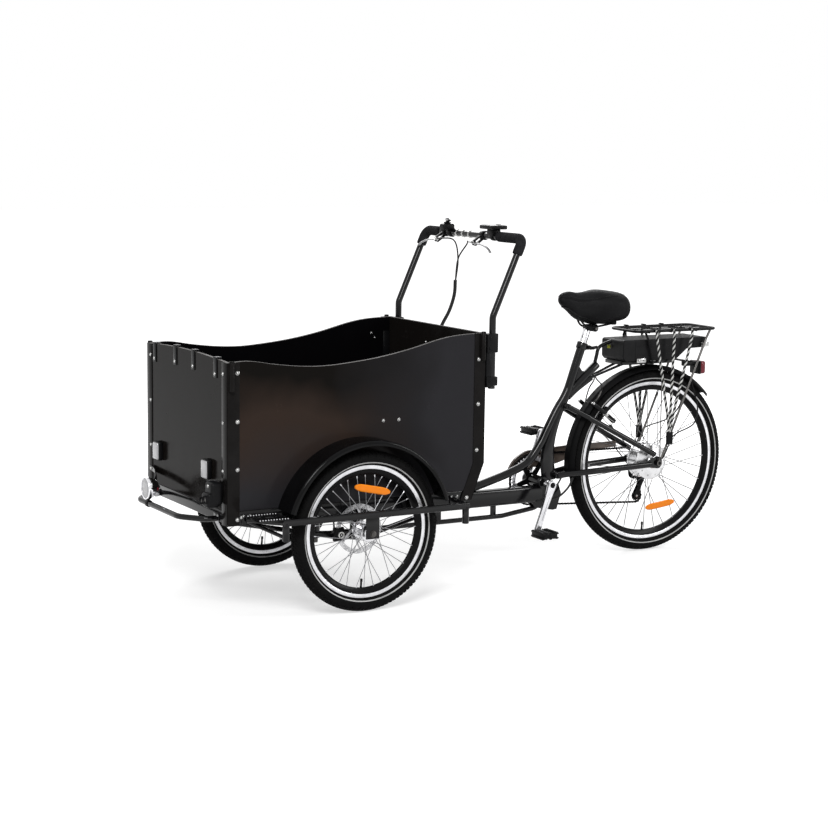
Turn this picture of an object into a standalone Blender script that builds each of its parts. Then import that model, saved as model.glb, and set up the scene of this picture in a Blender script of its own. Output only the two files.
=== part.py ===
"""Electric cargo tricycle: a plywood box between two small front wheels, steered as one
carriage on a king pin, and a rear frame with saddle, battery, hub motor and chain drive.

Metres, +Z up, the front towards -X and the rider's left towards -Y. Lengths along X below are
measured from the front axle; an empty then puts the middle of the whole length at X = 0.
"""

import math

import bmesh
import bpy
from mathutils import Matrix, Vector

# Clearances
GAP = 0.0003
RUN = 0.0006

# Wheels
FRONT_TYRE_R = 0.2555
REAR_TYRE_R = 0.330
TYRE_W = 0.050
FRONT_RIM_R = 0.2095
REAR_RIM_R = 0.286
RIM_DEPTH = 0.030
RIM_W = 0.025
BRAKE_BAND = 0.011
ROUND_STEPS = 40
SPOKES = 36
SPOKE_R = 0.0013
WHEEL_STANDOFF = 0.048
WHEELBASE = 1.351
AXLE_R = 0.006
HUB_IN = 0.052
HUB_OUT = 0.044
ROTOR_R = 0.080
ROTOR_OFFSET = 0.040
ROTOR_T = 0.002

# A round of flats touches the ground on a flat, so the axle stands a little under the true radius
FLAT = math.cos(math.pi / ROUND_STEPS)
FRONT_Z = FRONT_TYRE_R * FLAT
REAR_Z = REAR_TYRE_R * FLAT

# Cargo box
BOX_HALF = 0.314
WHEEL_Y = BOX_HALF + WHEEL_STANDOFF
BOX_FRONT = -0.448
BOX_REAR = 0.461
PANEL = 0.012
BOX_FOOT = 0.3438
BOX_FRONT_TOP = 0.799
BOX_REAR_TOP = 0.855
CHAMFER_TOP = 0.431
CHAMFER_IN = 0.036
STRIP_W = 0.040
STRIP_T = 0.0018
STRIP_FOOT = 0.299
SLEEVE_R = 0.008
SLEEVE_L = 0.088

# Front chassis
RAIL_H = 0.040
RAIL_W = 0.030
RAIL_TOP = BOX_FOOT - GAP
RAIL_OUT = BOX_HALF - 0.002
CHASSIS_REAR = 0.400
STRUT_R = 0.008
STRUT_DROP = 0.026
PLATE_T = 0.006
PLATE_W = 0.046
OUTER_Y = BOX_HALF + 0.106
OUTER_RAIL = 0.020
OUTER_Z = 0.317
OUTER_FRONT = -0.313
OUTER_REAR = 0.344
POST_R = 0.011
POST_FOOT = 0.260
BUMPER_R = 0.009
BUMPER_Z = 0.312
BUMPER_OUT = -0.543
BUMPER_HALF = BOX_HALF - 0.078
FENDER_R = 0.290
FENDER_T = 0.002
FENDER_OUT = BOX_HALF + 0.098
FENDER_END = math.radians(17)

# King pin and steering head
PIN_R = 0.0125
HEAD_R = 0.024
HEAD_FOOT = 0.168
HEAD_TOP = 0.286

# Rear frame
CHAINSTAY = 0.462
BB = Vector((WHEELBASE - CHAINSTAY, 0, 0.285))
BB_R = 0.021
BB_HALF = 0.036
BEAM_TOP = 0.272
BEAM_FOOT = 0.215
BEAM_HALF = 0.020
LOWER_R = 0.0085
LOWER_Z = 0.175
SEAT_TUBE_R = 0.0155
DOWN_TUBE_R = 0.0145
STAY_R = 0.010
DROPOUT_Y = 0.0675
POST_TUBE_R = 0.0136
SEAT_TOP = Vector((BB.x + 0.171, 0, 0.764))
SEAT_LEAN = Vector((0.36, 0, 1.0)).normalized()

# Drive
CRANK = 0.170
CRANK_LEAN = math.radians(20)
CRANK_Y = 0.076
CRANK_T = 0.012
CHAIN_Y = 0.0472
CHAIN_W = 0.0066
CHAIN_H = 0.0075
RING_TEETH = 42
RING_R = 0.0845
SPROCKET_R = 0.036
COGS = 5
COG_PITCH = 0.0060
COG_START = 0.0315
PULLEY_R = 0.018
GUIDE = Vector((WHEELBASE + 0.021, 0, 0.262))
TENSION = Vector((WHEELBASE - 0.006, 0, 0.189))
PEDAL_W = 0.080
PEDAL_L = 0.066
PEDAL_T = 0.026
SPINDLE_R = 0.0065

# Handlebar
BAR_R = 0.011
BAR_Y = BOX_HALF - 0.004
BAR_FOOT = Vector((0.490, 0, 0.672))
BAR_BEND = Vector((0.490, 0, 0.905))
BAR_TOP = Vector((0.600, 0, 1.154))
BAR_CORNER = 0.036
BAR_STEPS = 3
GRIP_R = 0.0170
LEVER_LEFT_Y = -0.070
LEVER_RIGHT_Y = 0.178
LEVER_L = 0.112
SHIFTER_Y = 0.140
DISPLAY_Y = -0.135

# Rack, battery and rear fender
RACK_FRONT = WHEELBASE - 0.115
RACK_REAR = RACK_FRONT + 0.354
RACK_HALF = 0.085
RACK_Z = 0.806
RACK_ROD = 0.005
BATTERY_FRONT = RACK_FRONT - 0.046
BATTERY_REAR = BATTERY_FRONT + 0.370
BATTERY_HALF = 0.067
BATTERY_TOP = 0.776
BATTERY_FOOT = 0.700
REAR_FENDER_R = 0.347
REAR_FENDER_HALF = 0.029
LAMP_FACE = RACK_REAR - 0.030

# Rim brake: the arms stand outwards along a spoke's direction and turn about studs square to it
BRAKE_OUT = Vector((-0.79, 0, 0.61)).normalized()
BRAKE_ACROSS = Vector((BRAKE_OUT.z, 0, -BRAKE_OUT.x))
BRAKE_BOSS_R = 0.240
BRAKE_BOSS_Y = 0.043
STUD_R = 0.004

# The saddle
SADDLE_NOSE = SEAT_TOP.x - 0.108
SADDLE_REAR = SADDLE_NOSE + 0.270
SADDLE_TOP = 0.948
SADDLE_HALF = 0.104

# The lamp reaches furthest forward and the rear tyre furthest back
LAMP_FRONT = -0.556
LAMP_R = 0.037
FRONT_AXLE_X = -(LAMP_FRONT + WHEELBASE + REAR_Z) / 2


def clear_scene():
    for old in list(bpy.data.objects):
        bpy.data.objects.remove(old, do_unlink=True)


def finish(name, colour, roughness, metallic=0.0):
    """A Principled BSDF material."""
    made = bpy.data.materials.new(name)
    made.use_nodes = True
    shader = made.node_tree.nodes["Principled BSDF"]
    shader.inputs["Base Color"].default_value = (*colour, 1)
    shader.inputs["Roughness"].default_value = roughness
    shader.inputs["Metallic"].default_value = metallic
    made.diffuse_color = (*colour, 1)
    return made


class Carrier:
    """An empty on a joint's axis, which carries the pieces that turn or slide together."""

    def __init__(self, name, pivot, parent=None):
        self.pivot = Vector(pivot)
        self.empty = bpy.data.objects.new(name, None)
        bpy.context.scene.collection.objects.link(self.empty)
        if parent is not None:
            self.empty.parent = parent.empty
            self.empty.location = self.pivot - parent.pivot


def faces_out(shape):
    bmesh.ops.recalc_face_normals(shape, faces=shape.faces[:])
    return shape


def skin(rings, closed=False, caps=True):
    """A surface through rings of points; closed joins the last ring to the first."""
    shape = bmesh.new()
    rows = [[shape.verts.new(point) for point in ring] for ring in rings]
    count = len(rows[0])
    pairs = list(zip(rows, rows[1:]))
    if closed:
        pairs.append((rows[-1], rows[0]))
    for first, second in pairs:
        for k in range(count):
            after = (k + 1) % count
            shape.faces.new((first[k], first[after], second[after], second[k]))
    if caps and not closed:
        shape.faces.new(rows[0])
        shape.faces.new(rows[-1])
    return faces_out(shape)


def box(x, y, z):
    """A block from (low, high) pairs."""
    shape = bmesh.new()
    bmesh.ops.create_cube(shape, size=1)
    size = [pair[1] - pair[0] for pair in (x, y, z)]
    middle = Vector([(pair[1] + pair[0]) / 2 for pair in (x, y, z)])
    bmesh.ops.scale(shape, vec=[abs(side) for side in size], verts=shape.verts)
    bmesh.ops.translate(shape, vec=middle, verts=shape.verts)
    return faces_out(shape)


def eased(shape, width, segments=1):
    """Rounds every edge of a block."""
    bmesh.ops.bevel(
        shape, geom=shape.edges[:], offset=width, segments=segments, affect="EDGES", profile=0.5
    )
    return faces_out(shape)


def ring_round(centre, axis, up, radius, sides, turn=0.0, flat=1.0):
    side = axis.cross(up).normalized()
    rise = side.cross(axis).normalized()
    points = []
    for k in range(sides):
        angle = 2 * math.pi * k / sides + turn
        points.append(
            centre + side * (radius * math.cos(angle)) + rise * (radius * flat * math.sin(angle))
        )
    return points


def rod(start, end, radius, sides=10, end_radius=None):
    """A straight round bar or a cone."""
    start, end = Vector(start), Vector(end)
    axis = (end - start).normalized()
    up = Vector((0, 0, 1)) if abs(axis.z) < 0.9 else Vector((1, 0, 0))
    last = radius if end_radius is None else end_radius
    turn = math.pi / sides
    return skin(
        [
            ring_round(start, axis, up, radius, sides, turn),
            ring_round(end, axis, up, last, sides, turn),
        ]
    )


def bent(points, radius, steps=4):
    """The route through the points with each corner rounded to the radius."""
    points = [Vector(point) for point in points]
    route = [points[0]]
    for before, corner, after in zip(points, points[1:], points[2:]):
        inward = (before - corner).normalized()
        outward = (after - corner).normalized()
        half = inward.angle(outward) / 2
        reach = min(
            radius / math.tan(half), (before - corner).length * 0.49, (after - corner).length * 0.49
        )
        turn_radius = reach * math.tan(half)
        centre = corner + (inward + outward).normalized() * (turn_radius / math.sin(half))
        first = corner + inward * reach - centre
        last = corner + outward * reach - centre
        sweep_angle = first.angle(last)
        normal = first.cross(last).normalized()
        for k in range(steps + 1):
            turned = Matrix.Rotation(sweep_angle * k / steps, 3, normal) @ first
            route.append(centre + turned)
    route.append(points[-1])
    return route


def smooth(points, steps=5):
    """A Catmull-Rom curve through the points."""
    points = [Vector(point) for point in points]
    ends = [2 * points[0] - points[1], *points, 2 * points[-1] - points[-2]]
    route = []
    for a, b, c, d in zip(ends, ends[1:], ends[2:], ends[3:]):
        for k in range(steps):
            t = k / steps
            route.append(
                0.5
                * (
                    2 * b
                    + (c - a) * t
                    + (2 * a - 5 * b + 4 * c - d) * t**2
                    + (3 * b - a - 3 * c + d) * t**3
                )
            )
    route.append(points[-1])
    return route


def sweep(route, section, up=(0, 0, 1), closed=False):
    """A section of (across, up) points carried along the route with even twist."""
    route = [Vector(point) for point in route]
    count = len(route)
    rings = []
    rise = Vector(up)
    for k in range(count):
        ahead = route[(k + 1) % count] if closed or k + 1 < count else route[k]
        behind = route[k - 1] if closed or k > 0 else route[k]
        axis = (ahead - behind).normalized()
        if abs(axis.dot(rise)) > 0.96:
            rise = Vector((1, 0, 0)) if abs(axis.x) < 0.7 else Vector((0, 0, 1))
        side = axis.cross(rise).normalized()
        rise = side.cross(axis).normalized()
        rings.append([route[k] + side * a + rise * b for a, b in section])
    return skin(rings, closed)


def circle(radius, sides, turn=0.0):
    return [
        (
            radius * math.cos(2 * math.pi * k / sides + turn),
            radius * math.sin(2 * math.pi * k / sides + turn),
        )
        for k in range(sides)
    ]


def tube(route, radius, sides=10, up=(0, 1, 0)):
    return sweep(route, circle(radius, sides, math.pi / sides), up)


def ribbon(route, half_height, half_thick):
    """A flat bar on edge that follows a route; its height stays upright."""
    rings = []
    for before, point, after in zip([route[0], *route], route, [*route[1:], route[-1]]):
        along = (after - before) * Vector((1, 1, 0))
        out = Vector((-along.y, along.x, 0)).normalized() * half_thick
        rise = Vector((0, 0, half_height))
        rings.append([point + out + rise, point + out - rise, point - out - rise, point - out + rise])
    return skin(rings)


def prism(outline, y):
    """An outline of (x, z) points given a thickness along Y."""
    return skin([[Vector((px, y[0], pz)) for px, pz in outline], [Vector((px, y[1], pz)) for px, pz in outline]])


def turned(profile, centre, axis, steps, start=0.0, extent=2 * math.pi):
    """A closed profile of (radius, along) points revolved about an axis through the centre."""
    centre = Vector(centre)
    axis = Vector(axis).normalized()
    up = Vector((0, 0, 1)) if abs(axis.z) < 0.9 else Vector((1, 0, 0))
    side = up.cross(axis).normalized()
    whole = extent > 6.28
    count = steps if whole else steps + 1
    rings = []
    for k in range(count):
        angle = start + extent * k / steps
        out = side * math.cos(angle) + up * math.sin(angle)
        rings.append([centre + out * radius + axis * along for radius, along in profile])
    return skin(rings, closed=whole)


def disc(radius, along, centre, axis=(0, 1, 0), steps=24):
    """A solid round slab between two places along its axis."""
    centre, axis = Vector(centre), Vector(axis).normalized()
    return rod(centre + axis * along[0], centre + axis * along[1], radius, steps)


def merged(shapes):
    """Several shells in one mesh; a Boolean makes them one body afterwards."""
    whole = bmesh.new()
    for shape in shapes:
        carried = bpy.data.meshes.new("carried")
        shape.to_mesh(carried)
        whole.from_mesh(carried)
        bpy.data.meshes.remove(carried)
    return whole


def stored(name, shape, pivot):
    mesh = bpy.data.meshes.new(name)
    bmesh.ops.translate(shape, vec=-pivot, verts=shape.verts)
    shape.to_mesh(mesh)
    shape.free()
    return mesh


def helper(name, shapes, owner, pivot):
    """A hidden operand of a Boolean, which follows its owner."""
    cutter = bpy.data.objects.new(name, stored(name, merged(shapes), pivot))
    bpy.context.scene.collection.objects.link(cutter)
    cutter.parent = owner
    cutter.hide_render = True
    cutter.display_type = "WIRE"
    cutter.hide_set(True)
    return cutter


def piece(name, shapes, look, carrier, holes=(), pivot=None, smooth_angle=35):
    """One named solid: the first shape, joined with the others, less the holes."""
    pivot = carrier.pivot if pivot is None else Vector(pivot)
    made = bpy.data.objects.new(name, stored(name, shapes[0], pivot))
    bpy.context.scene.collection.objects.link(made)
    made.parent = carrier.empty
    made.location = pivot - carrier.pivot
    made.data.materials.append(look)
    made.data.shade_smooth()
    made.data.set_sharp_from_angle(angle=math.radians(smooth_angle))
    for label, operation, operands in (("join", "UNION", shapes[1:]), ("cut", "DIFFERENCE", holes)):
        if not operands:
            continue
        modifier = made.modifiers.new(label, "BOOLEAN")
        modifier.operation = operation
        modifier.solver = "EXACT"
        modifier.use_self = True
        modifier.object = helper(f"{name}.{label}", operands, made, pivot)
    return made


def mirrored(points, side):
    """Points written for the left side (-Y), turned to the side asked for."""
    return [Vector((point[0], -side * point[1], point[2])) for point in map(Vector, points)]


def span(side, near, far):
    """A (low, high) pair along Y from two distances off the middle, on one side."""
    return tuple(sorted((side * near, side * far)))


# Wheels


def tyre_profile(rim, radius):
    """Half a tyre's section from its bead to its crown, then mirrored."""
    half = TYRE_W / 2
    depth = radius - rim
    one_side = [
        (rim + GAP, 0.42 * half),
        (rim + 0.42 * depth, half),
        (rim + 0.86 * depth, 0.74 * half),
    ]
    return [(r, -w) for r, w in one_side] + [(radius, 0)] + [(r, w) for r, w in reversed(one_side)]


def rim_shape(rim, centre):
    half = RIM_W / 2
    inner = rim - RIM_DEPTH
    profile = [
        (rim, -half),
        (rim, half),
        (inner, 0.40 * half),
        (inner, -0.40 * half),
    ]
    return turned(profile, centre, (0, 1, 0), ROUND_STEPS, math.pi / ROUND_STEPS)


def spoke_shapes(centre, hub_radius, flanges, rim, cross):
    """Spokes from both flanges, laced forwards and backwards in turn, each sunk in the rim."""
    centre = Vector(centre)
    spokes = []
    rim_end = rim - RIM_DEPTH + 0.006
    for k in range(SPOKES):
        angle = 2 * math.pi * k / SPOKES
        flange = flanges[k % 2]
        lean = cross if (k // 2) % 2 else -cross
        seat = angle + lean
        proud = 0.0016 if lean > 0 else -0.0016
        start = Vector((math.cos(seat) * hub_radius, flange + proud, math.sin(seat) * hub_radius))
        end = Vector((math.cos(angle) * rim_end, 0.10 * flange + proud, math.sin(angle) * rim_end))
        spokes.append(rod(centre + start, centre + end, SPOKE_R, 3))
    return spokes


def front_hub(centre, side):
    """The hub shell with two flanges, bored for the fixed axle; the inner side carries the rotor."""
    bore = AXLE_R + RUN
    profile = [
        (bore, -HUB_IN),
        (0.014, -HUB_IN),
        (0.029, -0.0325),
        (0.029, -0.0255),
        (0.015, -0.0215),
        (0.015, 0.0215),
        (0.029, 0.0250),
        (0.029, 0.0320),
        (0.013, HUB_OUT),
        (bore, HUB_OUT),
    ]
    return turned(profile, centre, (0, side, 0), 14)


def rotor_shapes(centre, side):
    """The brake rotor: an outer ring with cooling holes on a five-armed spider."""
    place = -ROTOR_OFFSET
    ring = turned(
        [
            (ROTOR_R - 0.016, place - ROTOR_T / 2),
            (ROTOR_R, place - ROTOR_T / 2),
            (ROTOR_R, place + ROTOR_T / 2),
            (ROTOR_R - 0.016, place + ROTOR_T / 2),
        ],
        centre,
        (0, side, 0),
        20,
    )
    arms = []
    middle = Vector(centre) + Vector((0, side * place, 0))
    for k in range(5):
        inner = 2 * math.pi * k / 5
        outer = inner + 0.55
        start = middle + Vector((math.cos(inner), 0, math.sin(inner))) * 0.010
        end = middle + Vector((math.cos(outer), 0, math.sin(outer))) * (ROTOR_R - 0.010)
        arms.append(sweep([start, end], [(-0.0035, -0.0009), (0.0035, -0.0009), (0.0035, 0.0009), (-0.0035, 0.0009)], (0, 1, 0)))
    boss = turned(
        [(0.0105, place - 0.005), (0.0225, place - 0.005), (0.0225, -0.029), (0.0105, -0.029)],
        centre,
        (0, side, 0),
        14,
    )
    return [ring, *arms, boss]


def front_wheel(tag, side, steered, looks):
    centre = Vector((0, side * WHEEL_Y, FRONT_Z))
    carrier = Carrier(f"wheel_{tag}_spin", centre, steered)
    tyre = turned(tyre_profile(FRONT_RIM_R, FRONT_TYRE_R), centre, (0, 1, 0), ROUND_STEPS, math.pi / ROUND_STEPS)
    piece(f"tyre_{tag}", [tyre], looks["rubber"], carrier)
    shapes = [rim_shape(FRONT_RIM_R, centre), front_hub(centre, side)]
    shapes += spoke_shapes(centre, 0.026, (-0.029, 0.0285), FRONT_RIM_R, math.radians(60))
    shapes += rotor_shapes(centre, side)
    piece(f"wheel_{tag}", shapes, looks["alloy"], carrier)


def rear_wheel(frame, looks):
    """The driven wheel: its hub is the motor's drum, with the freewheel beside it."""
    centre = Vector((WHEELBASE, 0, REAR_Z))
    carrier = Carrier("rear_wheel_spin", centre, frame)
    tyre = turned(tyre_profile(REAR_RIM_R, REAR_TYRE_R), centre, (0, 1, 0), ROUND_STEPS, math.pi / ROUND_STEPS)
    piece("rear_tyre", [tyre], looks["rubber"], carrier)
    bore = AXLE_R + RUN
    drum = turned(
        [
            (bore, -0.050),
            (0.022, -0.050),
            (0.058, -0.037),
            (0.066, -0.032),
            (0.066, -0.025),
            (0.062, -0.023),
            (0.062, 0.018),
            (0.066, 0.020),
            (0.066, 0.026),
            (bore, 0.030),
        ],
        centre,
        (0, 1, 0),
        24,
    )
    shapes = [rim_shape(REAR_RIM_R, centre), drum]
    shapes += spoke_shapes(centre, 0.063, (-0.0285, 0.0225), REAR_RIM_R, math.radians(20))
    piece("rear_wheel", shapes, looks["alloy"], carrier)

    freewheel = Carrier("sprocket_spin", centre, frame)
    profile = [(bore, COG_START)]
    for k in range(COGS):
        outer = SPROCKET_R + 0.0045 * (2 - k)
        start = COG_START + COG_PITCH * k
        profile += [(outer, start), (outer, start + COG_PITCH)]
    profile.append((bore, COG_START + COG_PITCH * COGS))
    piece("sprockets", [turned(profile, centre, (0, 1, 0), 18)], looks["steel"], freewheel)


# Front carriage


def front_chassis(steered, looks):
    """Square rails under the box, cross members, wheel plates on V struts and the king pin."""
    low, high = RAIL_TOP - RAIL_H, RAIL_TOP
    front = BOX_FRONT + 0.001
    shapes = []
    for side in (-1, 1):
        shapes.append(box((front, CHASSIS_REAR), span(side, RAIL_OUT - RAIL_W, RAIL_OUT), (low, high)))
    for start, end in ((front, front + 0.030), (-0.032, 0.032), (CHASSIS_REAR - 0.030, CHASSIS_REAR)):
        shapes.append(box((start, end), (-RAIL_OUT + 0.004, RAIL_OUT - 0.004), (low + 0.001, high - 0.001)))
    strut_y = RAIL_OUT - RAIL_W / 2
    foot = FRONT_Z - STRUT_DROP
    for side in (-1, 1):
        route = bent(
            [
                (front + 0.020, side * strut_y, low + 0.004),
                (-0.060, side * strut_y, foot),
                (0.060, side * strut_y, foot),
                (CHASSIS_REAR - 0.020, side * strut_y, low + 0.004),
            ],
            0.06,
            2,
        )
        shapes.append(tube(route, STRUT_R, 8))
        inner = RAIL_OUT - 0.003 - PLATE_T
        shapes.append(box((-PLATE_W / 2, PLATE_W / 2), span(side, inner, inner + PLATE_T), (foot - 0.010, low + 0.010)))
        shapes.append(box((-PLATE_W / 2, PLATE_W / 2), span(side, inner - 0.012, inner + 0.001), (foot - 0.006, foot + 0.006)))
    shapes.append(rod((0, 0, low - (low - HEAD_TOP) + GAP), (0, 0, low + 0.002), HEAD_R + 0.004, 16))
    shapes.append(rod((0, 0, HEAD_FOOT - 0.016), (0, 0, low + 0.010), PIN_R, 12))
    shapes.append(rod((0, 0, HEAD_FOOT - 0.016), (0, 0, HEAD_FOOT - 2 * GAP), PIN_R + 0.008, 6))
    bores = [
        rod((0, side * (RAIL_OUT - 0.020), FRONT_Z), (0, side * (RAIL_OUT + 0.01), FRONT_Z), AXLE_R + GAP, 12)
        for side in (-1, 1)
    ]
    piece("front_chassis", shapes, looks["frame"], steered, bores)


def outrigger(tag, side, steered, looks):
    """The rail outside a front wheel, with its end posts, step plate, wheel plate and the axle."""
    half = OUTER_RAIL / 2
    seat = RAIL_OUT + GAP
    shapes = [
        eased(
            box(
                (OUTER_FRONT, OUTER_REAR),
                span(side, OUTER_Y - half, OUTER_Y + half),
                (OUTER_Z - half, OUTER_Z + half),
            ),
            0.003,
        )
    ]
    front_post = OUTER_FRONT + POST_R
    rear_post = OUTER_REAR - POST_R
    for place, land in ((front_post, front_post - 0.082), (rear_post, rear_post + 0.020)):
        shapes.append(
            sweep(
                [(place, side * OUTER_Y, OUTER_Z), (land, side * (RAIL_OUT - 0.02), OUTER_Z)],
                circle(0.0095, 8, math.pi / 8),
            )
        )
        shapes.append(rod((place, side * OUTER_Y, POST_FOOT), (place, side * OUTER_Y, OUTER_Z), POST_R, 10))
    shapes.append(
        rod(
            (front_post, side * OUTER_Y, POST_FOOT + 0.010),
            (front_post - 0.082, side * (RAIL_OUT - 0.02), RAIL_TOP - RAIL_H + 0.006),
            0.006,
            8,
        )
    )
    step_top = OUTER_Z + half + 0.0015
    step = box(
        (front_post - 0.090, OUTER_FRONT + 0.030),
        span(side, BOX_HALF + STRIP_T + 0.001, OUTER_Y + half * 0.5),
        (step_top - 0.003, step_top),
    )
    shapes.append(step)
    shapes.append(
        box((-PLATE_W / 2, PLATE_W / 2), span(side, OUTER_Y - half, OUTER_Y - half + PLATE_T), (FRONT_Z - 0.016, OUTER_Z))
    )
    nut = 0.010
    shapes.append(rod((0, side * (RAIL_OUT - 0.022), FRONT_Z), (0, side * (OUTER_Y + 0.002), FRONT_Z), AXLE_R, 12))
    shapes.append(rod((0, side * (OUTER_Y - half + PLATE_T - 0.001), FRONT_Z), (0, side * (OUTER_Y + 0.005), FRONT_Z), nut, 6))
    oval = []
    for k in range(12):
        angle = 2 * math.pi * k / 12
        oval.append((front_post - 0.045 + 0.030 * math.cos(angle), side * (BOX_HALF + 0.046 + 0.017 * math.sin(angle))))
    hole = skin(
        [[Vector((px, py, step_top - 0.010)) for px, py in oval], [Vector((px, py, step_top + 0.010)) for px, py in oval]]
    )
    trim = box(
        (front_post - 0.2, rear_post + 0.2),
        span(side, seat - 0.1, seat),
        (OUTER_Z - 0.060, OUTER_Z + 0.060),
    )
    axle = shapes.pop(-2)
    whole = piece(f"outrigger_{tag}", shapes, looks["frame"], steered, [hole, trim])
    joined = whole.modifiers.new("axle", "BOOLEAN")
    joined.operation = "UNION"
    joined.solver = "EXACT"
    joined.use_self = True
    joined.object = helper(f"outrigger_{tag}.axle", [axle], whole, steered.pivot)


def front_fender(tag, side, steered, looks):
    """A wide arched fender between the box side and the outer rail, with a turned-down lip."""
    inner = BOX_HALF + GAP
    profile = [
        (FENDER_R, inner),
        (FENDER_R + FENDER_T, inner),
        (FENDER_R + FENDER_T, FENDER_OUT),
        (FENDER_R - 0.014, FENDER_OUT),
        (FENDER_R - 0.014, FENDER_OUT - FENDER_T),
        (FENDER_R, FENDER_OUT - FENDER_T),
    ]
    centre = (0, 0, FRONT_Z)
    shape = turned(profile, centre, (0, side, 0), 18, FENDER_END, math.pi - 2 * FENDER_END)
    piece(f"fender_{tag}", [shape], looks["gloss"], steered)


def side_outline():
    """The side panel: its top edge sags between the corners and rises to the rear."""
    top = [
        (BOX_FRONT, BOX_FRONT_TOP),
        (BOX_FRONT + 0.074, BOX_FRONT_TOP + 0.002),
        (BOX_FRONT + 0.157, BOX_FRONT_TOP - 0.011),
        (BOX_FRONT + 0.243, BOX_FRONT_TOP - 0.021),
        (-0.120, BOX_FRONT_TOP - 0.024),
        (-0.030, BOX_FRONT_TOP - 0.018),
        (0.073, BOX_FRONT_TOP - 0.006),
        (BOX_REAR - 0.281, BOX_REAR_TOP - 0.042),
        (BOX_REAR - 0.171, BOX_REAR_TOP - 0.015),
        (BOX_REAR - 0.097, BOX_REAR_TOP - 0.004),
        (BOX_REAR, BOX_REAR_TOP),
    ]
    rear = [(BOX_REAR, CHAMFER_TOP), (BOX_REAR - CHAMFER_IN, BOX_FOOT)]
    return [(BOX_FRONT, BOX_FOOT)] + top + rear


def cargo_box(steered, looks):
    piece_y = BOX_HALF - PANEL - GAP
    for tag, side in (("left", -1), ("right", 1)):
        shape = prism(side_outline(), span(side, BOX_HALF - PANEL, BOX_HALF))
        piece(f"box_side_{tag}", [shape], looks["gloss"], steered)
    slope_in = PANEL * 1.09
    rear = [
        (BOX_REAR, BOX_REAR_TOP),
        (BOX_REAR, CHAMFER_TOP),
        (BOX_REAR - CHAMFER_IN, BOX_FOOT),
        (BOX_REAR - CHAMFER_IN - slope_in, BOX_FOOT),
        (BOX_REAR - PANEL, CHAMFER_TOP + 0.002),
        (BOX_REAR - PANEL, BOX_REAR_TOP),
    ]
    piece("box_rear", [prism(rear, (-piece_y, piece_y))], looks["gloss"], steered)

    front_inner = BOX_FRONT + PANEL
    arch = []
    steps = 10
    for k in range(steps + 1):
        across = piece_y * (1 - 2 * k / steps)
        arch.append((across, BOX_FRONT_TOP + 0.010 * (1 - (across / piece_y) ** 2)))
    outline = [(-piece_y, BOX_FOOT), (piece_y, BOX_FOOT)] + arch
    front = skin([[Vector((BOX_FRONT, a, b)) for a, b in outline], [Vector((front_inner, a, b)) for a, b in outline]])
    shapes = [front]
    end_right, end_left = BOX_HALF - 0.062, 0.086 - BOX_HALF
    for place, top in ((end_right, 0.803), (0.083, 0.811), (-0.060, 0.811), (end_left, 0.805)):
        top += BOX_FRONT_TOP - 0.799
        shapes.append(box((BOX_FRONT - 0.003, BOX_FRONT + 0.002), (place - 0.012, place + 0.012), (top - 0.060, top + 0.004)))
        shapes.append(box((BOX_FRONT - 0.003, front_inner + 0.003), (place - 0.012, place + 0.012), (top, top + 0.004)))
        shapes.append(box((front_inner - 0.002, front_inner + 0.003), (place - 0.012, place + 0.012), (top - 0.030, top + 0.004)))
    for place in (0.211, -0.178):
        shapes.append(eased(box((BOX_FRONT - 0.020, BOX_FRONT + 0.002), (place - 0.023, place + 0.023), (0.426, 0.487)), 0.004))
    piece("box_front", shapes, looks["gloss"], steered)
    rear_inner = BOX_REAR - CHAMFER_IN - slope_in
    rise = PANEL / (CHAMFER_TOP - BOX_FOOT) * CHAMFER_IN
    floor = [
        (front_inner + GAP, BOX_FOOT),
        (rear_inner - GAP, BOX_FOOT),
        (rear_inner + rise - GAP, BOX_FOOT + PANEL),
        (front_inner + GAP, BOX_FOOT + PANEL),
    ]
    piece("box_floor", [prism(floor, (-piece_y, piece_y))], looks["gloss"], steered)


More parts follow.
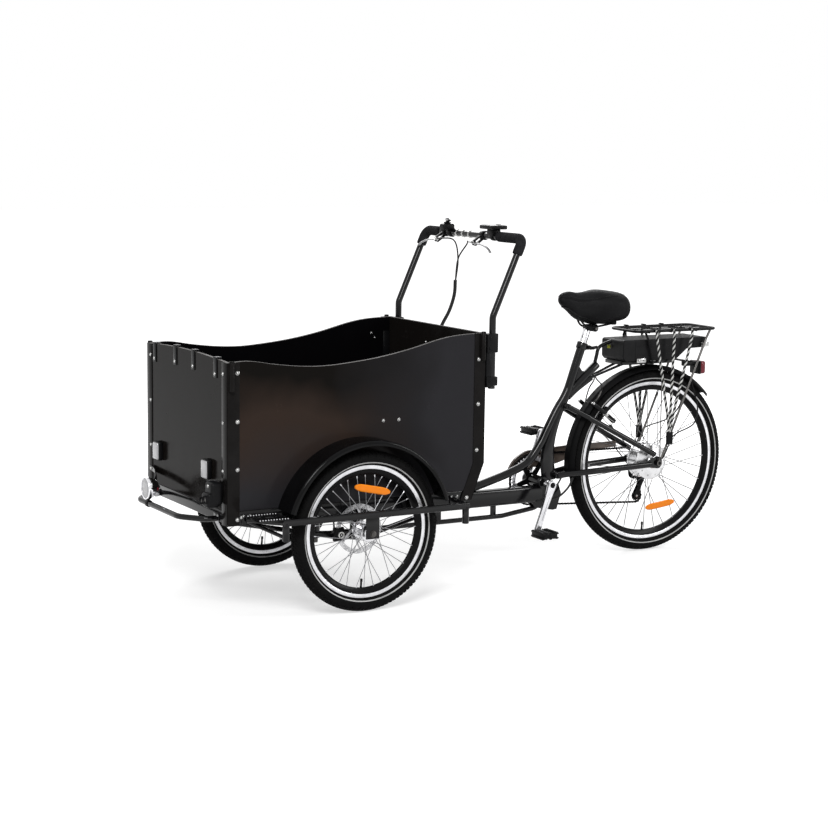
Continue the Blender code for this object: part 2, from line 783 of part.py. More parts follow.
def corner_strips(steered, looks):
    """Angle strips over the box's corners, each with a sleeve for a canopy pole."""
    low, high = BOX_HALF + GAP, BOX_HALF + GAP + STRIP_T
    for tag, side in (("left", -1), ("right", 1)):
        face = BOX_FRONT - GAP
        side_leg = box((face - STRIP_T, face + STRIP_W), span(side, low, high), (STRIP_FOOT, BOX_FRONT_TOP))
        front_leg = box((face - STRIP_T, face), span(side, high - STRIP_W, high), (STRIP_FOOT, BOX_FRONT_TOP))
        centre = (face + 0.012, side * (high + SLEEVE_R - 0.0015))
        sleeve = rod((*centre, BOX_FRONT_TOP - SLEEVE_L), (*centre, BOX_FRONT_TOP + 0.005), SLEEVE_R, 10)
        bore = rod((*centre, BOX_FRONT_TOP - SLEEVE_L + 0.01), (*centre, BOX_FRONT_TOP + 0.015), SLEEVE_R - 0.0018, 10)
        piece(f"corner_front_{tag}", [side_leg, front_leg, sleeve], looks["frame"], steered, [bore])

        face = BOX_REAR + GAP
        foot = BOX_REAR - CHAMFER_IN * 1.28
        outer = [(face + STRIP_T, BOX_REAR_TOP), (face + STRIP_T, CHAMFER_TOP), (foot + STRIP_T, STRIP_FOOT + 0.013)]
        inner = [(face, BOX_REAR_TOP), (face, CHAMFER_TOP), (foot, STRIP_FOOT + 0.013)]
        wide = [(x - STRIP_W, z) for x, z in inner]
        side_leg = prism(outer + wide[::-1], span(side, low, high))
        rear_leg = prism(outer + inner[::-1], span(side, high - STRIP_W, high))
        centre = (face - 0.012, side * (high + SLEEVE_R - 0.0015))
        sleeve = rod((*centre, BOX_REAR_TOP - SLEEVE_L), (*centre, BOX_REAR_TOP + 0.005), SLEEVE_R, 10)
        bore = rod((*centre, BOX_REAR_TOP - SLEEVE_L + 0.01), (*centre, BOX_REAR_TOP + 0.015), SLEEVE_R - 0.0018, 10)
        piece(f"corner_rear_{tag}", [side_leg, rear_leg, sleeve], looks["frame"], steered, [bore])


def bumper(steered, looks):
    face = BOX_FRONT + 0.001 - GAP
    route = bent(
        [
            (face, -BUMPER_HALF, BUMPER_Z),
            (face - 0.038, -BUMPER_HALF, BUMPER_Z),
            (BUMPER_OUT, -BUMPER_HALF + 0.078, BUMPER_Z),
            (BUMPER_OUT, BUMPER_HALF - 0.078, BUMPER_Z),
            (face - 0.038, BUMPER_HALF, BUMPER_Z),
            (face, BUMPER_HALF, BUMPER_Z),
        ],
        0.060,
        3,
    )
    shapes = [tube(route, BUMPER_R, 8)]
    for side in (-1, 1):
        shapes.append(box((face - 0.003, face), span(side, BUMPER_HALF - 0.020, BUMPER_HALF + 0.018), (BUMPER_Z - 0.006, BUMPER_Z + 0.016)))
    strip = BOX_FRONT - 2 * GAP - STRIP_T
    brace = smooth(
        [
            (BUMPER_OUT + 0.008, BUMPER_HALF - 0.118, BUMPER_Z + 0.006),
            (BUMPER_OUT + 0.028, BUMPER_HALF - 0.102, BUMPER_Z + 0.034),
            (BUMPER_OUT + 0.060, BUMPER_HALF - 0.066, BUMPER_Z + 0.058),
            (strip - 0.009, BOX_HALF - 0.088, BUMPER_Z + 0.072),
            (strip - 0.003, BOX_HALF - 0.052, BUMPER_Z + 0.076),
            (strip - 0.003, BOX_HALF - 0.030, BUMPER_Z + 0.077),
        ],
        2,
    )
    shapes.append(ribbon(brace, 0.010, 0.0015))
    piece("bumper", shapes, looks["frame"], steered)


def lamps(steered, looks):
    """The round headlamp stands on the bumper; the horn sits on the left corner strip."""
    z = BUMPER_Z + BUMPER_R + LAMP_R + 0.004
    place = Vector((LAMP_FRONT, 0.080, z))
    shell = turned(
        [
            (0.001, 0.004),
            (LAMP_R * 0.88, 0.003),
            (LAMP_R, 0.0),
            (LAMP_R, 0.012),
            (LAMP_R * 0.5, 0.042),
            (0.001, 0.046),
        ],
        place,
        (1, 0, 0),
        18,
    )
    stem_x = BUMPER_OUT
    stem = box((stem_x - 0.007, stem_x + 0.007), (0.073, 0.087), (BUMPER_Z + BUMPER_R + GAP, z))
    core = rod(place + Vector((0.002, 0, 0)), place + Vector((0.045, 0, 0)), 0.006, 8)
    piece("headlamp", [shell, stem, core], looks["chrome"], steered)

    face = BOX_FRONT - 2 * GAP - STRIP_T
    body = eased(box((face - 0.044, face), (0.022 - BOX_HALF, 0.076 - BOX_HALF), (0.352, 0.432)), 0.008, 2)
    mouth = rod((face - 0.060, 0.049 - BOX_HALF, 0.378), (face - 0.020, 0.049 - BOX_HALF, 0.384), 0.024, 14)
    piece("horn", [body, mouth], looks["plastic"], steered)


def caliper(tag, side, steered, looks):
    """A cable disc brake that straddles the rotor ahead of the axle."""
    rotor = WHEEL_Y - ROTOR_OFFSET
    face = RAIL_OUT - 0.003 + GAP
    body = eased(box((-0.088, -0.050), span(side, face + 0.001, rotor + 0.0110), (FRONT_Z - 0.034, FRONT_Z + 0.010)), 0.004)
    arm = box((-0.075, -0.007), span(side, face, face + 0.0045), (FRONT_Z - 0.032, FRONT_Z - 0.017))
    knob = rod((-0.066, side * (rotor + 0.010), FRONT_Z - 0.012), (-0.066, side * (rotor + 0.0130), FRONT_Z - 0.012), 0.010, 14)
    slot = box((-0.085, 0.0), span(side, rotor - 0.0016, rotor + 0.0016), (FRONT_Z - 0.09, FRONT_Z + 0.09))
    piece(f"caliper_{tag}", [body, arm, knob], looks["alloy"], steered, [slot])


# Handlebar


def bar_route():
    """The bar's centre line: up the left leg, across, and down the right leg."""
    left = [
        (BAR_FOOT.x, -BAR_Y, BAR_FOOT.z),
        (BAR_BEND.x, -BAR_Y, BAR_BEND.z),
        (BAR_TOP.x, -BAR_Y, BAR_TOP.z),
    ]
    right = [(x, -y, z) for x, y, z in reversed(left)]
    return bent(left + right, BAR_CORNER, BAR_STEPS)


def bar_lean():
    return (BAR_TOP - BAR_BEND).normalized()


def handlebar(steered, looks):
    shapes = [tube(bar_route(), BAR_R, 8)]
    face = BOX_REAR + 2 * GAP + STRIP_T
    for side in (-1, 1):
        for low, high in ((0.790, 0.852), (0.682, 0.712)):
            shapes.append(
                eased(box((face, BAR_FOOT.x + BAR_R + 0.004), span(side, BAR_Y - BAR_R - 0.004, BAR_HOLD), (low, high)), 0.002)
            )
    ahead = Vector((-1, 0, 0))
    for place, reach in ((LEVER_LEFT_Y, 0.034), (LEVER_RIGHT_Y, 0.034)):
        centre = Vector((BAR_TOP.x, place, BAR_TOP.z))
        shapes.append(rod(centre - Vector((0, 0.011, 0)), centre + Vector((0, 0.011, 0)), BAR_R + 0.005, 10))
        tip = lever_pivot(place)
        shapes.append(sweep([centre, tip - Vector((0, 0, 0.0))], [(-0.009, -0.006), (0.009, -0.006), (0.009, 0.006), (-0.009, 0.006)], (0, 0, 1)))
    centre = Vector((BAR_TOP.x, SHIFTER_Y, BAR_TOP.z))
    shapes.append(rod(centre - Vector((0, 0.009, 0)), centre + Vector((0, 0.009, 0)), BAR_R + 0.005, 10))
    shapes.append(eased(box((BAR_TOP.x - 0.040, BAR_TOP.x + 0.004), (SHIFTER_Y - 0.016, SHIFTER_Y + 0.018), (BAR_TOP.z + 0.008, BAR_TOP.z + 0.030)), 0.005))
    mount = Vector((BAR_TOP.x, DISPLAY_Y, BAR_TOP.z))
    shapes.append(rod(mount - Vector((0, 0.008, 0)), mount + Vector((0, 0.008, 0)), BAR_R + 0.004, 10))
    shapes.append(box((BAR_TOP.x - 0.012, BAR_TOP.x + 0.012), (DISPLAY_Y - 0.008, DISPLAY_Y + 0.008), (BAR_TOP.z, DISPLAY_Z - GAP)))
    slots = []
    for place in (LEVER_LEFT_Y, LEVER_RIGHT_Y):
        tip = lever_pivot(place)
        slots.append(rod(tip + lever_axis() * 0.0050, tip - lever_axis() * 0.0050, 0.015, 12))
    piece("handlebar", shapes, looks["frame"], steered, slots)


BAR_HOLD = BAR_Y + BAR_R + 0.004
DISPLAY_Z = BAR_TOP.z + 0.024


def lever_pivot(place):
    """Where a brake lever turns, ahead of and below the bar."""
    return Vector((BAR_TOP.x - 0.038, place, BAR_TOP.z - 0.026))


def lever_axis():
    """Square to the plane in which the lever closes on the grip."""
    return Vector((0.50, 0, -0.87)).normalized()


def grips(steered, looks):
    """Fat foam grips that wrap the bar's corners."""
    route = bar_route()
    arc = BAR_STEPS + 1
    corners = {-1: route[1 + arc : 1 + 2 * arc][::-1], 1: route[1 + 2 * arc : 1 + 3 * arc]}
    bore_r = BAR_R / math.cos(math.pi / 8) + GAP
    for tag, side, inner in (("left", -1, 0.165), ("right", 1, 0.215)):
        corner = Vector((BAR_TOP.x, side * BAR_Y, BAR_TOP.z))
        start = Vector((BAR_TOP.x, side * inner, BAR_TOP.z))
        end = corner - bar_lean() * (BAR_CORNER + 0.018)
        sleeve = tube([start, *corners[side], end], GRIP_R, 10)
        past = Vector((0, side * 0.010, 0))
        bore = tube([start - past, *corners[side], end - bar_lean() * 0.010], bore_r, 8)
        piece(f"grip_{tag}", [sleeve], looks["foam"], steered, [bore])


def levers(steered, looks):
    """Two-finger brake levers; each turns in a fork of its clamp."""
    for tag, place, side in (("left", LEVER_LEFT_Y, -1), ("right", LEVER_RIGHT_Y, 1)):
        pivot = lever_pivot(place)
        carrier = Carrier(f"brake_lever_{tag}_turn", pivot, steered)
        axis = lever_axis()
        eye = rod(pivot + axis * 0.0040, pivot - axis * 0.0040, 0.0080, 12)
        across = Vector((0, side, 0))
        fall = Vector((-0.020, 0, -0.080))
        route = smooth(
            [
                pivot,
                pivot + across * 0.024,
                pivot + across * 0.058 + fall * 0.05,
                pivot + across * 0.092 + fall * 0.16,
                pivot + across * LEVER_L + fall * 0.30,
            ],
            2,
        )
        blade = sweep(route, circle(0.0042, 6), (0, 0, 1))
        piece(f"brake_lever_{tag}", [eye, blade], looks["alloy"], carrier, (), pivot)


def controls(steered, looks):
    """The display with its button, and the gear shifter's thumb lever."""
    low = DISPLAY_Z
    body = eased(
        box((BAR_TOP.x - 0.034, BAR_TOP.x + 0.026), (DISPLAY_Y - 0.042, DISPLAY_Y + 0.042), (low, low + 0.014)), 0.004, 2
    )
    button_x, button_y = BAR_TOP.x + 0.016, DISPLAY_Y
    well = box((button_x - 0.006, button_x + 0.006), (button_y - 0.010, button_y + 0.010), (low + 0.010, low + 0.02))
    piece("display", [body], looks["plastic"], steered, [well])
    press = Carrier("display_button_press", (button_x, button_y, low + 0.0103), steered)
    cap = box((button_x - 0.0055, button_x + 0.0055), (button_y - 0.0095, button_y + 0.0095), (low + 0.0118, low + 0.0155))
    piece("display_button", [cap], looks["rubber"], press)

    pivot = Vector((BAR_TOP.x - 0.018, SHIFTER_Y, BAR_TOP.z + 0.030 + GAP))
    shift = Carrier("shift_lever_turn", pivot, steered)
    hub = rod(pivot, pivot + Vector((0, 0, 0.006)), 0.012, 14)
    paddle = sweep(
        [pivot + Vector((0, 0, 0.003)), pivot + Vector((0.012, 0.018, 0.008)), pivot + Vector((0.020, 0.034, 0.016))],
        [(-0.006, -0.002), (0.006, -0.002), (0.006, 0.002), (-0.006, 0.002)],
    )
    piece("shift_lever", [hub, paddle], looks["plastic"], shift)


def cable_loom(steered, looks):
    """Brake and motor cables that hang from the bar into one loom down the box's rear panel."""
    face = BOX_REAR
    loom = smooth(
        [
            (0.548, 0.024, 1.000),
            (0.546, 0.026, 0.950),
            (0.532, 0.034, 0.895),
            (0.508, 0.046, 0.840),
            (0.484, 0.056, 0.760),
            (face + 0.0125, 0.060, 0.640),
            (face + 0.0115, 0.062, 0.450),
            (face - 0.012, 0.062, 0.366),
            (CHASSIS_REAR + 0.0165, 0.062, 0.325),
        ],
        2,
    )
    shapes = [sweep(loom, circle(0.0062, 6), (0, 1, 0))]
    for start, drop in (
        ((BAR_TOP.x - 0.050, LEVER_LEFT_Y + 0.022, BAR_TOP.z - 0.020), (0.564, -0.020, 1.122)),
        ((BAR_TOP.x - 0.050, LEVER_RIGHT_Y - 0.022, BAR_TOP.z - 0.020), (0.562, 0.062, 1.132)),
    ):
        route = smooth([start, drop, (0.556, 0.022, 1.070), (0.548, 0.024, 0.990)], 3)
        shapes.append(sweep(route, circle(0.0027, 5), (1, 0, 0)))
    piece("cable_loom", shapes, looks["rubber"], steered)


# Rear frame


def seat_line(height):
    """A point of the seat tube's straight upper part at a height."""
    return SEAT_TOP + SEAT_LEAN * ((height - SEAT_TOP.z) / SEAT_LEAN.z)


def rear_frame(frame, looks):
    """The welded frame, one piece for each tube so that the spaces between them stay open."""
    beam = eased(box((-0.004, BB.x - 0.012), (-BEAM_HALF, BEAM_HALF), (BEAM_FOOT, BEAM_TOP)), 0.008, 2)
    shapes = [beam, rod((0, 0, HEAD_FOOT), (0, 0, HEAD_TOP), HEAD_R, 16)]
    lower = bent(
        [
            (0.010, 0, LOWER_Z + 0.004),
            (0.060, 0, LOWER_Z),
            (BB.x - 0.154, 0, LOWER_Z),
            (BB.x + 0.011, 0, 0.196),
            (BB.x + 0.016, 0, BB.z - 0.010),
        ],
        0.05,
        2,
    )
    shapes.append(tube(lower, LOWER_R, 6))
    for place in (0.480, BB.x - 0.188):
        shapes.append(box((place - 0.009, place + 0.009), (-0.006, 0.006), (LOWER_Z, BEAM_FOOT + 0.006)))
    shapes.append(rod(BB + Vector((0, -BB_HALF, 0)), BB + Vector((0, BB_HALF, 0)), BB_R, 16))
    bores = [
        rod((0, 0, HEAD_FOOT - 0.01), (0, 0, HEAD_TOP + 0.01), PIN_R + RUN, 12),
        rod(BB + Vector((0, -BB_HALF - 0.01, 0)), BB + Vector((0, BB_HALF + 0.01, 0)), 0.0085 + RUN, 12),
    ]
    piece("main_beam", shapes, looks["frame"], frame, bores)

    seat_route = smooth(
        [
            (BB.x + 0.0310, 0, BB.z + 0.002),
            (BB.x + 0.037, 0, 0.360),
            (BB.x + 0.051, 0, 0.450),
            (BB.x + 0.077, 0, 0.528),
            seat_line(0.592),
            seat_line(0.700),
            SEAT_TOP,
        ],
        2,
    )
    lean = SEAT_LEAN
    collar = rod(SEAT_TOP - lean * 0.020, SEAT_TOP + lean * 0.004, SEAT_TUBE_R + 0.004, 14)
    ears = box((SEAT_TOP.x + 0.012, SEAT_TOP.x + 0.030), (-0.008, 0.008), (SEAT_TOP.z - 0.022, SEAT_TOP.z - 0.006))
    post_bore = rod(seat_line(0.608), seat_line(0.790), POST_TUBE_R + GAP, 12)
    ear_slot = box((SEAT_TOP.x + 0.005, SEAT_TOP.x + 0.040), (-0.0012, 0.0012), (SEAT_TOP.z - 0.03, SEAT_TOP.z + 0.02))
    lever_eye = rod((SEAT_TOP.x + 0.023, -0.02, SEAT_TOP.z - 0.014), (SEAT_TOP.x + 0.023, 0.02, SEAT_TOP.z - 0.014), 0.0030, 8)
    shell_cut = rod(BB + Vector((0, -BB_HALF - 0.01, 0)), BB + Vector((0, BB_HALF + 0.01, 0)), BB_R + GAP, 16)
    lower_cut = tube(lower, LOWER_R + GAP, 6)
    holes = [post_bore, ear_slot, lever_eye, shell_cut, lower_cut]
    piece("seat_tube", [tube(seat_route, SEAT_TUBE_R, 12), collar, ears], looks["frame"], frame, holes)

    down_route = smooth(
        [
            (BB.x + 0.069, 0, 0.560),
            (BB.x + 0.033, 0, 0.483),
            (BB.x - 0.001, 0, 0.414),
            (BB.x - 0.051, 0, 0.356),
            (BB.x - 0.121, 0, 0.326),
            (BB.x - 0.203, 0, 0.302),
            (BB.x - 0.269, 0, 0.289),
        ],
        2,
    )
    beam_cut = box((BB.x - 0.489, BB.x + 0.011), (-0.05, 0.05), (BEAM_TOP - 0.05, BEAM_TOP + GAP))
    tube_cut = tube(seat_route, SEAT_TUBE_R + GAP, 12)
    shell_cut = rod(BB + Vector((0, -BB_HALF - 0.01, 0)), BB + Vector((0, BB_HALF + 0.01, 0)), BB_R + GAP, 16)
    piece("down_tube", [tube(down_route, DOWN_TUBE_R, 10)], looks["frame"], frame, [beam_cut, tube_cut, shell_cut])
    return seat_route


def rear_stays(frame, looks, seat_route):
    axle = Vector((WHEELBASE, 0, REAR_Z))
    seat_cut = tube(seat_route, SEAT_TUBE_R + GAP, 12)
    shapes = []
    start = Vector((BB.x + 0.056, 0, 0.305))
    for side in (-1, 1):
        y = side * (DROPOUT_Y + 0.004)
        route = bent([start + Vector((0, side * 0.030, 0)), (BB.x + 0.093, side * 0.0335, 0.309), (BB.x + 0.181, side * 0.060, 0.316), (axle.x - 0.030, y, axle.z - 0.004)], 0.08, 2)
        shapes.append(tube(route, STAY_R - 0.001, 8))
        drop = [
            (axle.x - 0.045, axle.z - 0.014),
            (axle.x + 0.006, axle.z - 0.020),
            (axle.x + 0.018, axle.z - 0.004),
            (axle.x + 0.018, axle.z + 0.012),
            (axle.x - 0.004, axle.z + 0.024),
            (axle.x - 0.045, axle.z + 0.008),
        ]
        shapes.append(prism(drop, span(side, DROPOUT_Y, DROPOUT_Y + 0.006)))
        shapes.append(rod(axle + Vector((0, side * (DROPOUT_Y + 0.005), 0)), axle + Vector((0, side * (DROPOUT_Y + 0.014), 0)), 0.011, 6))
    shapes.append(rod(axle - Vector((0, DROPOUT_Y + 0.018, 0)), axle + Vector((0, DROPOUT_Y + 0.018, 0)), AXLE_R, 12))
    shapes.append(rod(start + Vector((0, -0.036, 0)), start + Vector((0, 0.036, 0)), STAY_R, 10))
    piece("chain_stays", shapes, looks["frame"], frame, [seat_cut])

    seat_cut = tube(seat_route, SEAT_TUBE_R + GAP, 12)
    high = Vector((BB.x + 0.096, 0, 0.548))
    knee = BB.x + 0.171
    shapes = [rod(high + Vector((0, -0.036, 0)), high + Vector((0, 0.036, 0)), STAY_R + 0.001, 10)]
    for side in (-1, 1):
        y = side * (DROPOUT_Y + 0.003)
        route = bent(
            [high + Vector((0, side * 0.030, 0)), (knee, side * 0.052, 0.508), (axle.x - 0.012, y, axle.z + 0.030)], 0.08, 2
        )
        shapes.append(tube(route, STAY_R, 8))
        boss = brake_boss(side)
        shapes.append(rod(boss - BRAKE_ACROSS * 0.010, boss + BRAKE_ACROSS * 0.026, STUD_R, 8))
        along = boss.x - knee
        stay_y = side * (0.052 + (abs(y) - 0.052) * along / (axle.x - 0.012 - knee))
        stay_z = 0.508 + (axle.z + 0.030 - 0.508) * along / (axle.x - 0.012 - knee)
        shapes.append(rod((boss.x, stay_y, stay_z), boss - BRAKE_ACROSS * 0.006, 0.0075, 8))
    trim = box((axle.x - 0.080, axle.x + 0.05), (-0.1, 0.1), (axle.z - 0.06, axle.z + 0.0245))
    piece("seat_stays", shapes, looks["frame"], frame, [seat_cut, trim])

    seat_cut = tube(seat_route, SEAT_TUBE_R + GAP, 12)
    seat_x = SEAT_TOP.x
    main = rod((seat_x - 0.062, 0, 0.585), (seat_x + 0.064, 0, 0.690), 0.0150, 10)
    arm = tube(
        smooth([(seat_x + 0.052, 0, 0.680), (seat_x + 0.061, 0, 0.716), (seat_x + 0.074, 0, 0.750), (BATTERY_FRONT - GAP - 0.006, 0, 0.768)], 2), 0.0065, 6
    )
    shapes = [main, arm]
    low_stay = smooth([(seat_x - 0.058, 0, 0.578), (seat_x - 0.022, 0, 0.606), (seat_x + 0.038, 0, 0.643)], 3)
    shapes.append(tube(low_stay, 0.0125, 8))
    for side in (-1, 1):
        shapes.append(rod((seat_x + 0.030, side * 0.008, 0.642), (BATTERY_FRONT + 0.034, side * 0.021, 0.6875), 0.0046, 6))
    shapes.append(box((BATTERY_FRONT + 0.006, BATTERY_REAR - 0.137), (-0.052, 0.052), (0.686, BATTERY_FOOT - GAP)))
    fender_top = REAR_Z + REAR_FENDER_R + GAP
    shapes.append(box((WHEELBASE - 0.012, WHEELBASE + 0.012), (-0.010, 0.010), (fender_top, 0.690)))
    piece("battery_dock", shapes, looks["frame"], frame, [seat_cut])


def rack(frame, looks):
    """A carrier of welded rods over the battery, with legs down to the dropouts."""
    corner = 0.030
    loop = bent(
        [
            (RACK_FRONT + 0.05, 0, RACK_Z),
            (RACK_FRONT, 0, RACK_Z),
            (RACK_FRONT, -RACK_HALF, RACK_Z),
            (RACK_REAR, -RACK_HALF, RACK_Z),
            (RACK_REAR, RACK_HALF, RACK_Z),
            (RACK_FRONT, RACK_HALF, RACK_Z),
            (RACK_FRONT, 0, RACK_Z),
        ][1:],
        corner,
        3,
    )
    shapes = [sweep(loop[:-1], circle(RACK_ROD, 6, math.pi / 6), closed=True)]
    for across in (-0.045, 0.0, 0.045):
        shapes.append(rod((RACK_FRONT, across, RACK_Z), (RACK_REAR, across, RACK_Z), 0.0032, 5))
    for place in (RACK_FRONT + 0.052, RACK_FRONT + 0.150, RACK_FRONT + 0.262):
        shapes.append(rod((place, -RACK_HALF, RACK_Z - 0.004), (place, RACK_HALF, RACK_Z - 0.004), 0.0038, 5))
    axle = Vector((WHEELBASE, 0, REAR_Z))
    for side in (-1, 1):
        leg_y = side * (DROPOUT_Y + 0.006 + 0.0055 + GAP)
        shapes.append(
            tube(
                bent([(RACK_REAR - 0.030, side * RACK_HALF, RACK_Z), (RACK_REAR - 0.045, leg_y, RACK_Z - 0.036), (axle.x + 0.010, leg_y, axle.z + 0.015)], 0.03, 2),
                0.0048,
                6,
            )
        )
        leg_out = side * (BATTERY_HALF + 0.007)
        low = BATTERY_FOOT - 0.0065
        stand = [
            (RACK_FRONT + 0.052, side * 0.060, RACK_Z - 0.004),
            (RACK_FRONT + 0.054, leg_out, RACK_Z - 0.026),
            (RACK_FRONT + 0.078, leg_out, low),
        ]
        shapes.append(tube(stand, 0.0040, 5))
        foot_end = side * (0.052 + GAP)
        shapes.append(rod((RACK_FRONT + 0.078, leg_out + side * 0.002, low), (RACK_FRONT + 0.078, foot_end, low), 0.0045, 6))
    leg_y = DROPOUT_Y + 0.0115 + GAP
    shapes.append(rod((RACK_REAR - 0.082, -leg_y, 0.684), (RACK_REAR - 0.082, leg_y, 0.684), 0.0040, 6))
    shapes.append(box((RACK_REAR - 0.084, LAMP_FACE), (-0.010, 0.010), (0.664, 0.681)))
    piece("rear_rack", shapes, looks["frame"], frame)


def battery(frame, looks):
    low, high = BATTERY_FOOT, BATTERY_TOP
    carrier = Carrier("battery_slide", (BATTERY_FRONT, 0, low), frame)
    shell = prism(
        [
            (BATTERY_FRONT + 0.010, low),
            (BATTERY_REAR - 0.135, low),
            (BATTERY_REAR - 0.088, low + 0.036),
            (BATTERY_REAR - 0.005, low + 0.038),
            (BATTERY_REAR, low + 0.044),
            (BATTERY_REAR, high - 0.006),
            (BATTERY_REAR - 0.006, high),
            (BATTERY_FRONT + 0.006, high),
            (BATTERY_FRONT, high - 0.006),
            (BATTERY_FRONT, low + 0.012),
        ],
        (-BATTERY_HALF, BATTERY_HALF),
    )
    lock = Vector((BATTERY_FRONT, 0.012, 0.748))
    well = rod(lock - Vector((0.01, 0, 0)), lock + Vector((0.010, 0, 0)), 0.0095, 14)
    piece("battery", [shell], looks["plastic"], carrier, [well])
    key = Carrier("battery_lock_turn", lock, carrier)
    barrel = rod(lock - Vector((0.002, 0, 0)), lock + Vector((0.0097, 0, 0)), 0.0095 - RUN, 14)
    bow = box((lock.x - 0.014, lock.x - 0.001), (lock.y - 0.0012, lock.y + 0.0012), (lock.z - 0.006, lock.z + 0.006))
    piece("battery_lock", [barrel, bow], looks["chrome"], key)


def rear_fender(frame, looks):
    """A channel-shaped fender over the rear wheel, with the tail lamp behind it."""
    centre = (WHEELBASE, 0, REAR_Z)
    half = REAR_FENDER_HALF
    r = REAR_FENDER_R
    profile = [
        (r - 0.014, -half),
        (r, -half * 0.55),
        (r, half * 0.55),
        (r - 0.014, half),
        (r - 0.014, half - 0.0026),
        (r - 0.0024, half * 0.50),
        (r - 0.0024, -half * 0.50),
        (r - 0.014, -half + 0.0026),
    ]
    arc = turned(profile, centre, (0, 1, 0), 20, math.radians(-3), math.radians(141))
    shapes = [arc]
    bores = []
    axle = Vector(centre)
    angle = math.radians(97)
    rim = Vector((-math.cos(angle), 0, math.sin(angle))) * (r - 0.012)
    for side in (-1, 1):
        near, far = DROPOUT_Y + 0.0143, DROPOUT_Y + 0.0168
        shapes.append(rod(axle + Vector((0, side * near, 0)), axle + Vector((0, side * far, 0)), 0.0105, 12))
        bores.append(rod(axle + Vector((0, side * (near - 0.01), 0)), axle + Vector((0, side * (far + 0.01), 0)), AXLE_R + GAP, 12))
        start = axle + Vector((0.0005, side * (near + 0.0024), 0.0085))
        shapes.append(rod(start, axle + rim + Vector((0, side * (half - 0.001), 0)), 0.0019, 5))
    piece("rear_fender", shapes, looks["gloss"], frame, bores)

    back = LAMP_FACE + GAP
    lamp = eased(box((back, back + 0.030), (-0.030, 0.030), (0.634, 0.682)), 0.006, 2)
    piece("tail_lamp", [lamp], looks["red"], frame)


def straps(frame, looks):
    """Three elastic cords a side from the rack to one hook block at the axle."""
    axle = Vector((WHEELBASE, 0, REAR_Z))
    for tag, side in (("left", -1), ("right", 1)):
        over = RACK_Z + RACK_ROD + GAP
        out_y = side * (RACK_HALF + RACK_ROD + 0.0055)
        low_y = side * (DROPOUT_Y + 0.0238)
        shapes = [eased(box((axle.x + 0.021, axle.x + 0.048), span(side, abs(low_y) - 0.0057, abs(low_y) + 0.0057), (0.396, 0.444)), 0.004)]
        for start, offset in ((0.077, 0.0265), (0.154, 0.0345), (0.234, 0.0425)):
            place, meet = RACK_FRONT + start, axle.x + offset
            hook_plate = span(side, RACK_HALF - 0.005, abs(out_y) + 0.0052)
            shapes.append(box((place - 0.0051, place + 0.0053), hook_plate, (over, over + 0.0032)))
            route = [
                (place, out_y, over + 0.0012),
                (place, out_y, RACK_Z - 0.010),
                (place + (meet - place) * 0.15, out_y, 0.740),
                (meet, low_y, 0.480),
                (meet, low_y, 0.440),
            ]
            shapes.append(sweep(smooth(route, 2), circle(0.0042, 5, 0.2), (0, 1, 0)))
        hook = smooth([(axle.x + 0.035, low_y, 0.400), (axle.x + 0.023, low_y, 0.374), (axle.x + 0.006, side * (DROPOUT_Y + 0.0245), axle.z + 0.018)], 2)
        shapes.append(sweep(hook, circle(0.0025, 5), (0, 1, 0)))
        piece(f"elastic_straps_{tag}", shapes, looks["webbing"], frame)


# Drive


def arc_points(centre, radius, start, end, turn_down, step=0.30):
    """Points on a circle in the XZ plane from one angle to another, clockwise if asked."""
    if turn_down:
        while end > start:
            end -= 2 * math.pi
    else:
        while end < start:
            end += 2 * math.pi
    count = max(2, int(abs(end - start) / step) + 1)
    return [
        Vector(
            (
                centre.x + radius * math.cos(start + (end - start) * k / count),
                centre.y,
                centre.z + radius * math.sin(start + (end - start) * k / count),
            )
        )
        for k in range(count + 1)
    ]


def chain_route():
    """The chain's closed path round chainring, sprocket, guide pulley and tension pulley."""
    pitch = RING_R + 0.0005 + CHAIN_H / 2 + 0.0015
    small = SPROCKET_R + CHAIN_H / 2 + 0.0012
    roller = PULLEY_R + CHAIN_H / 2 + GAP + 0.0003
    wheels = [
        (Vector((BB.x, CHAIN_Y, BB.z)), pitch, True),
        (Vector((WHEELBASE, CHAIN_Y, REAR_Z)), small, True),
        (Vector((GUIDE.x, CHAIN_Y, GUIDE.z)), roller, False),
        (Vector((TENSION.x, CHAIN_Y, TENSION.z)), roller, True),
    ]
    leaves, meets = [], []
    for k, (centre, radius, down) in enumerate(wheels):
        after, after_radius, after_down = wheels[(k + 1) % len(wheels)]
        apart = after - centre
        distance = math.hypot(apart.x, apart.z)
        heading = math.atan2(apart.z, apart.x)
        signed = radius if down else -radius
        after_signed = after_radius if after_down else -after_radius
        tilt = math.asin((signed - after_signed) / distance)
        normal = heading + math.pi / 2 - tilt
        leaves.append(normal if down else normal + math.pi)
        meets.append(normal if after_down else normal + math.pi)
    route = []
    for k, (centre, radius, down) in enumerate(wheels):
        route += arc_points(centre, radius, meets[k - 1], leaves[k], down)
    return route


def chain(frame, looks):
    half_w, half_h = CHAIN_W / 2, CHAIN_H / 2
    section = [(-half_w, -half_h), (half_w, -half_h), (half_w, half_h), (-half_w, half_h)]
    rings = []
    route = chain_route()
    for k, point in enumerate(route):
        axis = (route[(k + 1) % len(route)] - route[k - 1]).normalized()
        out = Vector((-axis.z, 0, axis.x))
        rings.append([point + Vector((0, a, 0)) + out * b for a, b in section])
    piece("chain", [skin(rings, closed=True)], looks["steel"], frame)


def gear_outline(centre, radius, teeth, depth):
    points = []
    for k in range(teeth * 2):
        angle = 2 * math.pi * (k + 0.5) / (teeth * 2)
        reach = radius if k % 2 else radius - depth
        points.append((centre.x + reach * math.cos(angle), centre.z + reach * math.sin(angle)))
    return points


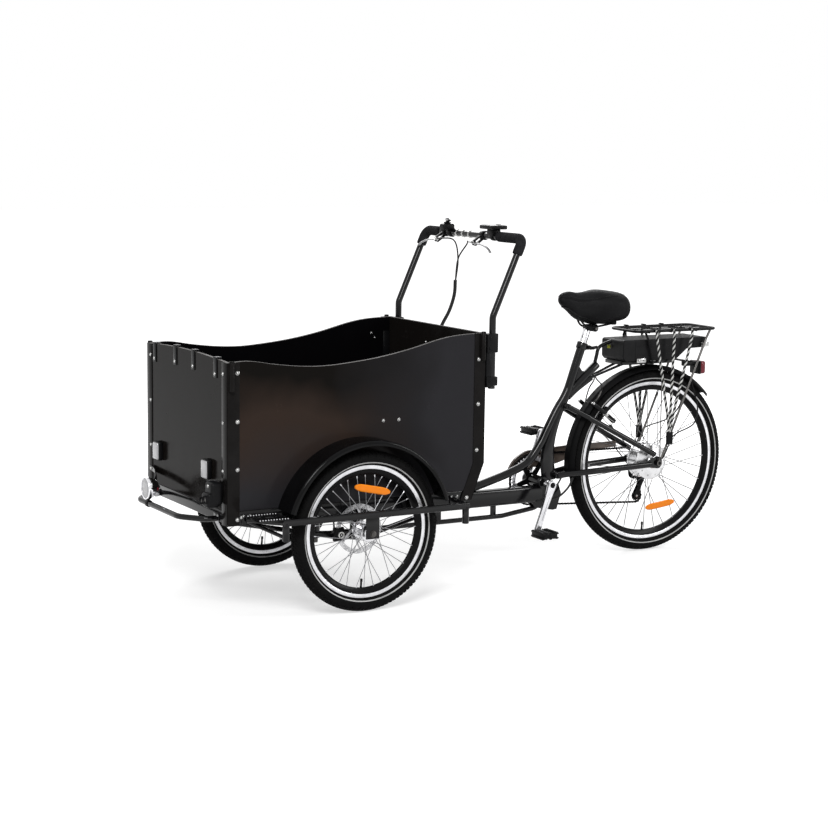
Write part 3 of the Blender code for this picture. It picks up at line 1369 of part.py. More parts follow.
def link_outline(start, end, start_r, end_r, steps=5):
    """The outline of an arm that tapers from one boss to another, in the XZ plane."""
    along = math.atan2(end.z - start.z, end.x - start.x)
    outline = []
    for centre, radius, first in ((end, end_r, along - math.pi / 2), (start, start_r, along + math.pi / 2)):
        for k in range(steps + 1):
            angle = first + math.pi * k / steps
            outline.append((centre.x + radius * math.cos(angle), centre.z + radius * math.sin(angle)))
    return outline


def crank_end(side):
    """The pedal's axis: the left crank points down and a little forward, the right one opposite."""
    direction = Vector((-math.sin(CRANK_LEAN), 0, -math.cos(CRANK_LEAN)))
    return BB + direction * (CRANK if side < 0 else -CRANK)


def crankset(frame, looks):
    turning = Carrier("crank_spin", BB, frame)
    shapes = [rod(BB + Vector((0, -CRANK_Y - 0.004, 0)), BB + Vector((0, CRANK_Y + 0.004, 0)), 0.0085, 12)]
    for side in (-1, 1):
        end = crank_end(side)
        shapes.append(prism(link_outline(BB, end, 0.0165, 0.0125), span(side, CRANK_Y, CRANK_Y + CRANK_T)))
        tip = Vector((0, side * (CRANK_Y + CRANK_T * 0.5), 0))
        shapes.append(rod(end + tip, end + Vector((0, side * (CRANK_Y + CRANK_T + 0.003 + PEDAL_W * 0.93), 0)), SPINDLE_R, 10))
        shapes.append(rod(BB + Vector((0, side * 0.050, 0)), BB + Vector((0, side * (CRANK_Y + 0.002), 0)), 0.0150, 12))
    flat = (CHAIN_Y - 0.0014, CHAIN_Y + 0.0014)
    ring = prism(gear_outline(BB, RING_R, RING_TEETH, 0.0055), flat)
    shapes.append(ring)
    shapes.append(rod(BB + Vector((0, CHAIN_Y - 0.002, 0)), BB + Vector((0, CRANK_Y, 0)), 0.020, 12))
    windows = []
    for k in range(5):
        middle = 2 * math.pi * k / 5 + 0.3
        window = []
        for radius, angles in ((0.068, (-0.42, -0.2, 0.0, 0.2, 0.42)), (0.033, (0.28, -0.28))):
            for angle in angles:
                window.append((BB.x + radius * math.cos(middle + angle), BB.z + radius * math.sin(middle + angle)))
        windows.append(prism(window, (flat[0] - 0.004, flat[1] + 0.004)))
    piece("crankset", shapes, looks["alloy"], turning, windows)
    for tag, side in (("left", -1), ("right", 1)):
        end = crank_end(side)
        pedal_turn = Carrier(f"pedal_{tag}_spin", end, turning)
        inner = CRANK_Y + CRANK_T + 0.003
        body = prism(
            [
                (end.x - PEDAL_L / 2, end.z - PEDAL_T * 0.32),
                (end.x - PEDAL_L * 0.30, end.z - PEDAL_T / 2),
                (end.x + PEDAL_L * 0.30, end.z - PEDAL_T / 2),
                (end.x + PEDAL_L / 2, end.z - PEDAL_T * 0.32),
                (end.x + PEDAL_L / 2, end.z + PEDAL_T * 0.32),
                (end.x + PEDAL_L * 0.30, end.z + PEDAL_T / 2),
                (end.x - PEDAL_L * 0.30, end.z + PEDAL_T / 2),
                (end.x - PEDAL_L / 2, end.z + PEDAL_T * 0.32),
            ],
            span(side, inner, inner + PEDAL_W),
        )
        cuts = [rod(end + Vector((0, side * (inner - 0.005), 0)), end + Vector((0, side * (inner + PEDAL_W * 0.95), 0)), SPINDLE_R + RUN, 10)]
        for place in (-0.030, 0.030):
            for across in (0.018, 0.052):
                cuts.append(
                    box((end.x + place - 0.011, end.x + place + 0.011), span(side, inner + across, inner + across + 0.024), (end.z - 0.03, end.z + 0.03))
                )
        piece(f"pedal_{tag}", [body], looks["rubber"], pedal_turn, cuts)


def derailleur(frame, looks):
    """The gear mechanism: a body on the dropout, an arm and a cage with two pulleys."""
    y = CHAIN_Y
    out = y + CHAIN_W / 2 + 0.0025
    inn = y - CHAIN_W / 2 - 0.0025
    shapes = []
    for low, high in ((out, out + 0.0022), (inn - 0.0022, inn)):
        shapes.append(prism(link_outline(GUIDE, TENSION, 0.010, 0.012), (low, high)))
    for centre in (GUIDE, TENSION):
        shapes.append(rod(Vector((centre.x, y - 0.0022, centre.z)), Vector((centre.x, y + 0.0022, centre.z)), PULLEY_R, 12))
        shapes.append(rod(Vector((centre.x, inn - 0.001, centre.z)), Vector((centre.x, out + 0.001, centre.z)), 0.004, 8))
    hanger = Vector((WHEELBASE - 0.006, DROPOUT_Y + 0.004, REAR_Z - 0.034))
    shapes.append(prism(link_outline(Vector((WHEELBASE - 0.004, 0, REAR_Z - 0.0285)), hanger, 0.007, 0.010), (DROPOUT_Y, DROPOUT_Y + 0.006)))
    shapes.append(rod(hanger + Vector((0, -0.002, 0)), hanger + Vector((0, 0.022, 0)), 0.010, 12))
    shapes.append(sweep([hanger + Vector((0, 0.012, 0)), Vector((GUIDE.x - 0.030, out + 0.018, GUIDE.z - 0.008)), Vector((GUIDE.x, out + 0.004, GUIDE.z))], [(-0.006, -0.009), (0.006, -0.009), (0.006, 0.009), (-0.006, 0.009)], (0, 1, 0)))
    shapes.append(rod(Vector((GUIDE.x, out, GUIDE.z)), Vector((GUIDE.x, out + 0.014, GUIDE.z)), 0.009, 12))
    piece("derailleur", shapes, looks["steel"], frame)


def chain_guard(frame, looks, seat_route):
    """A flat guard outside the chain's upper run, rounded over the chainring."""
    reach = RING_R + 0.020
    front = []
    for k in range(8):
        angle = math.radians(168 - 80 * k / 7)
        front.append((BB.x + reach * math.cos(angle), BB.z + reach * math.sin(angle)))
    rest = ((0.161, 0.397), (0.363, 0.398), (0.369, 0.376), (0.257, 0.371), (0.121, 0.336), (0.051, 0.322), (0.011, 0.327), (-0.049, 0.318))
    outline = front + [(BB.x + ahead, height) for ahead, height in rest]
    low = CHAIN_Y + CHAIN_W / 2 + 0.004
    plate = prism(outline, (low, low + 0.002))
    tab = rod(Vector((BB.x + 0.075, 0.030, 0.350)), Vector((BB.x + 0.075, low + 0.001, 0.350)), 0.004, 8)
    arm = rod(Vector((BB.x + 0.075, 0.032, 0.350)), Vector((BB.x + 0.043, 0.004, 0.350)), 0.004, 8)
    seat_cut = tube(seat_route, SEAT_TUBE_R + GAP, 12)
    piece("chain_guard", [plate, tab, arm], looks["smoke"], frame, [seat_cut])


# Saddle, seat post and rim brake


def saddle_section(x):
    """Half width, top, side and foot height of the saddle at a place along it."""
    t = (x - SADDLE_NOSE) / (SADDLE_REAR - SADDLE_NOSE)
    nose, tail = 0.024, SADDLE_HALF
    grow = 1 / (1 + math.exp(-(t - 0.52) * 11))
    half = nose + (tail - nose) * grow
    end = min(1.0, math.sqrt(max(0.0, 1 - ((t - 0.86) / 0.145) ** 2))) if t > 0.86 else 1.0
    start = min(1.0, math.sqrt(max(0.0, 1 - ((0.10 - t) / 0.11) ** 2))) if t < 0.10 else 1.0
    half *= max(0.12, end) * max(0.35, start)
    crown = math.exp(-(((t - 0.56) / 0.30) ** 2))
    peak = 0.006 * math.exp(-(((t - 0.16) / 0.12) ** 2))
    top = SADDLE_TOP - 0.011 + 0.011 * crown + peak - 0.014 * (1 - start) - 0.030 * (1 - end)
    deep = 1 / (1 + math.exp(-(t - 0.21) * 14))
    sag = 0.006 * math.exp(-(((t - 0.55) / 0.25) ** 2))
    foot = SADDLE_TOP - 0.044 - 0.060 * deep - sag + 0.022 * (1 - start) + 0.034 * (1 - end)
    return half, top, foot


def saddle_rings(spare=0.0):
    """Rounded cross-sections from nose to tail, a little larger all round where it is a cutter."""
    rings = []
    steps, around = 12, 14
    for k in range(steps + 1):
        x = SADDLE_NOSE + (SADDLE_REAR - SADDLE_NOSE) * (0.5 - 0.5 * math.cos(math.pi * k / steps))
        half, top, foot = saddle_section(x)
        middle = (top + foot) / 2
        rise = (top - foot) / 2 + spare
        ring = []
        for j in range(around):
            angle = 2 * math.pi * j / around
            c, s = math.cos(angle), math.sin(angle)
            wide = math.copysign(abs(c) ** 0.75, c)
            tall = math.copysign(abs(s) ** 0.85, s)
            ring.append(Vector((x, (half + spare) * wide, middle + rise * tall)))
        rings.append(ring)
    return rings


def saddle(frame, looks):
    post = Carrier("seat_post_slide", SEAT_TOP, frame)
    piece("saddle", [skin(saddle_rings())], looks["vinyl"], post)

    head = seat_line(0.824)
    shapes = [rod(seat_line(0.626), head, POST_TUBE_R, 12)]
    shapes.append(eased(box((head.x - 0.014, head.x + 0.034), (-0.016, 0.016), (head.z - 0.016, head.z + 0.008)), 0.004))
    rail_z = head.z - 0.001
    front_x = SADDLE_NOSE + 0.072
    for side in (-1, 1):
        rail = smooth(
            [
                (front_x, side * 0.008, rail_z + 0.062),
                (front_x + 0.010, side * 0.008, rail_z + 0.036),
                (head.x - 0.040, side * 0.014, rail_z + 0.003),
                (head.x, side * 0.020, rail_z),
                (head.x + 0.040, side * 0.026, rail_z - 0.002),
                (head.x + 0.076, side * 0.044, rail_z - 0.002),
            ],
            2,
        )
        shapes.append(tube(rail, 0.0036, 5))
        spring = Vector((head.x + 0.076, side * 0.044, rail_z - 0.006))
        shapes.append(rod(spring, spring + Vector((0, 0, 0.040)), 0.013, 8))
    shapes.append(rod((head.x + 0.076, -0.044, rail_z - 0.001), (head.x + 0.076, 0.044, rail_z - 0.001), 0.0040, 6))
    piece("seat_post", shapes, looks["alloy"], post, [skin(saddle_rings(GAP))])

    bolt = Vector((SEAT_TOP.x + 0.023, 0, SEAT_TOP.z - 0.014))
    pin = rod(bolt + Vector((0, -0.0075, 0)), bolt + Vector((0, 0.0125, 0)), 0.0026, 8)
    nut = rod(bolt + Vector((0, 0.0084, 0)), bolt + Vector((0, 0.0135, 0)), 0.0060, 6)
    piece("seat_clamp_bolt", [pin, nut], looks["steel"], frame)

    hinge = bolt + Vector((0, -0.0150, 0))
    quick = Carrier("seat_clamp_lever_turn", hinge, frame)
    cam = rod(hinge - SEAT_LEAN * 0.0065, hinge + SEAT_LEAN * 0.0065, 0.0064, 12)
    handle = sweep(
        smooth([hinge, hinge + Vector((0.018, -0.0020, -0.001)), hinge + Vector((0.048, 0.0, 0.003))], 2),
        [(-0.0018, -0.0055), (0.0018, -0.0055), (0.0018, 0.0055), (-0.0018, 0.0055)],
    )
    piece("seat_clamp_lever", [cam, handle], looks["alloy"], quick)


def brake_boss(side):
    """The fixed stud, on the seat stay, that a brake arm turns about."""
    axle = Vector((WHEELBASE, 0, REAR_Z))
    return axle + BRAKE_OUT * BRAKE_BOSS_R + Vector((0, side * BRAKE_BOSS_Y, 0))


def rim_brake(frame, looks):
    """A V-brake: two arms that stand on the seat stays and close their pads on the rim."""
    axle = Vector((WHEELBASE, 0, REAR_Z))
    for tag, side in (("left", -1), ("right", 1)):
        boss = brake_boss(side)
        arm_turn = Carrier(f"brake_arm_{tag}_turn", boss, frame)
        lift = BRAKE_ACROSS * 0.016
        foot = boss + lift
        track = axle + BRAKE_OUT * (REAR_RIM_R - 0.006) + lift
        top = axle + BRAKE_OUT * (BRAKE_BOSS_R + 0.110) + Vector((0, side * 0.0415, 0)) + lift
        middle = (foot + top) / 2 + Vector((0, side * 0.003, 0))
        section = [(-0.0040, -0.007), (0.0040, -0.007), (0.0040, 0.007), (-0.0040, 0.007)]
        arm = sweep(smooth([foot, middle, top], 3), section, tuple(BRAKE_ACROSS))
        pad_y = side * (RIM_W / 2 + 0.0022 + 0.0045)
        pad_at = Vector((track.x, pad_y, track.z))
        holder = rod(pad_at, Vector((track.x, side * (BRAKE_BOSS_Y + 0.008), track.z)), 0.0035, 8)
        block = [(-0.005, -0.0045), (0.005, -0.0045), (0.005, 0.0045), (-0.005, 0.0045)]
        pad = sweep([pad_at - BRAKE_ACROSS * 0.030, pad_at + BRAKE_ACROSS * 0.030], block, (0, 1, 0))
        bush = rod(boss + BRAKE_ACROSS * 0.0105, boss + BRAKE_ACROSS * 0.0225, 0.0085, 12)
        bore = rod(boss, boss + BRAKE_ACROSS * 0.030, STUD_R + RUN, 10)
        piece(f"brake_arm_{tag}", [arm, holder, pad, bush], looks["alloy"], arm_turn, [bore])


def looks_by_name():
    return {
        "frame": finish("frame_black", (0.012, 0.012, 0.014), 0.32),
        "gloss": finish("panel_black", (0.010, 0.010, 0.011), 0.15),
        "rubber": finish("rubber_black", (0.020, 0.020, 0.021), 0.75),
        "foam": finish("grip_foam", (0.022, 0.022, 0.023), 0.85),
        "vinyl": finish("saddle_vinyl", (0.018, 0.018, 0.019), 0.55),
        "plastic": finish("moulded_black", (0.016, 0.016, 0.017), 0.45),
        "smoke": finish("smoked_plastic", (0.055, 0.040, 0.030), 0.25),
        "webbing": finish("elastic_cord", (0.060, 0.060, 0.062), 0.80),
        "alloy": finish("silver_alloy", (0.62, 0.62, 0.64), 0.28, 1.0),
        "steel": finish("steel", (0.22, 0.22, 0.23), 0.35, 1.0),
        "chrome": finish("chrome", (0.80, 0.80, 0.82), 0.10, 1.0),
        "red": finish("lamp_red", (0.45, 0.010, 0.018), 0.20),
    }


def main():
    clear_scene()
    looks = looks_by_name()
    origin = Carrier("cargo_tricycle", (0, 0, 0))
    origin.empty.location = Vector((FRONT_AXLE_X, 0, 0))
    frame = Carrier("rear_frame", (0, 0, 0), origin)
    steered = Carrier("steering", (0, 0, 0), origin)

    seat_route = rear_frame(frame, looks)
    rear_stays(frame, looks, seat_route)
    rack(frame, looks)
    battery(frame, looks)
    rear_fender(frame, looks)
    straps(frame, looks)
    rear_wheel(frame, looks)
    crankset(frame, looks)
    chain(frame, looks)
    derailleur(frame, looks)
    chain_guard(frame, looks, seat_route)
    saddle(frame, looks)
    rim_brake(frame, looks)

    front_chassis(steered, looks)
    cargo_box(steered, looks)
    corner_strips(steered, looks)
    bumper(steered, looks)
    lamps(steered, looks)
    handlebar(steered, looks)
    grips(steered, looks)
    levers(steered, looks)
    controls(steered, looks)
    cable_loom(steered, looks)
    for tag, side in (("left", -1), ("right", 1)):
        outrigger(tag, side, steered, looks)
        front_fender(tag, side, steered, looks)
        front_wheel(tag, side, steered, looks)
        caliper(tag, side, steered, looks)


main()
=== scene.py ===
"""The dressed cargo tricycle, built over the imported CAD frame.

Metres, +Z up, the front towards -X and the rider's left towards -Y. As in the part's source,
places along X are written from the front axle and moved by SHIFT, once, when a piece is made.
Tables of points inside mm() are in millimetres.
"""

import itertools
import math

import bmesh
import bpy
from mathutils import Matrix, Vector
from mathutils.bvhtree import BVHTree


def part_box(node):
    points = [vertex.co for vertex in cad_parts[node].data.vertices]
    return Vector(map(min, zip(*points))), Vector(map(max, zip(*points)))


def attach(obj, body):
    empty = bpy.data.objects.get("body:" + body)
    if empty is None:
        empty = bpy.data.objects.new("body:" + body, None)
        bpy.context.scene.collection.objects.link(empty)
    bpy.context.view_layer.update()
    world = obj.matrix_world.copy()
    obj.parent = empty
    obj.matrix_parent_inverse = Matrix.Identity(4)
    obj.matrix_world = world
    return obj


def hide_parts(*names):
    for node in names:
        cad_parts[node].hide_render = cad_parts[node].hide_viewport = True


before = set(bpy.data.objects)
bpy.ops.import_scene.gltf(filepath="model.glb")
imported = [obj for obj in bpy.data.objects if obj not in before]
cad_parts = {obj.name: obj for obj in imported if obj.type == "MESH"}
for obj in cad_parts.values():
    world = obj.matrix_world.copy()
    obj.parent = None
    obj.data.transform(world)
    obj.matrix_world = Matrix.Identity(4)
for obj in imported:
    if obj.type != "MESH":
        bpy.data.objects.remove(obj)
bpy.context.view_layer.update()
for startup in ("Cube", "Light", "Camera"):
    if startup in bpy.data.objects:
        bpy.data.objects.remove(bpy.data.objects[startup], do_unlink=True)

# Sizes repeated from the part's source
TYRE_LOW, TYRE_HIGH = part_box("tyre_left")
SHIFT = Vector(((TYRE_LOW.x + TYRE_HIGH.x) / 2, 0, 0))
FRONT_R, REAR_R = 0.2555 * math.cos(math.pi / 40), 0.330 * math.cos(math.pi / 40)
FRONT_RIM, REAR_RIM, RIM_DEPTH = 0.2095, 0.286, 0.030
WHEEL_Y, WHEELBASE = 0.362, 1.351
BOX_HALF, BOX_FRONT, BOX_REAR, PANEL, BOX_FOOT = 0.314, -0.448, 0.461, 0.012, 0.3438
BOX_FRONT_TOP, BOX_REAR_TOP, CHAMFER_TOP, CHAMFER_IN = 0.799, 0.855, 0.431, 0.036
STRIP_W, STRIP_T, STRIP_FOOT, SLEEVE_R, SLEEVE_L = 0.040, 0.0018, 0.299, 0.008, 0.088
GAP = 0.0003
FLOOR_REAR, INNER_HALF = BOX_REAR - CHAMFER_IN - PANEL * 1.09, BOX_HALF - PANEL - GAP
FRONT_AXLE = Vector((0, 0, FRONT_R))
REAR_AXLE = Vector((WHEELBASE, 0, REAR_R))
BB = Vector((0.889, 0, 0.285))
SEAT_TOP = Vector((1.060, 0, 0.764))
SEAT_LEAN = Vector((0.36, 0, 1.0)).normalized()
BAR_TOP = Vector((0.600, 0, 1.154))
BAR_BEND = Vector((0.490, 0, 0.905))
BAR_R, BAR_Y, BAR_CORNER, GRIP_R = 0.011, 0.310, 0.036, 0.0170
LEVER_LEFT_Y, LEVER_RIGHT_Y, SHIFTER_Y, DISPLAY_Y = -0.070, 0.178, 0.140, -0.135
RACK_FRONT, RACK_REAR, RACK_HALF, RACK_Z, RACK_ROD = 1.236, 1.590, 0.085, 0.806, 0.005
BATTERY_FRONT, BATTERY_REAR, BATTERY_HALF, BATTERY_TOP, BATTERY_FOOT = 1.190, 1.560, 0.067, 0.776, 0.700
DROPOUT_Y, CHAIN_Y = 0.0675, 0.0472
SIDES = (("left", -1), ("right", 1))
CHAIN_PITCH, CRANK, ROTOR_IN, GUARD_R, GUARD_HALF = 0.0127, 0.170, 0.040, 0.347, 0.029
GUIDE = Vector((WHEELBASE + 0.021, 0, 0.262))
TENSION = Vector((WHEELBASE - 0.006, 0, 0.189))
BRAKE_OUT = Vector((-0.79, 0, 0.61)).normalized()
BRAKE_ACROSS = Vector((BRAKE_OUT.z, 0, -BRAKE_OUT.x))
BRAKE_BOSS = 0.240
BRAKE_Y = 0.043
STRAP_PLACES = (1.313, 1.390, 1.470)
SADDLE_NOSE, SADDLE_REAR = SEAT_TOP.x - 0.108, SEAT_TOP.x + 0.162
SPINE_FRONT, SPINE_REAR = SEAT_TOP.x - 0.076, SEAT_TOP.x + 0.092


# Camera, matched to the photograph

def aim_camera():
    yaw, pitch, roll = math.radians(29.90), math.radians(8.14), math.radians(0.76)
    ahead = Vector((math.sin(yaw) * math.cos(pitch), math.cos(yaw) * math.cos(pitch), -math.sin(pitch)))
    right = Vector((math.cos(yaw), -math.sin(yaw), 0))
    above = right.cross(ahead)
    side = right * math.cos(roll) + above * math.sin(roll)
    rise = above * math.cos(roll) - right * math.sin(roll)
    data = bpy.data.cameras.new("camera")
    data.lens, data.sensor_width = 84.31, 36
    camera = bpy.data.objects.new("camera", data)
    place = Vector((-2.8378, -5.5957, 1.4777)) + SHIFT
    camera.matrix_world = Matrix(
        [[side[k], rise[k], -ahead[k], place[k]] for k in range(3)] + [[0, 0, 0, 1]]
    )
    bpy.context.scene.collection.objects.link(camera)
    bpy.context.scene.camera = camera


aim_camera()


# Shapes

def mm(*points):
    """Points written in millimetres."""
    return [tuple(value / 1000 for value in point) for point in points]


def about(middle, half):
    return (middle - half, middle + half)


def spin(angle, reach=1.0, y=0.0):
    """A point at an angle and a reach in a wheel's plane, y along its axle."""
    return Vector((math.cos(angle) * reach, y, math.sin(angle) * reach))


def flat_bar(half_thick, half_wide):
    """A flat bar's section."""
    return [
        (-half_thick, -half_wide), (half_thick, -half_wide), (half_thick, half_wide),
        (-half_thick, half_wide),
    ]


def skin(rings, closed=False, caps=True):
    """A surface through rings of points."""
    shape = bmesh.new()
    rows = [[shape.verts.new(point) for point in ring] for ring in rings]
    count = len(rows[0])
    pairs = list(zip(rows, rows[1:]))
    if closed:
        pairs.append((rows[-1], rows[0]))
    for first, second in pairs:
        for k in range(count):
            after = (k + 1) % count
            shape.faces.new((first[k], first[after], second[after], second[k]))
    if caps and not closed:
        shape.faces.new(rows[0])
        shape.faces.new(rows[-1])
    bmesh.ops.recalc_face_normals(shape, faces=shape.faces[:])
    return shape


def block(x, y, z, round_by=0.0, segments=2):
    """A block from (low, high) pairs, with its edges rounded."""
    shape = bmesh.new()
    bmesh.ops.create_cube(shape, size=1)
    size = [abs(pair[1] - pair[0]) for pair in (x, y, z)]
    middle = Vector([(pair[1] + pair[0]) / 2 for pair in (x, y, z)])
    bmesh.ops.scale(shape, vec=size, verts=shape.verts)
    bmesh.ops.translate(shape, vec=middle, verts=shape.verts)
    if round_by:
        bmesh.ops.bevel(
            shape, geom=shape.edges[:], offset=round_by, segments=segments, affect="EDGES", profile=0.5
        )
    bmesh.ops.recalc_face_normals(shape, faces=shape.faces[:])
    return shape


def bent(points, radius, steps=10):
    """The route through the points with each corner rounded."""
    points = [Vector(point) for point in points]
    route = [points[0]]
    for before, corner, after in zip(points, points[1:], points[2:]):
        inward = (before - corner).normalized()
        outward = (after - corner).normalized()
        half = inward.angle(outward) / 2
        reach = min(
            radius / math.tan(half), (before - corner).length * 0.49, (after - corner).length * 0.49
        )
        turn_radius = reach * math.tan(half)
        centre = corner + (inward + outward).normalized() * (turn_radius / math.sin(half))
        first = corner + inward * reach - centre
        last = corner + outward * reach - centre
        normal = first.cross(last).normalized()
        for k in range(steps + 1):
            route.append(centre + Matrix.Rotation(first.angle(last) * k / steps, 3, normal) @ first)
    route.append(points[-1])
    return route


def smooth(points, steps=8):
    """A Catmull-Rom curve through the points."""
    points = [Vector(point) for point in points]
    ends = [2 * points[0] - points[1], *points, 2 * points[-1] - points[-2]]
    route = []
    for a, b, c, d in zip(ends, ends[1:], ends[2:], ends[3:]):
        for k in range(steps):
            t = k / steps
            route.append(
                0.5
                * (
                    2 * b
                    + (c - a) * t
                    + (2 * a - 5 * b + 4 * c - d) * t**2
                    + (3 * b - a - 3 * c + d) * t**3
                )
            )
    route.append(points[-1])
    return route


def length_of(route):
    return sum((b - a).length for a, b in zip(route, route[1:]))


def sweep(route, section, up=(0, 1, 0), closed=False, scale=None, uv=False):
    """A section of (across, up) points carried along the route; uv runs in metres along it."""
    route = [Vector(point) for point in route]
    count = len(route)
    rings = []
    rise = Vector(up)
    for k in range(count):
        ahead = route[(k + 1) % count] if closed or k + 1 < count else route[k]
        behind = route[k - 1] if closed or k > 0 else route[k]
        axis = (ahead - behind).normalized()
        if abs(axis.dot(rise)) > 0.96:
            rise = Vector((1, 0, 0)) if abs(axis.x) < 0.7 else Vector((0, 0, 1))
        side = axis.cross(rise).normalized()
        rise = side.cross(axis).normalized()
        factor = scale(k / (count - 1)) if scale else 1.0
        rings.append([route[k] + (side * a + rise * b) * factor for a, b in section])
    if not uv:
        return skin(rings, closed)
    shape = bmesh.new()
    layer = shape.loops.layers.uv.new("along")
    rows = [[shape.verts.new(point) for point in ring] for ring in rings]
    sides, run = len(section), 0.0
    for k in range(count - 1):
        step = (route[k + 1] - route[k]).length
        for j in range(sides):
            after = (j + 1) % sides
            face = shape.faces.new((rows[k][j], rows[k][after], rows[k + 1][after], rows[k + 1][j]))
            for loop, place in zip(
                face.loops, ((j, 0.0), (j + 1, 0.0), (j + 1, step), (j, step))
            ):
                loop[layer].uv = (place[0] / sides, run + place[1])
        run += step
    shape.faces.new(rows[0])
    shape.faces.new(rows[-1])
    bmesh.ops.recalc_face_normals(shape, faces=shape.faces[:])
    return shape


def circle(radius, sides=20, flat=1.0):
    angles = [2 * math.pi * k / sides for k in range(sides)]
    return [(radius * math.cos(angle), radius * flat * math.sin(angle)) for angle in angles]


def frame_of(axis):
    """Two directions square to an axis: a side, and the upward one it is taken from."""
    up = Vector((0, 0, 1)) if abs(axis.z) < 0.9 else Vector((1, 0, 0))
    return up.cross(axis).normalized(), up


def pipe(route, radius, sides=20, **more):
    return sweep(route, circle(radius, sides), **more)


def rod(start, end, radius, sides=24, end_radius=None, ease=0.0):
    """A straight round bar or cone; ease rounds its two rims."""
    start, end = Vector(start), Vector(end)
    length = (end - start).length
    axis = (end - start).normalized()
    last = radius if end_radius is None else end_radius
    stations = [(0.0, radius), (1.0, last)]
    if ease:
        edge, slight = ease / length, ease * 0.3
        stations = [(0, radius - ease), (edge * 0.3, radius - slight), (edge, radius)]
        stations += [(1 - edge, last), (1 - edge * 0.3, last - slight), (1, last - ease)]
    side = -frame_of(axis)[0]
    rise = side.cross(axis).normalized()
    turns = [2 * math.pi * (k + 0.5) / sides for k in range(sides)]
    rings = []
    for place, size in stations:
        centre = start + axis * (length * place)
        rings.append([centre + side * (size * math.cos(a)) + rise * (size * math.sin(a)) for a in turns])
    return skin(rings)


def pin(at, near, far, radius, sides=24, end_radius=None, ease=0.0):
    """A rod along Y, from near to far past a point."""
    at = Vector(at)
    return rod(at + Vector((0, near, 0)), at + Vector((0, far, 0)), radius, sides, end_radius, ease)


def turned(profile, centre, axis=(0, 1, 0), steps=48, start=0.0, extent=2 * math.pi):
    """A closed profile of (radius, along) points revolved about an axis through the centre."""
    centre, axis = Vector(centre), Vector(axis).normalized()
    side, up = frame_of(axis)
    whole = extent > 6.28
    rings = []
    for k in range(steps if whole else steps + 1):
        angle = start + extent * k / steps
        out = side * math.cos(angle) + up * math.sin(angle)
        rings.append([centre + out * radius + axis * along for radius, along in profile])
    return skin(rings, closed=whole)


def domed(profile, centre, axis, steps=20):
    """A closed end: the profile of (radius, along) points runs from the rim to the axis."""
    centre, axis = Vector(centre), Vector(axis).normalized()
    side = frame_of(axis)[0]
    rise = axis.cross(side)
    turns = [2 * math.pi * k / steps for k in range(steps)]
    outs = [side * math.cos(angle) + rise * math.sin(angle) for angle in turns]
    return skin(
        [[centre + axis * along + out * max(radius, 1e-5) for out in outs] for radius, along in profile]
    )


def prism(outline, y):
    """An outline of (x, z) points given a thickness along Y."""
    return skin([[Vector((px, side, pz)) for px, pz in outline] for side in y])


def span(side, near, far):
    return tuple(sorted((side * near, side * far)))


def absorb(whole, shape):
    """Moves a shape's faces into another."""
    carried = bpy.data.meshes.new("carried")
    shape.to_mesh(carried)
    shape.free()
    whole.from_mesh(carried)
    bpy.data.meshes.remove(carried)


def joined(shapes):
    """Several shapes as one."""
    whole = bmesh.new()
    for shape in shapes:
        absorb(whole, shape)
    return whole


def made(name, parts, body, instead=(), smooth_angle=42, bevel=0.0, segments=2):
    """One piece from (shape, material) pairs, riding on a body and standing for CAD nodes."""
    whole, looks = bmesh.new(), []
    for shape, look in parts:
        if isinstance(shape, list):
            shape = joined(shape)
        if look not in looks:
            looks.append(look)
        for face in shape.faces:
            face.material_index = looks.index(look)
        absorb(whole, shape)
    bmesh.ops.translate(whole, vec=SHIFT, verts=whole.verts)
    mesh = bpy.data.meshes.new(name)
    whole.to_mesh(mesh)
    whole.free()
    for look in looks:
        mesh.materials.append(look)
    mesh.shade_smooth()
    mesh.set_sharp_from_angle(angle=math.radians(smooth_angle))
    piece = bpy.data.objects.new(name, mesh)
    bpy.context.scene.collection.objects.link(piece)
    if bevel:
        edge = piece.modifiers.new("edges", "BEVEL")
        edge.width, edge.segments, edge.limit_method = bevel, segments, "ANGLE"
        edge.angle_limit, edge.harden_normals = math.radians(38), True
    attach(piece, body)
    if instead:
        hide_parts(*([instead] if isinstance(instead, str) else instead))
    return piece


# Materials

class Nodes:
    """A node tree and short ways to add to it."""

    def __init__(self, tree):
        self.tree = tree

    def feed(self, socket, value):
        if hasattr(value, "is_output"):
            self.tree.links.new(value, socket)
        else:
            socket.default_value = value

    def node(self, kind, settings=None, **inputs):
        added = self.tree.nodes.new("ShaderNode" + kind)
        for key, value in (settings or {}).items():
            setattr(added, key, value)
        for key, value in inputs.items():
            self.feed(added.inputs[key.replace("_", " ")], value)
        return added

    def filled(self, kind, values, **settings):
        """A node whose inputs are filled in order; None leaves one as it is."""
        added = self.node(kind, settings)
        for socket, value in zip(added.inputs, values):
            if value is not None:
                self.feed(socket, value)
        return added

    def maths(self, operation, a, b=0.0):
        return self.filled("Math", (a, b), operation=operation).outputs[0]

    def fit(self, value, low, high, to_low, to_high):
        return self.filled("MapRange", (value, low, high, to_low, to_high), clamp=True).outputs["Result"]

    def place(self, kind="Object"):
        return self.node("TexCoord").outputs[kind]


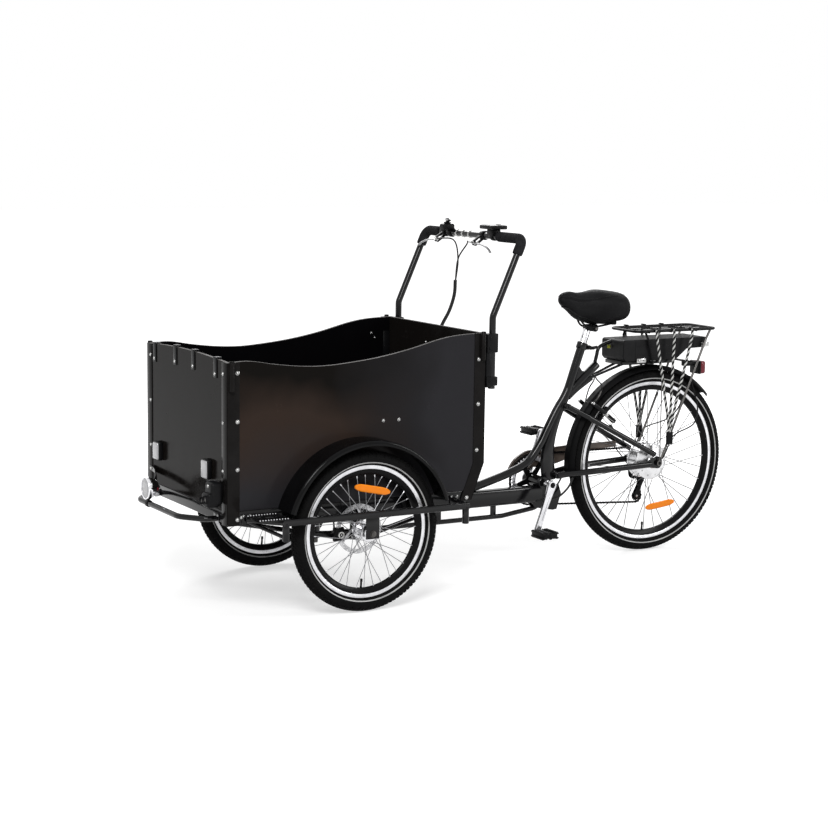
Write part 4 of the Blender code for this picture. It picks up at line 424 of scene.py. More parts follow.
class Look(Nodes):
    """A Principled material and short ways to drive its colour, roughness and bump."""

    def __init__(self, name, rough=0.5, metal=0.0, specular=0.5, coat=0.0, **sockets):
        self.material = bpy.data.materials.new(name)
        self.material.use_nodes = True
        super().__init__(self.material.node_tree)
        self.shader = self.tree.nodes["Principled BSDF"]
        self.set(
            Roughness=rough, Metallic=metal, Specular_IOR_Level=specular, Coat_Weight=coat, **sockets
        )
        self.height = None

    def set(self, **sockets):
        for key, value in sockets.items():
            self.feed(self.shader.inputs[key.replace("_", " ")], value)

    def noise(self, scale, detail=4.0, rough=0.5, where=None):
        where = where or self.place()
        return self.node("TexNoise", Vector=where, Scale=scale, Detail=detail, Roughness=rough).outputs["Fac"]

    def cells(self, scale, feature="DISTANCE_TO_EDGE", random=1.0):
        settings = {"feature": feature}
        added = self.node("TexVoronoi", settings, Vector=self.place(), Scale=scale, Randomness=random)
        return added.outputs["Distance"]

    def mix(self, factor, first, second):
        ends = [value if hasattr(value, "is_output") else (*value, 1) for value in (first, second)]
        added = self.filled("Mix", (factor, None, None, None, None, None, *ends), data_type="RGBA")
        return added.outputs[2]

    def colour(self, first, second=None, factor=None):
        self.set(Base_Color=(*first, 1) if second is None else self.mix(factor, first, second))
        self.material.diffuse_color = (*first, 1)

    def bump(self, height, strength, distance=0.001):
        added = self.node("Bump", Height=height, Strength=strength, Distance=distance)
        if self.height:
            self.feed(added.inputs["Normal"], self.height)
        self.height = added.outputs["Normal"]
        self.set(Normal=self.height)

    def roughness(self, value, low, high, to_low, to_high):
        self.set(Roughness=self.fit(value, low, high, to_low, to_high))


def paint(name, dark, light, rough, specular=0.4, grain=700, strength=0.05, coat=0.0):
    """Stove enamel or powder coat: fine orange peel, faint clouding and dust in the roughness."""
    look = Look(name, rough=rough, specular=specular, coat=coat, Coat_Roughness=0.08)
    clouds = look.noise(14, 5, 0.6)
    look.colour(dark, light, look.fit(clouds, 0.35, 0.75, 0, 1))
    look.roughness(look.noise(60, 4, 0.65), 0.3, 0.75, rough * 0.85, rough * 1.25)
    look.bump(look.noise(grain, 2, 0.5), strength, 0.0006)
    return look.material


def metal(name, dark, light, rough, grain=400, strength=0.06, stretch=(1, 1, 1), specular=0.5):
    """Bare metal with fine brushing along one direction and uneven polish."""
    look = Look(name, rough=rough, metal=1.0, specular=specular)
    scaled = look.node("Mapping", Vector=look.place(), Scale=stretch).outputs[0]
    look.colour(dark, light, look.fit(look.noise(30, 4, 0.6), 0.3, 0.7, 0, 1))
    look.roughness(look.noise(grain, 3, 0.6, scaled), 0.3, 0.7, rough * 0.75, rough * 1.3)
    look.bump(look.noise(grain * 1.4, 2, 0.5, scaled), strength, 0.0004)
    return look.material


def ringed(name, centre, dark, light, rough, pitch, strength, metallic=1.0):
    """Metal turned or machined in rings about a wheel's axle."""
    look = Look(name, rough=rough, metal=metallic)
    place = Vector(centre) + SHIFT
    moved = look.node("Mapping", Vector=look.place(), Location=-place).outputs[0]
    flat = look.node("VectorMath", {"operation": "MULTIPLY"}, Vector=moved)
    look.feed(flat.inputs[1], (1, 0, 1))
    reach = look.node("VectorMath", {"operation": "LENGTH"})
    look.feed(reach.inputs[0], flat.outputs[0])
    grooves = look.maths("SINE", look.maths("MULTIPLY", reach.outputs["Value"], 2 * math.pi / pitch))
    look.colour(dark, light, look.fit(look.noise(45, 4, 0.6), 0.3, 0.7, 0, 1))
    look.roughness(look.noise(300, 3, 0.6), 0.3, 0.7, rough * 0.8, rough * 1.3)
    look.bump(grooves, strength, 0.0002)
    return look.material


def rubber(name, dark, light, rough=0.72, grain=900, strength=0.25):
    look = Look(name, rough=rough, specular=0.06)
    dust = look.noise(22, 6, 0.65)
    look.colour(dark, light, look.fit(dust, 0.4, 0.75, 0, 1))
    look.roughness(dust, 0.3, 0.75, rough * 0.85, min(1, rough * 1.2))
    look.bump(look.noise(grain, 3, 0.6), strength, 0.0005)
    return look.material


def moulded(name, dark, light, rough=0.45, grain=1100, strength=0.3, specular=0.09):
    """Injection-moulded plastic with a spark-eroded grain."""
    look = Look(name, rough=rough, specular=specular)
    look.colour(dark, light, look.fit(look.noise(25, 5, 0.6), 0.35, 0.75, 0, 1))
    look.roughness(look.noise(120, 3, 0.6), 0.3, 0.75, rough * 0.85, rough * 1.2)
    look.bump(look.cells(grain, "SMOOTH_F1"), strength, 0.0003)
    return look.material


def film_faced(name):
    """Phenolic film over plywood: deep black, with painted brown and blue-grey reflections on its faces,
    painted shade on the front face and inside, and paler ply on the edge.
    """
    look = Look(name, rough=0.14, specular=0.045)
    parts = look.node("SeparateXYZ", Vector=look.place()).outputs
    # Painted reflections of the studio: near black at the top front, brown lower towards the front, and
    # blue-grey towards the rear and the bottom. drift bends their borders with noise.
    drift = look.maths("MULTIPLY", look.maths("SUBTRACT", look.noise(3.0, 3, 0.5), 0.5), 0.55)
    along = look.maths("ADD", parts["X"], drift)
    rise = look.maths("ADD", parts["Z"], look.maths("MULTIPLY", drift, 0.6))
    middle = SHIFT.x
    painted_grey_reflection = look.fit(along, middle - 0.05, middle + 0.34, 0, 1)
    low = look.fit(rise, 0.56, 0.40, 0, 1)
    painted_brown_reflection = look.maths(
        "MULTIPLY", look.fit(rise, 0.74, 0.60, 0, 1), look.fit(along, middle + 0.22, middle - 0.06, 0, 1)
    )
    first = look.mix(painted_brown_reflection, (0.0034, 0.0026, 0.0020), (0.0270, 0.0175, 0.0135))
    second = look.mix(look.maths("MAXIMUM", painted_grey_reflection, low), first, (0.0200, 0.0195, 0.0220))
    normal = look.node("SeparateXYZ", Vector=look.place("Normal")).outputs
    up = look.fit(look.maths("ABSOLUTE", normal["Z"]), 0.45, 0.75, 0, 1)
    # inside and back pick the faces that look into the box. These get a near-black colour, which is painted
    # shade.
    inside = look.fit(look.maths("MULTIPLY", normal["Y"], parts["Y"]), -0.05, 0.05, 1, 0)
    layers = look.maths(
        "SINE", look.maths("MULTIPLY", look.maths("ADD", parts["X"], parts["Y"]), 2 * math.pi / 0.0026)
    )
    ply = look.mix(look.fit(layers, -1, 1, 0, 1), (0.064, 0.060, 0.058), (0.095, 0.090, 0.087))
    side = look.fit(look.maths("ABSOLUTE", normal["Y"]), 0.4, 0.6, 0, 1)
    back = look.maths("MULTIPLY", inside, side)
    # fore picks the faces that look forward, on the front panel. These get a flat darker colour, which is
    # painted shade, and a lower specular level.
    fore = look.fit(normal["X"], -0.4, -0.6, 0, 1)
    face = look.mix(back, look.mix(fore, second, (0.0075, 0.0064, 0.0058)), (0.0020, 0.0018, 0.0022))
    look.set(Base_Color=look.mix(up, face, ply))
    look.set(Specular_IOR_Level=look.fit(normal["X"], -0.4, -0.6, 0.045, 0.030))
    look.material.diffuse_color = (0.01, 0.009, 0.009, 1)
    look.roughness(
        look.maths("ADD", look.noise(9, 6, 0.7), look.maths("MULTIPLY", up, 0.6)), 0.35, 1.2, 0.09, 0.60
    )
    look.bump(look.noise(5, 2, 0.5), 0.10, 0.004)
    look.bump(look.noise(420, 3, 0.5), 0.04, 0.0004)
    return look.material


def lens(name, dark, light, scale=260, rough=0.12, glow=0.0, specular=0.5, coat=0.6):
    """A moulded reflector lens with rows of small prisms behind a smooth face."""
    look = Look(name, rough=rough, specular=specular, coat=coat, Coat_Roughness=0.04)
    facets = look.cells(scale, "F1", random=0.0)
    look.colour(dark, light, look.fit(facets, 0.1, 0.6, 1, 0))
    look.bump(facets, 0.6, 0.0012)
    # glow makes the lens give off a faint light of its own. This is a painted glow, because the reflectors
    # that use it are no lamps.
    if glow:
        look.set(Emission_Color=(*light, 1), Emission_Strength=glow)
    return look.material


def braid(name, pale, dark, pitch, strands=2.0):
    """An elastic cord's woven sleeve: pale and dark yarns that spiral both ways round it."""
    look = Look(name, rough=0.82, specular=0.12, Sheen_Weight=0.05)
    uv = look.node("SeparateXYZ", Vector=look.place("UV")).outputs
    around = look.maths("MULTIPLY", uv["X"], 2 * math.pi * strands)
    along = look.maths("MULTIPLY", uv["Y"], 2 * math.pi / pitch)
    one = look.maths("SINE", look.maths("ADD", around, along))
    other = look.maths(
        "SINE", look.maths("SUBTRACT", look.maths("MULTIPLY", around, 2), look.maths("MULTIPLY", along, 3))
    )
    mixed = look.maths("ADD", one, look.maths("MULTIPLY", other, 0.35))
    look.colour(dark, pale, look.fit(mixed, 0.12, 0.42, 0, 1))
    look.bump(
        look.maths(
            "MULTIPLY", look.maths("SINE", look.maths("MULTIPLY", around, 5)),
            look.maths("SINE", look.maths("MULTIPLY", along, 7)),
        ),
        0.5, 0.0004,
    )
    return look.material


def sheath(name, tone=0.006, pitch=0.0, rough=0.42):
    """A cable's plastic jacket, plain or spiral-wrapped."""
    look = Look(name, rough=rough, specular=0.2)
    look.colour((tone,) * 3, (tone * 1.9,) * 3, look.fit(look.noise(70, 4, 0.6), 0.35, 0.7, 0, 1))
    if pitch:
        uv = look.node("SeparateXYZ", Vector=look.place("UV")).outputs
        turn = look.maths("ADD", uv["X"], look.maths("DIVIDE", uv["Y"], pitch))
        groove = look.fit(look.maths("FRACT", turn), 0.0, 0.16, 0, 1)
        look.bump(groove, 0.9, 0.0012)
    look.bump(look.noise(500, 2, 0.5), 0.08, 0.0004)
    return look.material


def leather(name):
    """The saddle's grained vinyl, with its shine varying at random across it."""
    look = Look(name, rough=0.5, specular=0.08)
    grain = look.cells(430, "DISTANCE_TO_EDGE")
    look.colour(
        (0.0042, 0.0042, 0.0047), (0.0078, 0.0078, 0.0084),
        look.fit(look.noise(18, 5, 0.6), 0.35, 0.7, 0, 1),
    )
    look.roughness(look.noise(12, 4, 0.6), 0.3, 0.7, 0.40, 0.58)
    look.bump(look.fit(grain, 0.0, 0.22, 0, 1), 0.32, 0.0006)
    look.bump(look.noise(900, 2, 0.6), 0.12, 0.0003)
    return look.material


def foam(name):
    look = Look(name, rough=0.95, specular=0.08)
    pores = look.cells(1500, "F1")
    look.colour(
        (0.010, 0.010, 0.011), (0.022, 0.022, 0.024), look.fit(look.noise(60, 5, 0.7), 0.3, 0.75, 0, 1)
    )
    look.bump(pores, 0.6, 0.0006)
    return look.material


BLACK = paint("powder_black", (0.0030, 0.0030, 0.0034), (0.0058, 0.0058, 0.0064), 0.13, specular=0.24)
SATIN = paint(
    "satin_black", (0.0034, 0.0034, 0.0038), (0.0068, 0.0068, 0.0074), 0.34, specular=0.09, strength=0.09
)
GLOSS = paint(
    "gloss_black", (0.0022, 0.0022, 0.0024), (0.0040, 0.0040, 0.0044), 0.12, specular=0.10, strength=0.02
)
FILM = film_faced("film_faced_ply")
TYRE = rubber("tyre_rubber", (0.0032, 0.0032, 0.0034), (0.0068, 0.0066, 0.0064))
SOFT_RUBBER = rubber("soft_rubber", (0.0050, 0.0050, 0.0054), (0.0095, 0.0095, 0.0100), 0.6)
RIM_BLACK = paint(
    "rim_black", (0.0028, 0.0028, 0.0031), (0.0050, 0.0050, 0.0054), 0.26, specular=0.08, grain=500
)
SILVER = metal("polished_alloy", (0.60, 0.60, 0.62), (0.74, 0.74, 0.76), 0.24)
CAST = metal("cast_alloy", (0.48, 0.48, 0.50), (0.64, 0.64, 0.66), 0.36, grain=700, strength=0.15)
SPOKE = metal("stainless_spoke", (0.24, 0.24, 0.25), (0.36, 0.36, 0.37), 0.36, grain=900)
STEEL = metal("dark_steel", (0.060, 0.058, 0.056), (0.120, 0.115, 0.110), 0.38, grain=800, strength=0.12)
CHROME = metal("chrome", (0.72, 0.72, 0.74), (0.82, 0.82, 0.84), 0.08, strength=0.01)
BOLT = metal("zinc_bolt", (0.30, 0.30, 0.30), (0.46, 0.46, 0.45), 0.22, grain=1200, strength=0.08)
CASE = moulded("battery_case", (0.0050, 0.0050, 0.0054), (0.0090, 0.0090, 0.0096))
PLASTIC = moulded("black_plastic", (0.0038, 0.0038, 0.0042), (0.0076, 0.0076, 0.0082), 0.36)
SMOKE = moulded(
    "smoked_plastic", (0.105, 0.082, 0.068), (0.150, 0.122, 0.105), 0.22, grain=500, strength=0.08,
    specular=0.3,
)
# The amber spoke reflectors carry a faint painted glow, an emission, though they are no lamp.
AMBER = lens("amber_lens", (0.80, 0.20, 0.002), (0.98, 0.31, 0.004), 330, glow=0.04, specular=0.15, coat=0.10)
RED = lens("red_lens", (0.13, 0.002, 0.010), (0.24, 0.005, 0.020), 260, specular=0.25, coat=0.15)
WHITE = lens("clear_lens", (0.30, 0.30, 0.31), (0.62, 0.62, 0.64), 330, rough=0.16)
CORD = braid("braided_cord", (0.62, 0.62, 0.60), (0.004, 0.004, 0.005), 0.022)
CABLE = sheath("cable_sheath")
WRAP = sheath("spiral_wrap", 0.007, 0.008)
VINYL = leather("grained_vinyl")
FOAM = foam("grip_foam")
SCREEN = moulded(
    "screen_glass_dark", (0.008, 0.010, 0.012), (0.012, 0.014, 0.017), 0.10, grain=60, strength=0.01,
    specular=0.5,
)
STRIPE = paint("reflective_stripe", (0.34, 0.34, 0.34), (0.46, 0.46, 0.45), 0.35, grain=1500, strength=0.2)
KEY = moulded("key_bow", (0.30, 0.32, 0.03), (0.42, 0.44, 0.06), 0.35)
STRIP = paint(
    "strip_black", (0.0060, 0.0054, 0.0052), (0.0110, 0.0100, 0.0098), 0.20, specular=0.05, strength=0.03
)
GUARD = paint("dull_black", (0.0026, 0.0026, 0.0028), (0.0050, 0.0050, 0.0054), 0.50, specular=0.05)
LEVER = metal("lever_alloy", (0.22, 0.22, 0.225), (0.36, 0.36, 0.365), 0.30, grain=700)
THIN_SPOKE = metal("dark_spoke", (0.075, 0.075, 0.078), (0.130, 0.130, 0.135), 0.40, grain=900)

SLOT_LOOKS = {
    "frame": BLACK, "panel": FILM, "guard": GLOSS, "rubber": TYRE, "foam": FOAM, "cover": VINYL,
    "moulded": PLASTIC, "smoked": SMOKE, "webbing": CORD, "alloy": CAST, "steel": STEEL, "chrome": CHROME,
    "lamp": RED,
}
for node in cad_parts.values():
    for place in node.material_slots:
        kind = place.material.name.split(".")[0]
        if kind in SLOT_LOOKS:
            place.material = SLOT_LOOKS[kind]


# Stage

def shown_rays(nodes):
    """1 for what the camera sees, directly, in a reflection or through glass, and 0 for other light."""
    rays = nodes.node("LightPath").outputs
    seen = nodes.maths("MAXIMUM", rays["Is Camera Ray"], rays["Is Glossy Ray"])
    return nodes.maths("MAXIMUM", seen, rays["Is Transmission Ray"])


def emptied(owner):
    owner.use_nodes = True
    owner.node_tree.nodes.clear()
    return Nodes(owner.node_tree)


def studio_sky():
    """White where it is seen and dimmer as a light, so that the shapes keep their shading."""
    world = bpy.data.worlds.new("studio")
    bpy.context.scene.world = world
    nodes = emptied(world)
    strength = nodes.fit(shown_rays(nodes), 0.0, 1.0, 0.42, 1.0)
    sky = nodes.filled("Background", ((1, 1, 1, 1), strength))
    nodes.filled("OutputWorld", (sky.outputs[0],))


def studio_floor():
    """A matt floor with a glow that makes it white away from the object."""
    shape = bmesh.new()
    bmesh.ops.create_grid(shape, x_segments=1, y_segments=1, size=30)
    mesh = bpy.data.meshes.new("floor")
    shape.to_mesh(mesh)
    shape.free()
    floor = bpy.data.objects.new("floor", mesh)
    floor.location.z = -0.0005
    bpy.context.scene.collection.objects.link(floor)
    material = bpy.data.materials.new("floor_white")
    nodes = emptied(material)
    grain = nodes.node("TexNoise", Scale=3).outputs["Fac"]
    diffuse = nodes.filled("BsdfDiffuse", (nodes.fit(grain, 0.0, 1.0, 0.60, 0.63),))
    reach = nodes.filled("VectorMath", (nodes.place(),), operation="LENGTH").outputs["Value"]
    gain = nodes.maths("MULTIPLY", shown_rays(nodes), nodes.fit(reach, 1.1, 3.0, 0.56, 1.0))
    glow = nodes.filled("Emission", (None, gain))
    both = nodes.filled("AddShader", (diffuse.outputs[0], glow.outputs[0]))
    nodes.filled("OutputMaterial", (both.outputs[0],))
    mesh.materials.append(material)


def studio_lamps():
    for name, place, target, size, watts in (
        ("key", (-2.6, -3.4, 3.6), (0.0, 0, 0.5), (1.8, 1.8), 170),
        ("fill", (3.4, -3.0, 2.4), (0.3, 0, 0.6), (0.6, 2.6), 70),
        ("back", (1.2, 3.6, 3.4), (0.2, 0, 0.6), (3.0, 1.6), 110),
    ):
        data = bpy.data.lights.new(name, "AREA")
        data.shape, data.size, data.size_y, data.energy = "RECTANGLE", size[0], size[1], watts
        lamp = bpy.data.objects.new(name, data)
        lamp.location = place
        lamp.rotation_euler = (Vector(target) - Vector(place)).to_track_quat("-Z", "Y").to_euler()
        bpy.context.scene.collection.objects.link(lamp)


studio_sky()
studio_floor()
studio_lamps()
bpy.context.scene.view_settings.view_transform = "Standard"


# Wheels and tyres

def tyre(name, node, centre, rim, radius, body):
    """A round carcass with moulded tread blocks, a reflective stripe and two ribs on each sidewall."""
    tread, half = 0.0024, 0.0246
    mid = rim + 0.42 * (radius - rim)
    high, low = radius - tread - mid, (mid - rim - 0.0002) / 0.906

    def carcass(phi, lift=0.0):
        """Distance from the axle, and along it, of the carcass at an angle round its section."""
        out = (high if math.cos(phi) > 0 else low) + lift
        return mid + out * math.cos(phi), (half + lift) * math.sin(phi)

    profile = [carcass(math.radians(-155 + 310 * k / 26)) for k in range(27)]
    parts = [(turned(profile, centre, steps=150), TYRE)]

    # Each row: its two angles, its start and end in shares of a step, and its slant
    rows = (
        (0.05, 0.25, 0.06, 0.66, 0.22), (0.32, 0.56, 0.40, 0.94, -0.16),
        (0.64, 0.90, 0.02, 0.52, 0.12), (0.98, 1.20, 0.56, 0.90, 0.0),
    )
    blocks = bmesh.new()
    count = round(2 * math.pi * radius / 0.0150)
    step = 2 * math.pi / count
    for k, side, row in itertools.product(range(count), (-1, 1), rows):
        near, far, start, end, skew = row
        if row == rows[3] and k % 2:
            continue
        stagger = 0.5 if side > 0 else 0
        first, last = step * (k + start + stagger), step * (k + end + stagger)
        slant = skew * step
        middle_phi, middle_turn = (near + far) / 2, (first + last + slant) / 2
        corners = []
        for lift, inset in ((-0.0004, 0.0), (tread, 0.10)):
            for phi, turn in ((near, first), (near, last), (far, last + slant), (far, first + slant)):
                reach, along = carcass(side * (phi + (middle_phi - phi) * inset), lift)
                place = spin(turn + (middle_turn - turn) * inset, reach, along)
                corners.append(blocks.verts.new(centre + place))
        blocks.faces.new(corners[4:])
        for j in range(4):
            after = (j + 1) % 4
            blocks.faces.new((corners[j], corners[after], corners[4 + after], corners[4 + j]))
    bmesh.ops.recalc_face_normals(blocks, faces=blocks.faces[:])
    parts.append((blocks, TYRE))

    stripe = math.acos((rim + (0.0100 if radius < 0.3 else 0.0140) - mid) / low)
    for phi, wide, look in ((1.50, 0.035, TYRE), (stripe, 0.105, STRIPE), (2.42, 0.035, TYRE)):
        for side in (-1, 1):
            ring = []
            for share, lift in ((-1, -0.0003), (-0.8, 0.0006), (0.8, 0.0006), (1, -0.0003)):
                reach, along = carcass(phi + wide * share, lift)
                ring.append((reach, side * min(0.0250, along)))
            parts.append((turned(ring, centre, steps=150), look))
    return made(name, parts, body, node, 35)


def rim_parts(tag, centre, outer):
    """A deep black rim with a machined braking band on each side."""
    inner = outer - RIM_DEPTH
    body = [
        (outer - 0.0104, -0.0120), (outer - 0.0125, -0.0121), (outer - 0.0165, -0.0108),
        (outer - 0.0235, -0.0080), (inner + 0.0022, -0.0056), (inner + 0.0004, -0.0042), (inner, -0.0022),
    ]
    body += [(reach, -along) for reach, along in reversed(body)]
    band = ringed(f"machined_band_{tag}", centre, (0.56, 0.56, 0.58), (0.72, 0.72, 0.74), 0.30, 0.0011, 0.25)
    parts = [(turned(body, centre, steps=144), RIM_BLACK)]
    for side in (-1, 1):
        profile = [
            (outer + 0.0004, side * 0.0098), (outer + 0.0010, side * 0.0116), (outer + 0.0006, side * 0.0125),
            (outer - 0.0096, side * 0.0125), (outer - 0.0108, side * 0.0119), (outer - 0.0108, side * 0.0098),
        ]
        parts.append((turned(profile, centre, steps=144), band))
    return parts


def spoke_parts(centre, hub_radius, flanges, rim, cross, look, thick=0.0012):
    """36 crossed spokes, each with its bent head in the flange and its nipple in the rim."""
    wires, ends = [], []
    for k in range(36):
        angle = 2 * math.pi * k / 36
        flange = flanges[k % 2]
        lean = cross if (k // 2) % 2 else -cross
        proud = math.copysign(0.0024, flange) * (1 if lean > 0 else -1)
        start = centre + spin(angle + lean, hub_radius, flange + proud)
        end = centre + spin(angle, rim - RIM_DEPTH + 0.002, 0.08 * flange)
        wires.append(rod(start, end, thick, 6))
        wires.append(pin(start, 0, -proud * 1.9, thick, 6))
        wires.append(pin(start, -proud * 1.7, -proud * 2.2, 0.0020, 8))
        back = (start - end).normalized()
        ends.append(rod(end - back * 0.002, end + back * 0.009, 0.0021, 8, 0.0018))
    return [(wires, look), (ends, CAST)]


def valve_parts(centre, rim, turn):
    """A rubber valve stem with its cap."""
    out = spin(turn)
    foot = centre + out * (rim - RIM_DEPTH + 0.002)
    return [
        (rod(foot, foot - out * 0.020, 0.0036, 14, 0.0030), SOFT_RUBBER),
        (rod(foot - out * 0.019, foot - out * 0.030, 0.0040, 14, ease=0.0012), PLASTIC),
    ]


def spoke_reflector(tag, place, ahead, body):
    """A long oval reflector in the wheel's plane."""
    length, tall, thick = 0.126, 0.0235, 0.0062
    ahead = Vector(ahead).normalized()
    rise = Vector((-ahead.z, 0, ahead.x))
    section = ((-1, -0.35), (-0.75, -1), (0.75, -1), (1, -0.35), (1, 0.35), (0.75, 1), (-0.75, 1), (-1, 0.35))
    rings = []
    for k in range(25):
        t = -1 + 2 * k / 24
        half = tall / 2 * max(0.16, 1 - abs(t) ** 6.0) ** 0.5
        spine = place + ahead * (length / 2 * t)
        rings.append([spine + rise * (half * a) + Vector((0, thick / 2 * b, 0)) for a, b in section])
    made(f"spoke_reflector_{tag}", [(skin(rings), AMBER)], body, smooth_angle=30)


def drilled_ring(centre, inner, outer, thick, cells=30, rows=2, hole=0.0021):
    """A brake rotor's friction ring with rows of round holes."""
    shape = bmesh.new()
    for row, k in itertools.product(range(rows), range(cells)):
        low = inner + (outer - inner) * row / rows
        high = inner + (outer - inner) * (row + 1) / rows
        start = 2 * math.pi * (k + 0.5 * row) / cells
        end = start + 2 * math.pi / cells
        reach, middle = (low + high) / 2, (start + end) / 2
        edge = (
            (low, start), (low, middle), (low, end), (reach, end),
            (high, end), (high, middle), (high, start), (reach, start),
        )
        eye = spin(middle, reach)
        outside = [spin(angle, radius) for radius, angle in edge]
        inside = [eye + (point - eye).normalized() * hole for point in outside]
        far, near = [[shape.verts.new(centre + point) for point in ring] for ring in (outside, inside)]
        for j in range(8):
            shape.faces.new((far[j], far[(j + 1) % 8], near[(j + 1) % 8], near[j]))
    bmesh.ops.remove_doubles(shape, verts=shape.verts[:], dist=0.00002)
    bmesh.ops.recalc_face_normals(shape, faces=shape.faces[:])
    bmesh.ops.solidify(shape, geom=shape.faces[:], thickness=thick)
    bmesh.ops.translate(shape, vec=(0, thick / 2, 0), verts=shape.verts)
    return shape


def bolt_circle(centre, count, reach, start, end, first=0.0):
    """Small bolt heads round an axle, from one place along it to another."""
    angles = [2 * math.pi * (k + first) / count for k in range(count)]
    return [(pin(centre + spin(angle, reach), start, end, 0.0030, 12, ease=0.0006), BOLT) for angle in angles]


def front_wheel(tag, side, body):
    centre = FRONT_AXLE + Vector((0, side * WHEEL_Y, 0))
    tyre(f"tyre_{tag}_tread", f"tyre_{tag}", centre, FRONT_RIM, FRONT_R, body)
    axis = (0, side, 0)
    hub = mm(
        (7.2, -52), (12.5, -52), (14, -50.5), (20.5, -40), (23.5, -33.5), (28.5, -32.5), (29, -31.8),
        (29, -26.2), (28.4, -25.5), (20, -24.5), (15, -19.5), (13.8, -10), (13.8, 10), (15, 19.5), (20, 24),
        (28.4, 25), (29, 25.8), (29, 31.3), (28.4, 32), (19, 33.5), (14.2, 39), (13, 44), (7.2, 44),
    )
    disc = ringed(f"brushed_rotor_{tag}", centre, (0.42, 0.42, 0.43), (0.60, 0.60, 0.61), 0.30, 0.0007, 0.12)
    parts = rim_parts(tag, centre, FRONT_RIM)
    parts += spoke_parts(centre, 0.026, (-0.029, 0.0285), FRONT_RIM, math.radians(60), SPOKE)
    parts.append((turned(hub, centre, axis, 48), SILVER))
    middle = centre + Vector((0, -side * ROTOR_IN, 0))
    parts.append((drilled_ring(middle, 0.0650, 0.0798, 0.0019), disc))
    arms = []
    for k in range(6):
        route = []
        for j in range(6):
            reach, angle = 0.014 + 0.0525 * j / 5, 2 * math.pi * k / 6 + 0.62 * (j / 5) ** 0.8
            route.append(middle + spin(angle, reach))
        arms.append(sweep(route, flat_bar(0.0009, 0.0030), (0.3, 0, 1), scale=lambda t: 1.25 - 0.35 * t))
    boss = turned(mm((7.5, -45.5), (21.5, -45.5), (22.2, -44.5), (22.2, -33), (7.5, -33)), centre, axis, 40)
    parts += [(arms, disc), (boss, CAST)]
    parts += bolt_circle(centre, 6, 0.0165, -side * 0.0452, -side * 0.0470, 0.5)
    parts += valve_parts(centre, FRONT_RIM, math.radians(-94))
    made(f"wheel_{tag}_laced", parts, body, f"wheel_{tag}", 35)
    spoke_reflector(tag, centre + Vector((0.0175, side * 0.0150, 0.1330)), (0.121, 0, -0.026), body)


def rear_wheel():
    centre = REAR_AXLE
    tyre("rear_tyre_tread", "rear_tyre", centre, REAR_RIM, REAR_R, "rear_wheel")
    drum = mm(
        (7, -50), (20, -50), (22.2, -48.5), (25, -44), (56, -37.5), (60, -34.5), (65.2, -32.5), (66, -31.7),
        (66, -25.8), (65.2, -25), (62.2, -24.2), (61.8, -23), (61.8, 18), (62.2, 19.2), (65.2, 20),
        (66, 20.8), (66, 25.2), (65, 26.2), (40, 28.5), (22, 29.8), (7, 30),
    )
    look = ringed("turned_drum", centre, (0.60, 0.60, 0.61), (0.76, 0.76, 0.77), 0.26, 0.0016, 0.10)
    parts = rim_parts("rear", centre, REAR_RIM)
    parts += spoke_parts(centre, 0.063, (-0.0285, 0.0225), REAR_RIM, math.radians(20), THIN_SPOKE, 0.00135)
    parts.append((turned(drum, centre, steps=96), look))
    parts += bolt_circle(centre, 10, 0.052, -0.0360, -0.0394)
    parts += valve_parts(centre, REAR_RIM, math.radians(-92))
    made("rear_wheel_laced", parts, "rear_wheel", "rear_wheel", 35)
    spoke_reflector("rear", Vector((1.4085, -0.0165, 0.1620)), (0.121, 0, 0.014), "rear_wheel")


for side_tag, side_sign in SIDES:
    front_wheel(side_tag, side_sign, f"front_wheel_{side_tag}")
rear_wheel()


# Cargo box

def shares(radius, *points):
    """A profile whose radii are written as shares of one radius."""
    return [(radius * share, along) for share, along in points]


def dome_bolt(at, out, radius=0.0062):
    """A mushroom-head bolt with a socket, on its washer."""
    at, out = Vector(at), Vector(out).normalized()
    washer = rod(at - out * 0.0002, at + out * 0.0009, radius * 1.28, 24, ease=0.0003)
    head = shares(
        radius, (1.0, 0.0006), (1.0, 0.0012), (0.93, 0.0022), (0.72, 0.0033),
        (0.40, 0.0040), (0.36, 0.0040), (0.32, 0.0026), (0.0, 0.0026),
    )
    return [washer, domed(head, at, out, 20)]


def side_curve(steps=6):
    """The side panel's top edge, which sags between the corners and rises to the rear."""
    points = [
        (BOX_FRONT, 0.799), (-0.374, 0.801), (-0.291, 0.788), (-0.205, 0.778), (-0.120, 0.775),
        (-0.030, 0.781), (0.073, 0.793), (0.180, 0.813), (0.290, 0.840), (0.364, 0.851),
        (BOX_REAR, BOX_REAR_TOP),
    ]
    return [(point.x, point.z) for point in smooth([(x, 0, z) for x, z in points], steps)]


def arch_curve(half, steps=40):
    return [
        (half * (1 - 2 * k / steps), BOX_FRONT_TOP + 0.010 * (1 - (1 - 2 * k / steps) ** 2))
        for k in range(steps + 1)
    ]


def panel(name, shape, node, bevel=0.0014, segments=3):
    made(name, [(shape, FILM)], "carriage", node, bevel=bevel, segments=segments)


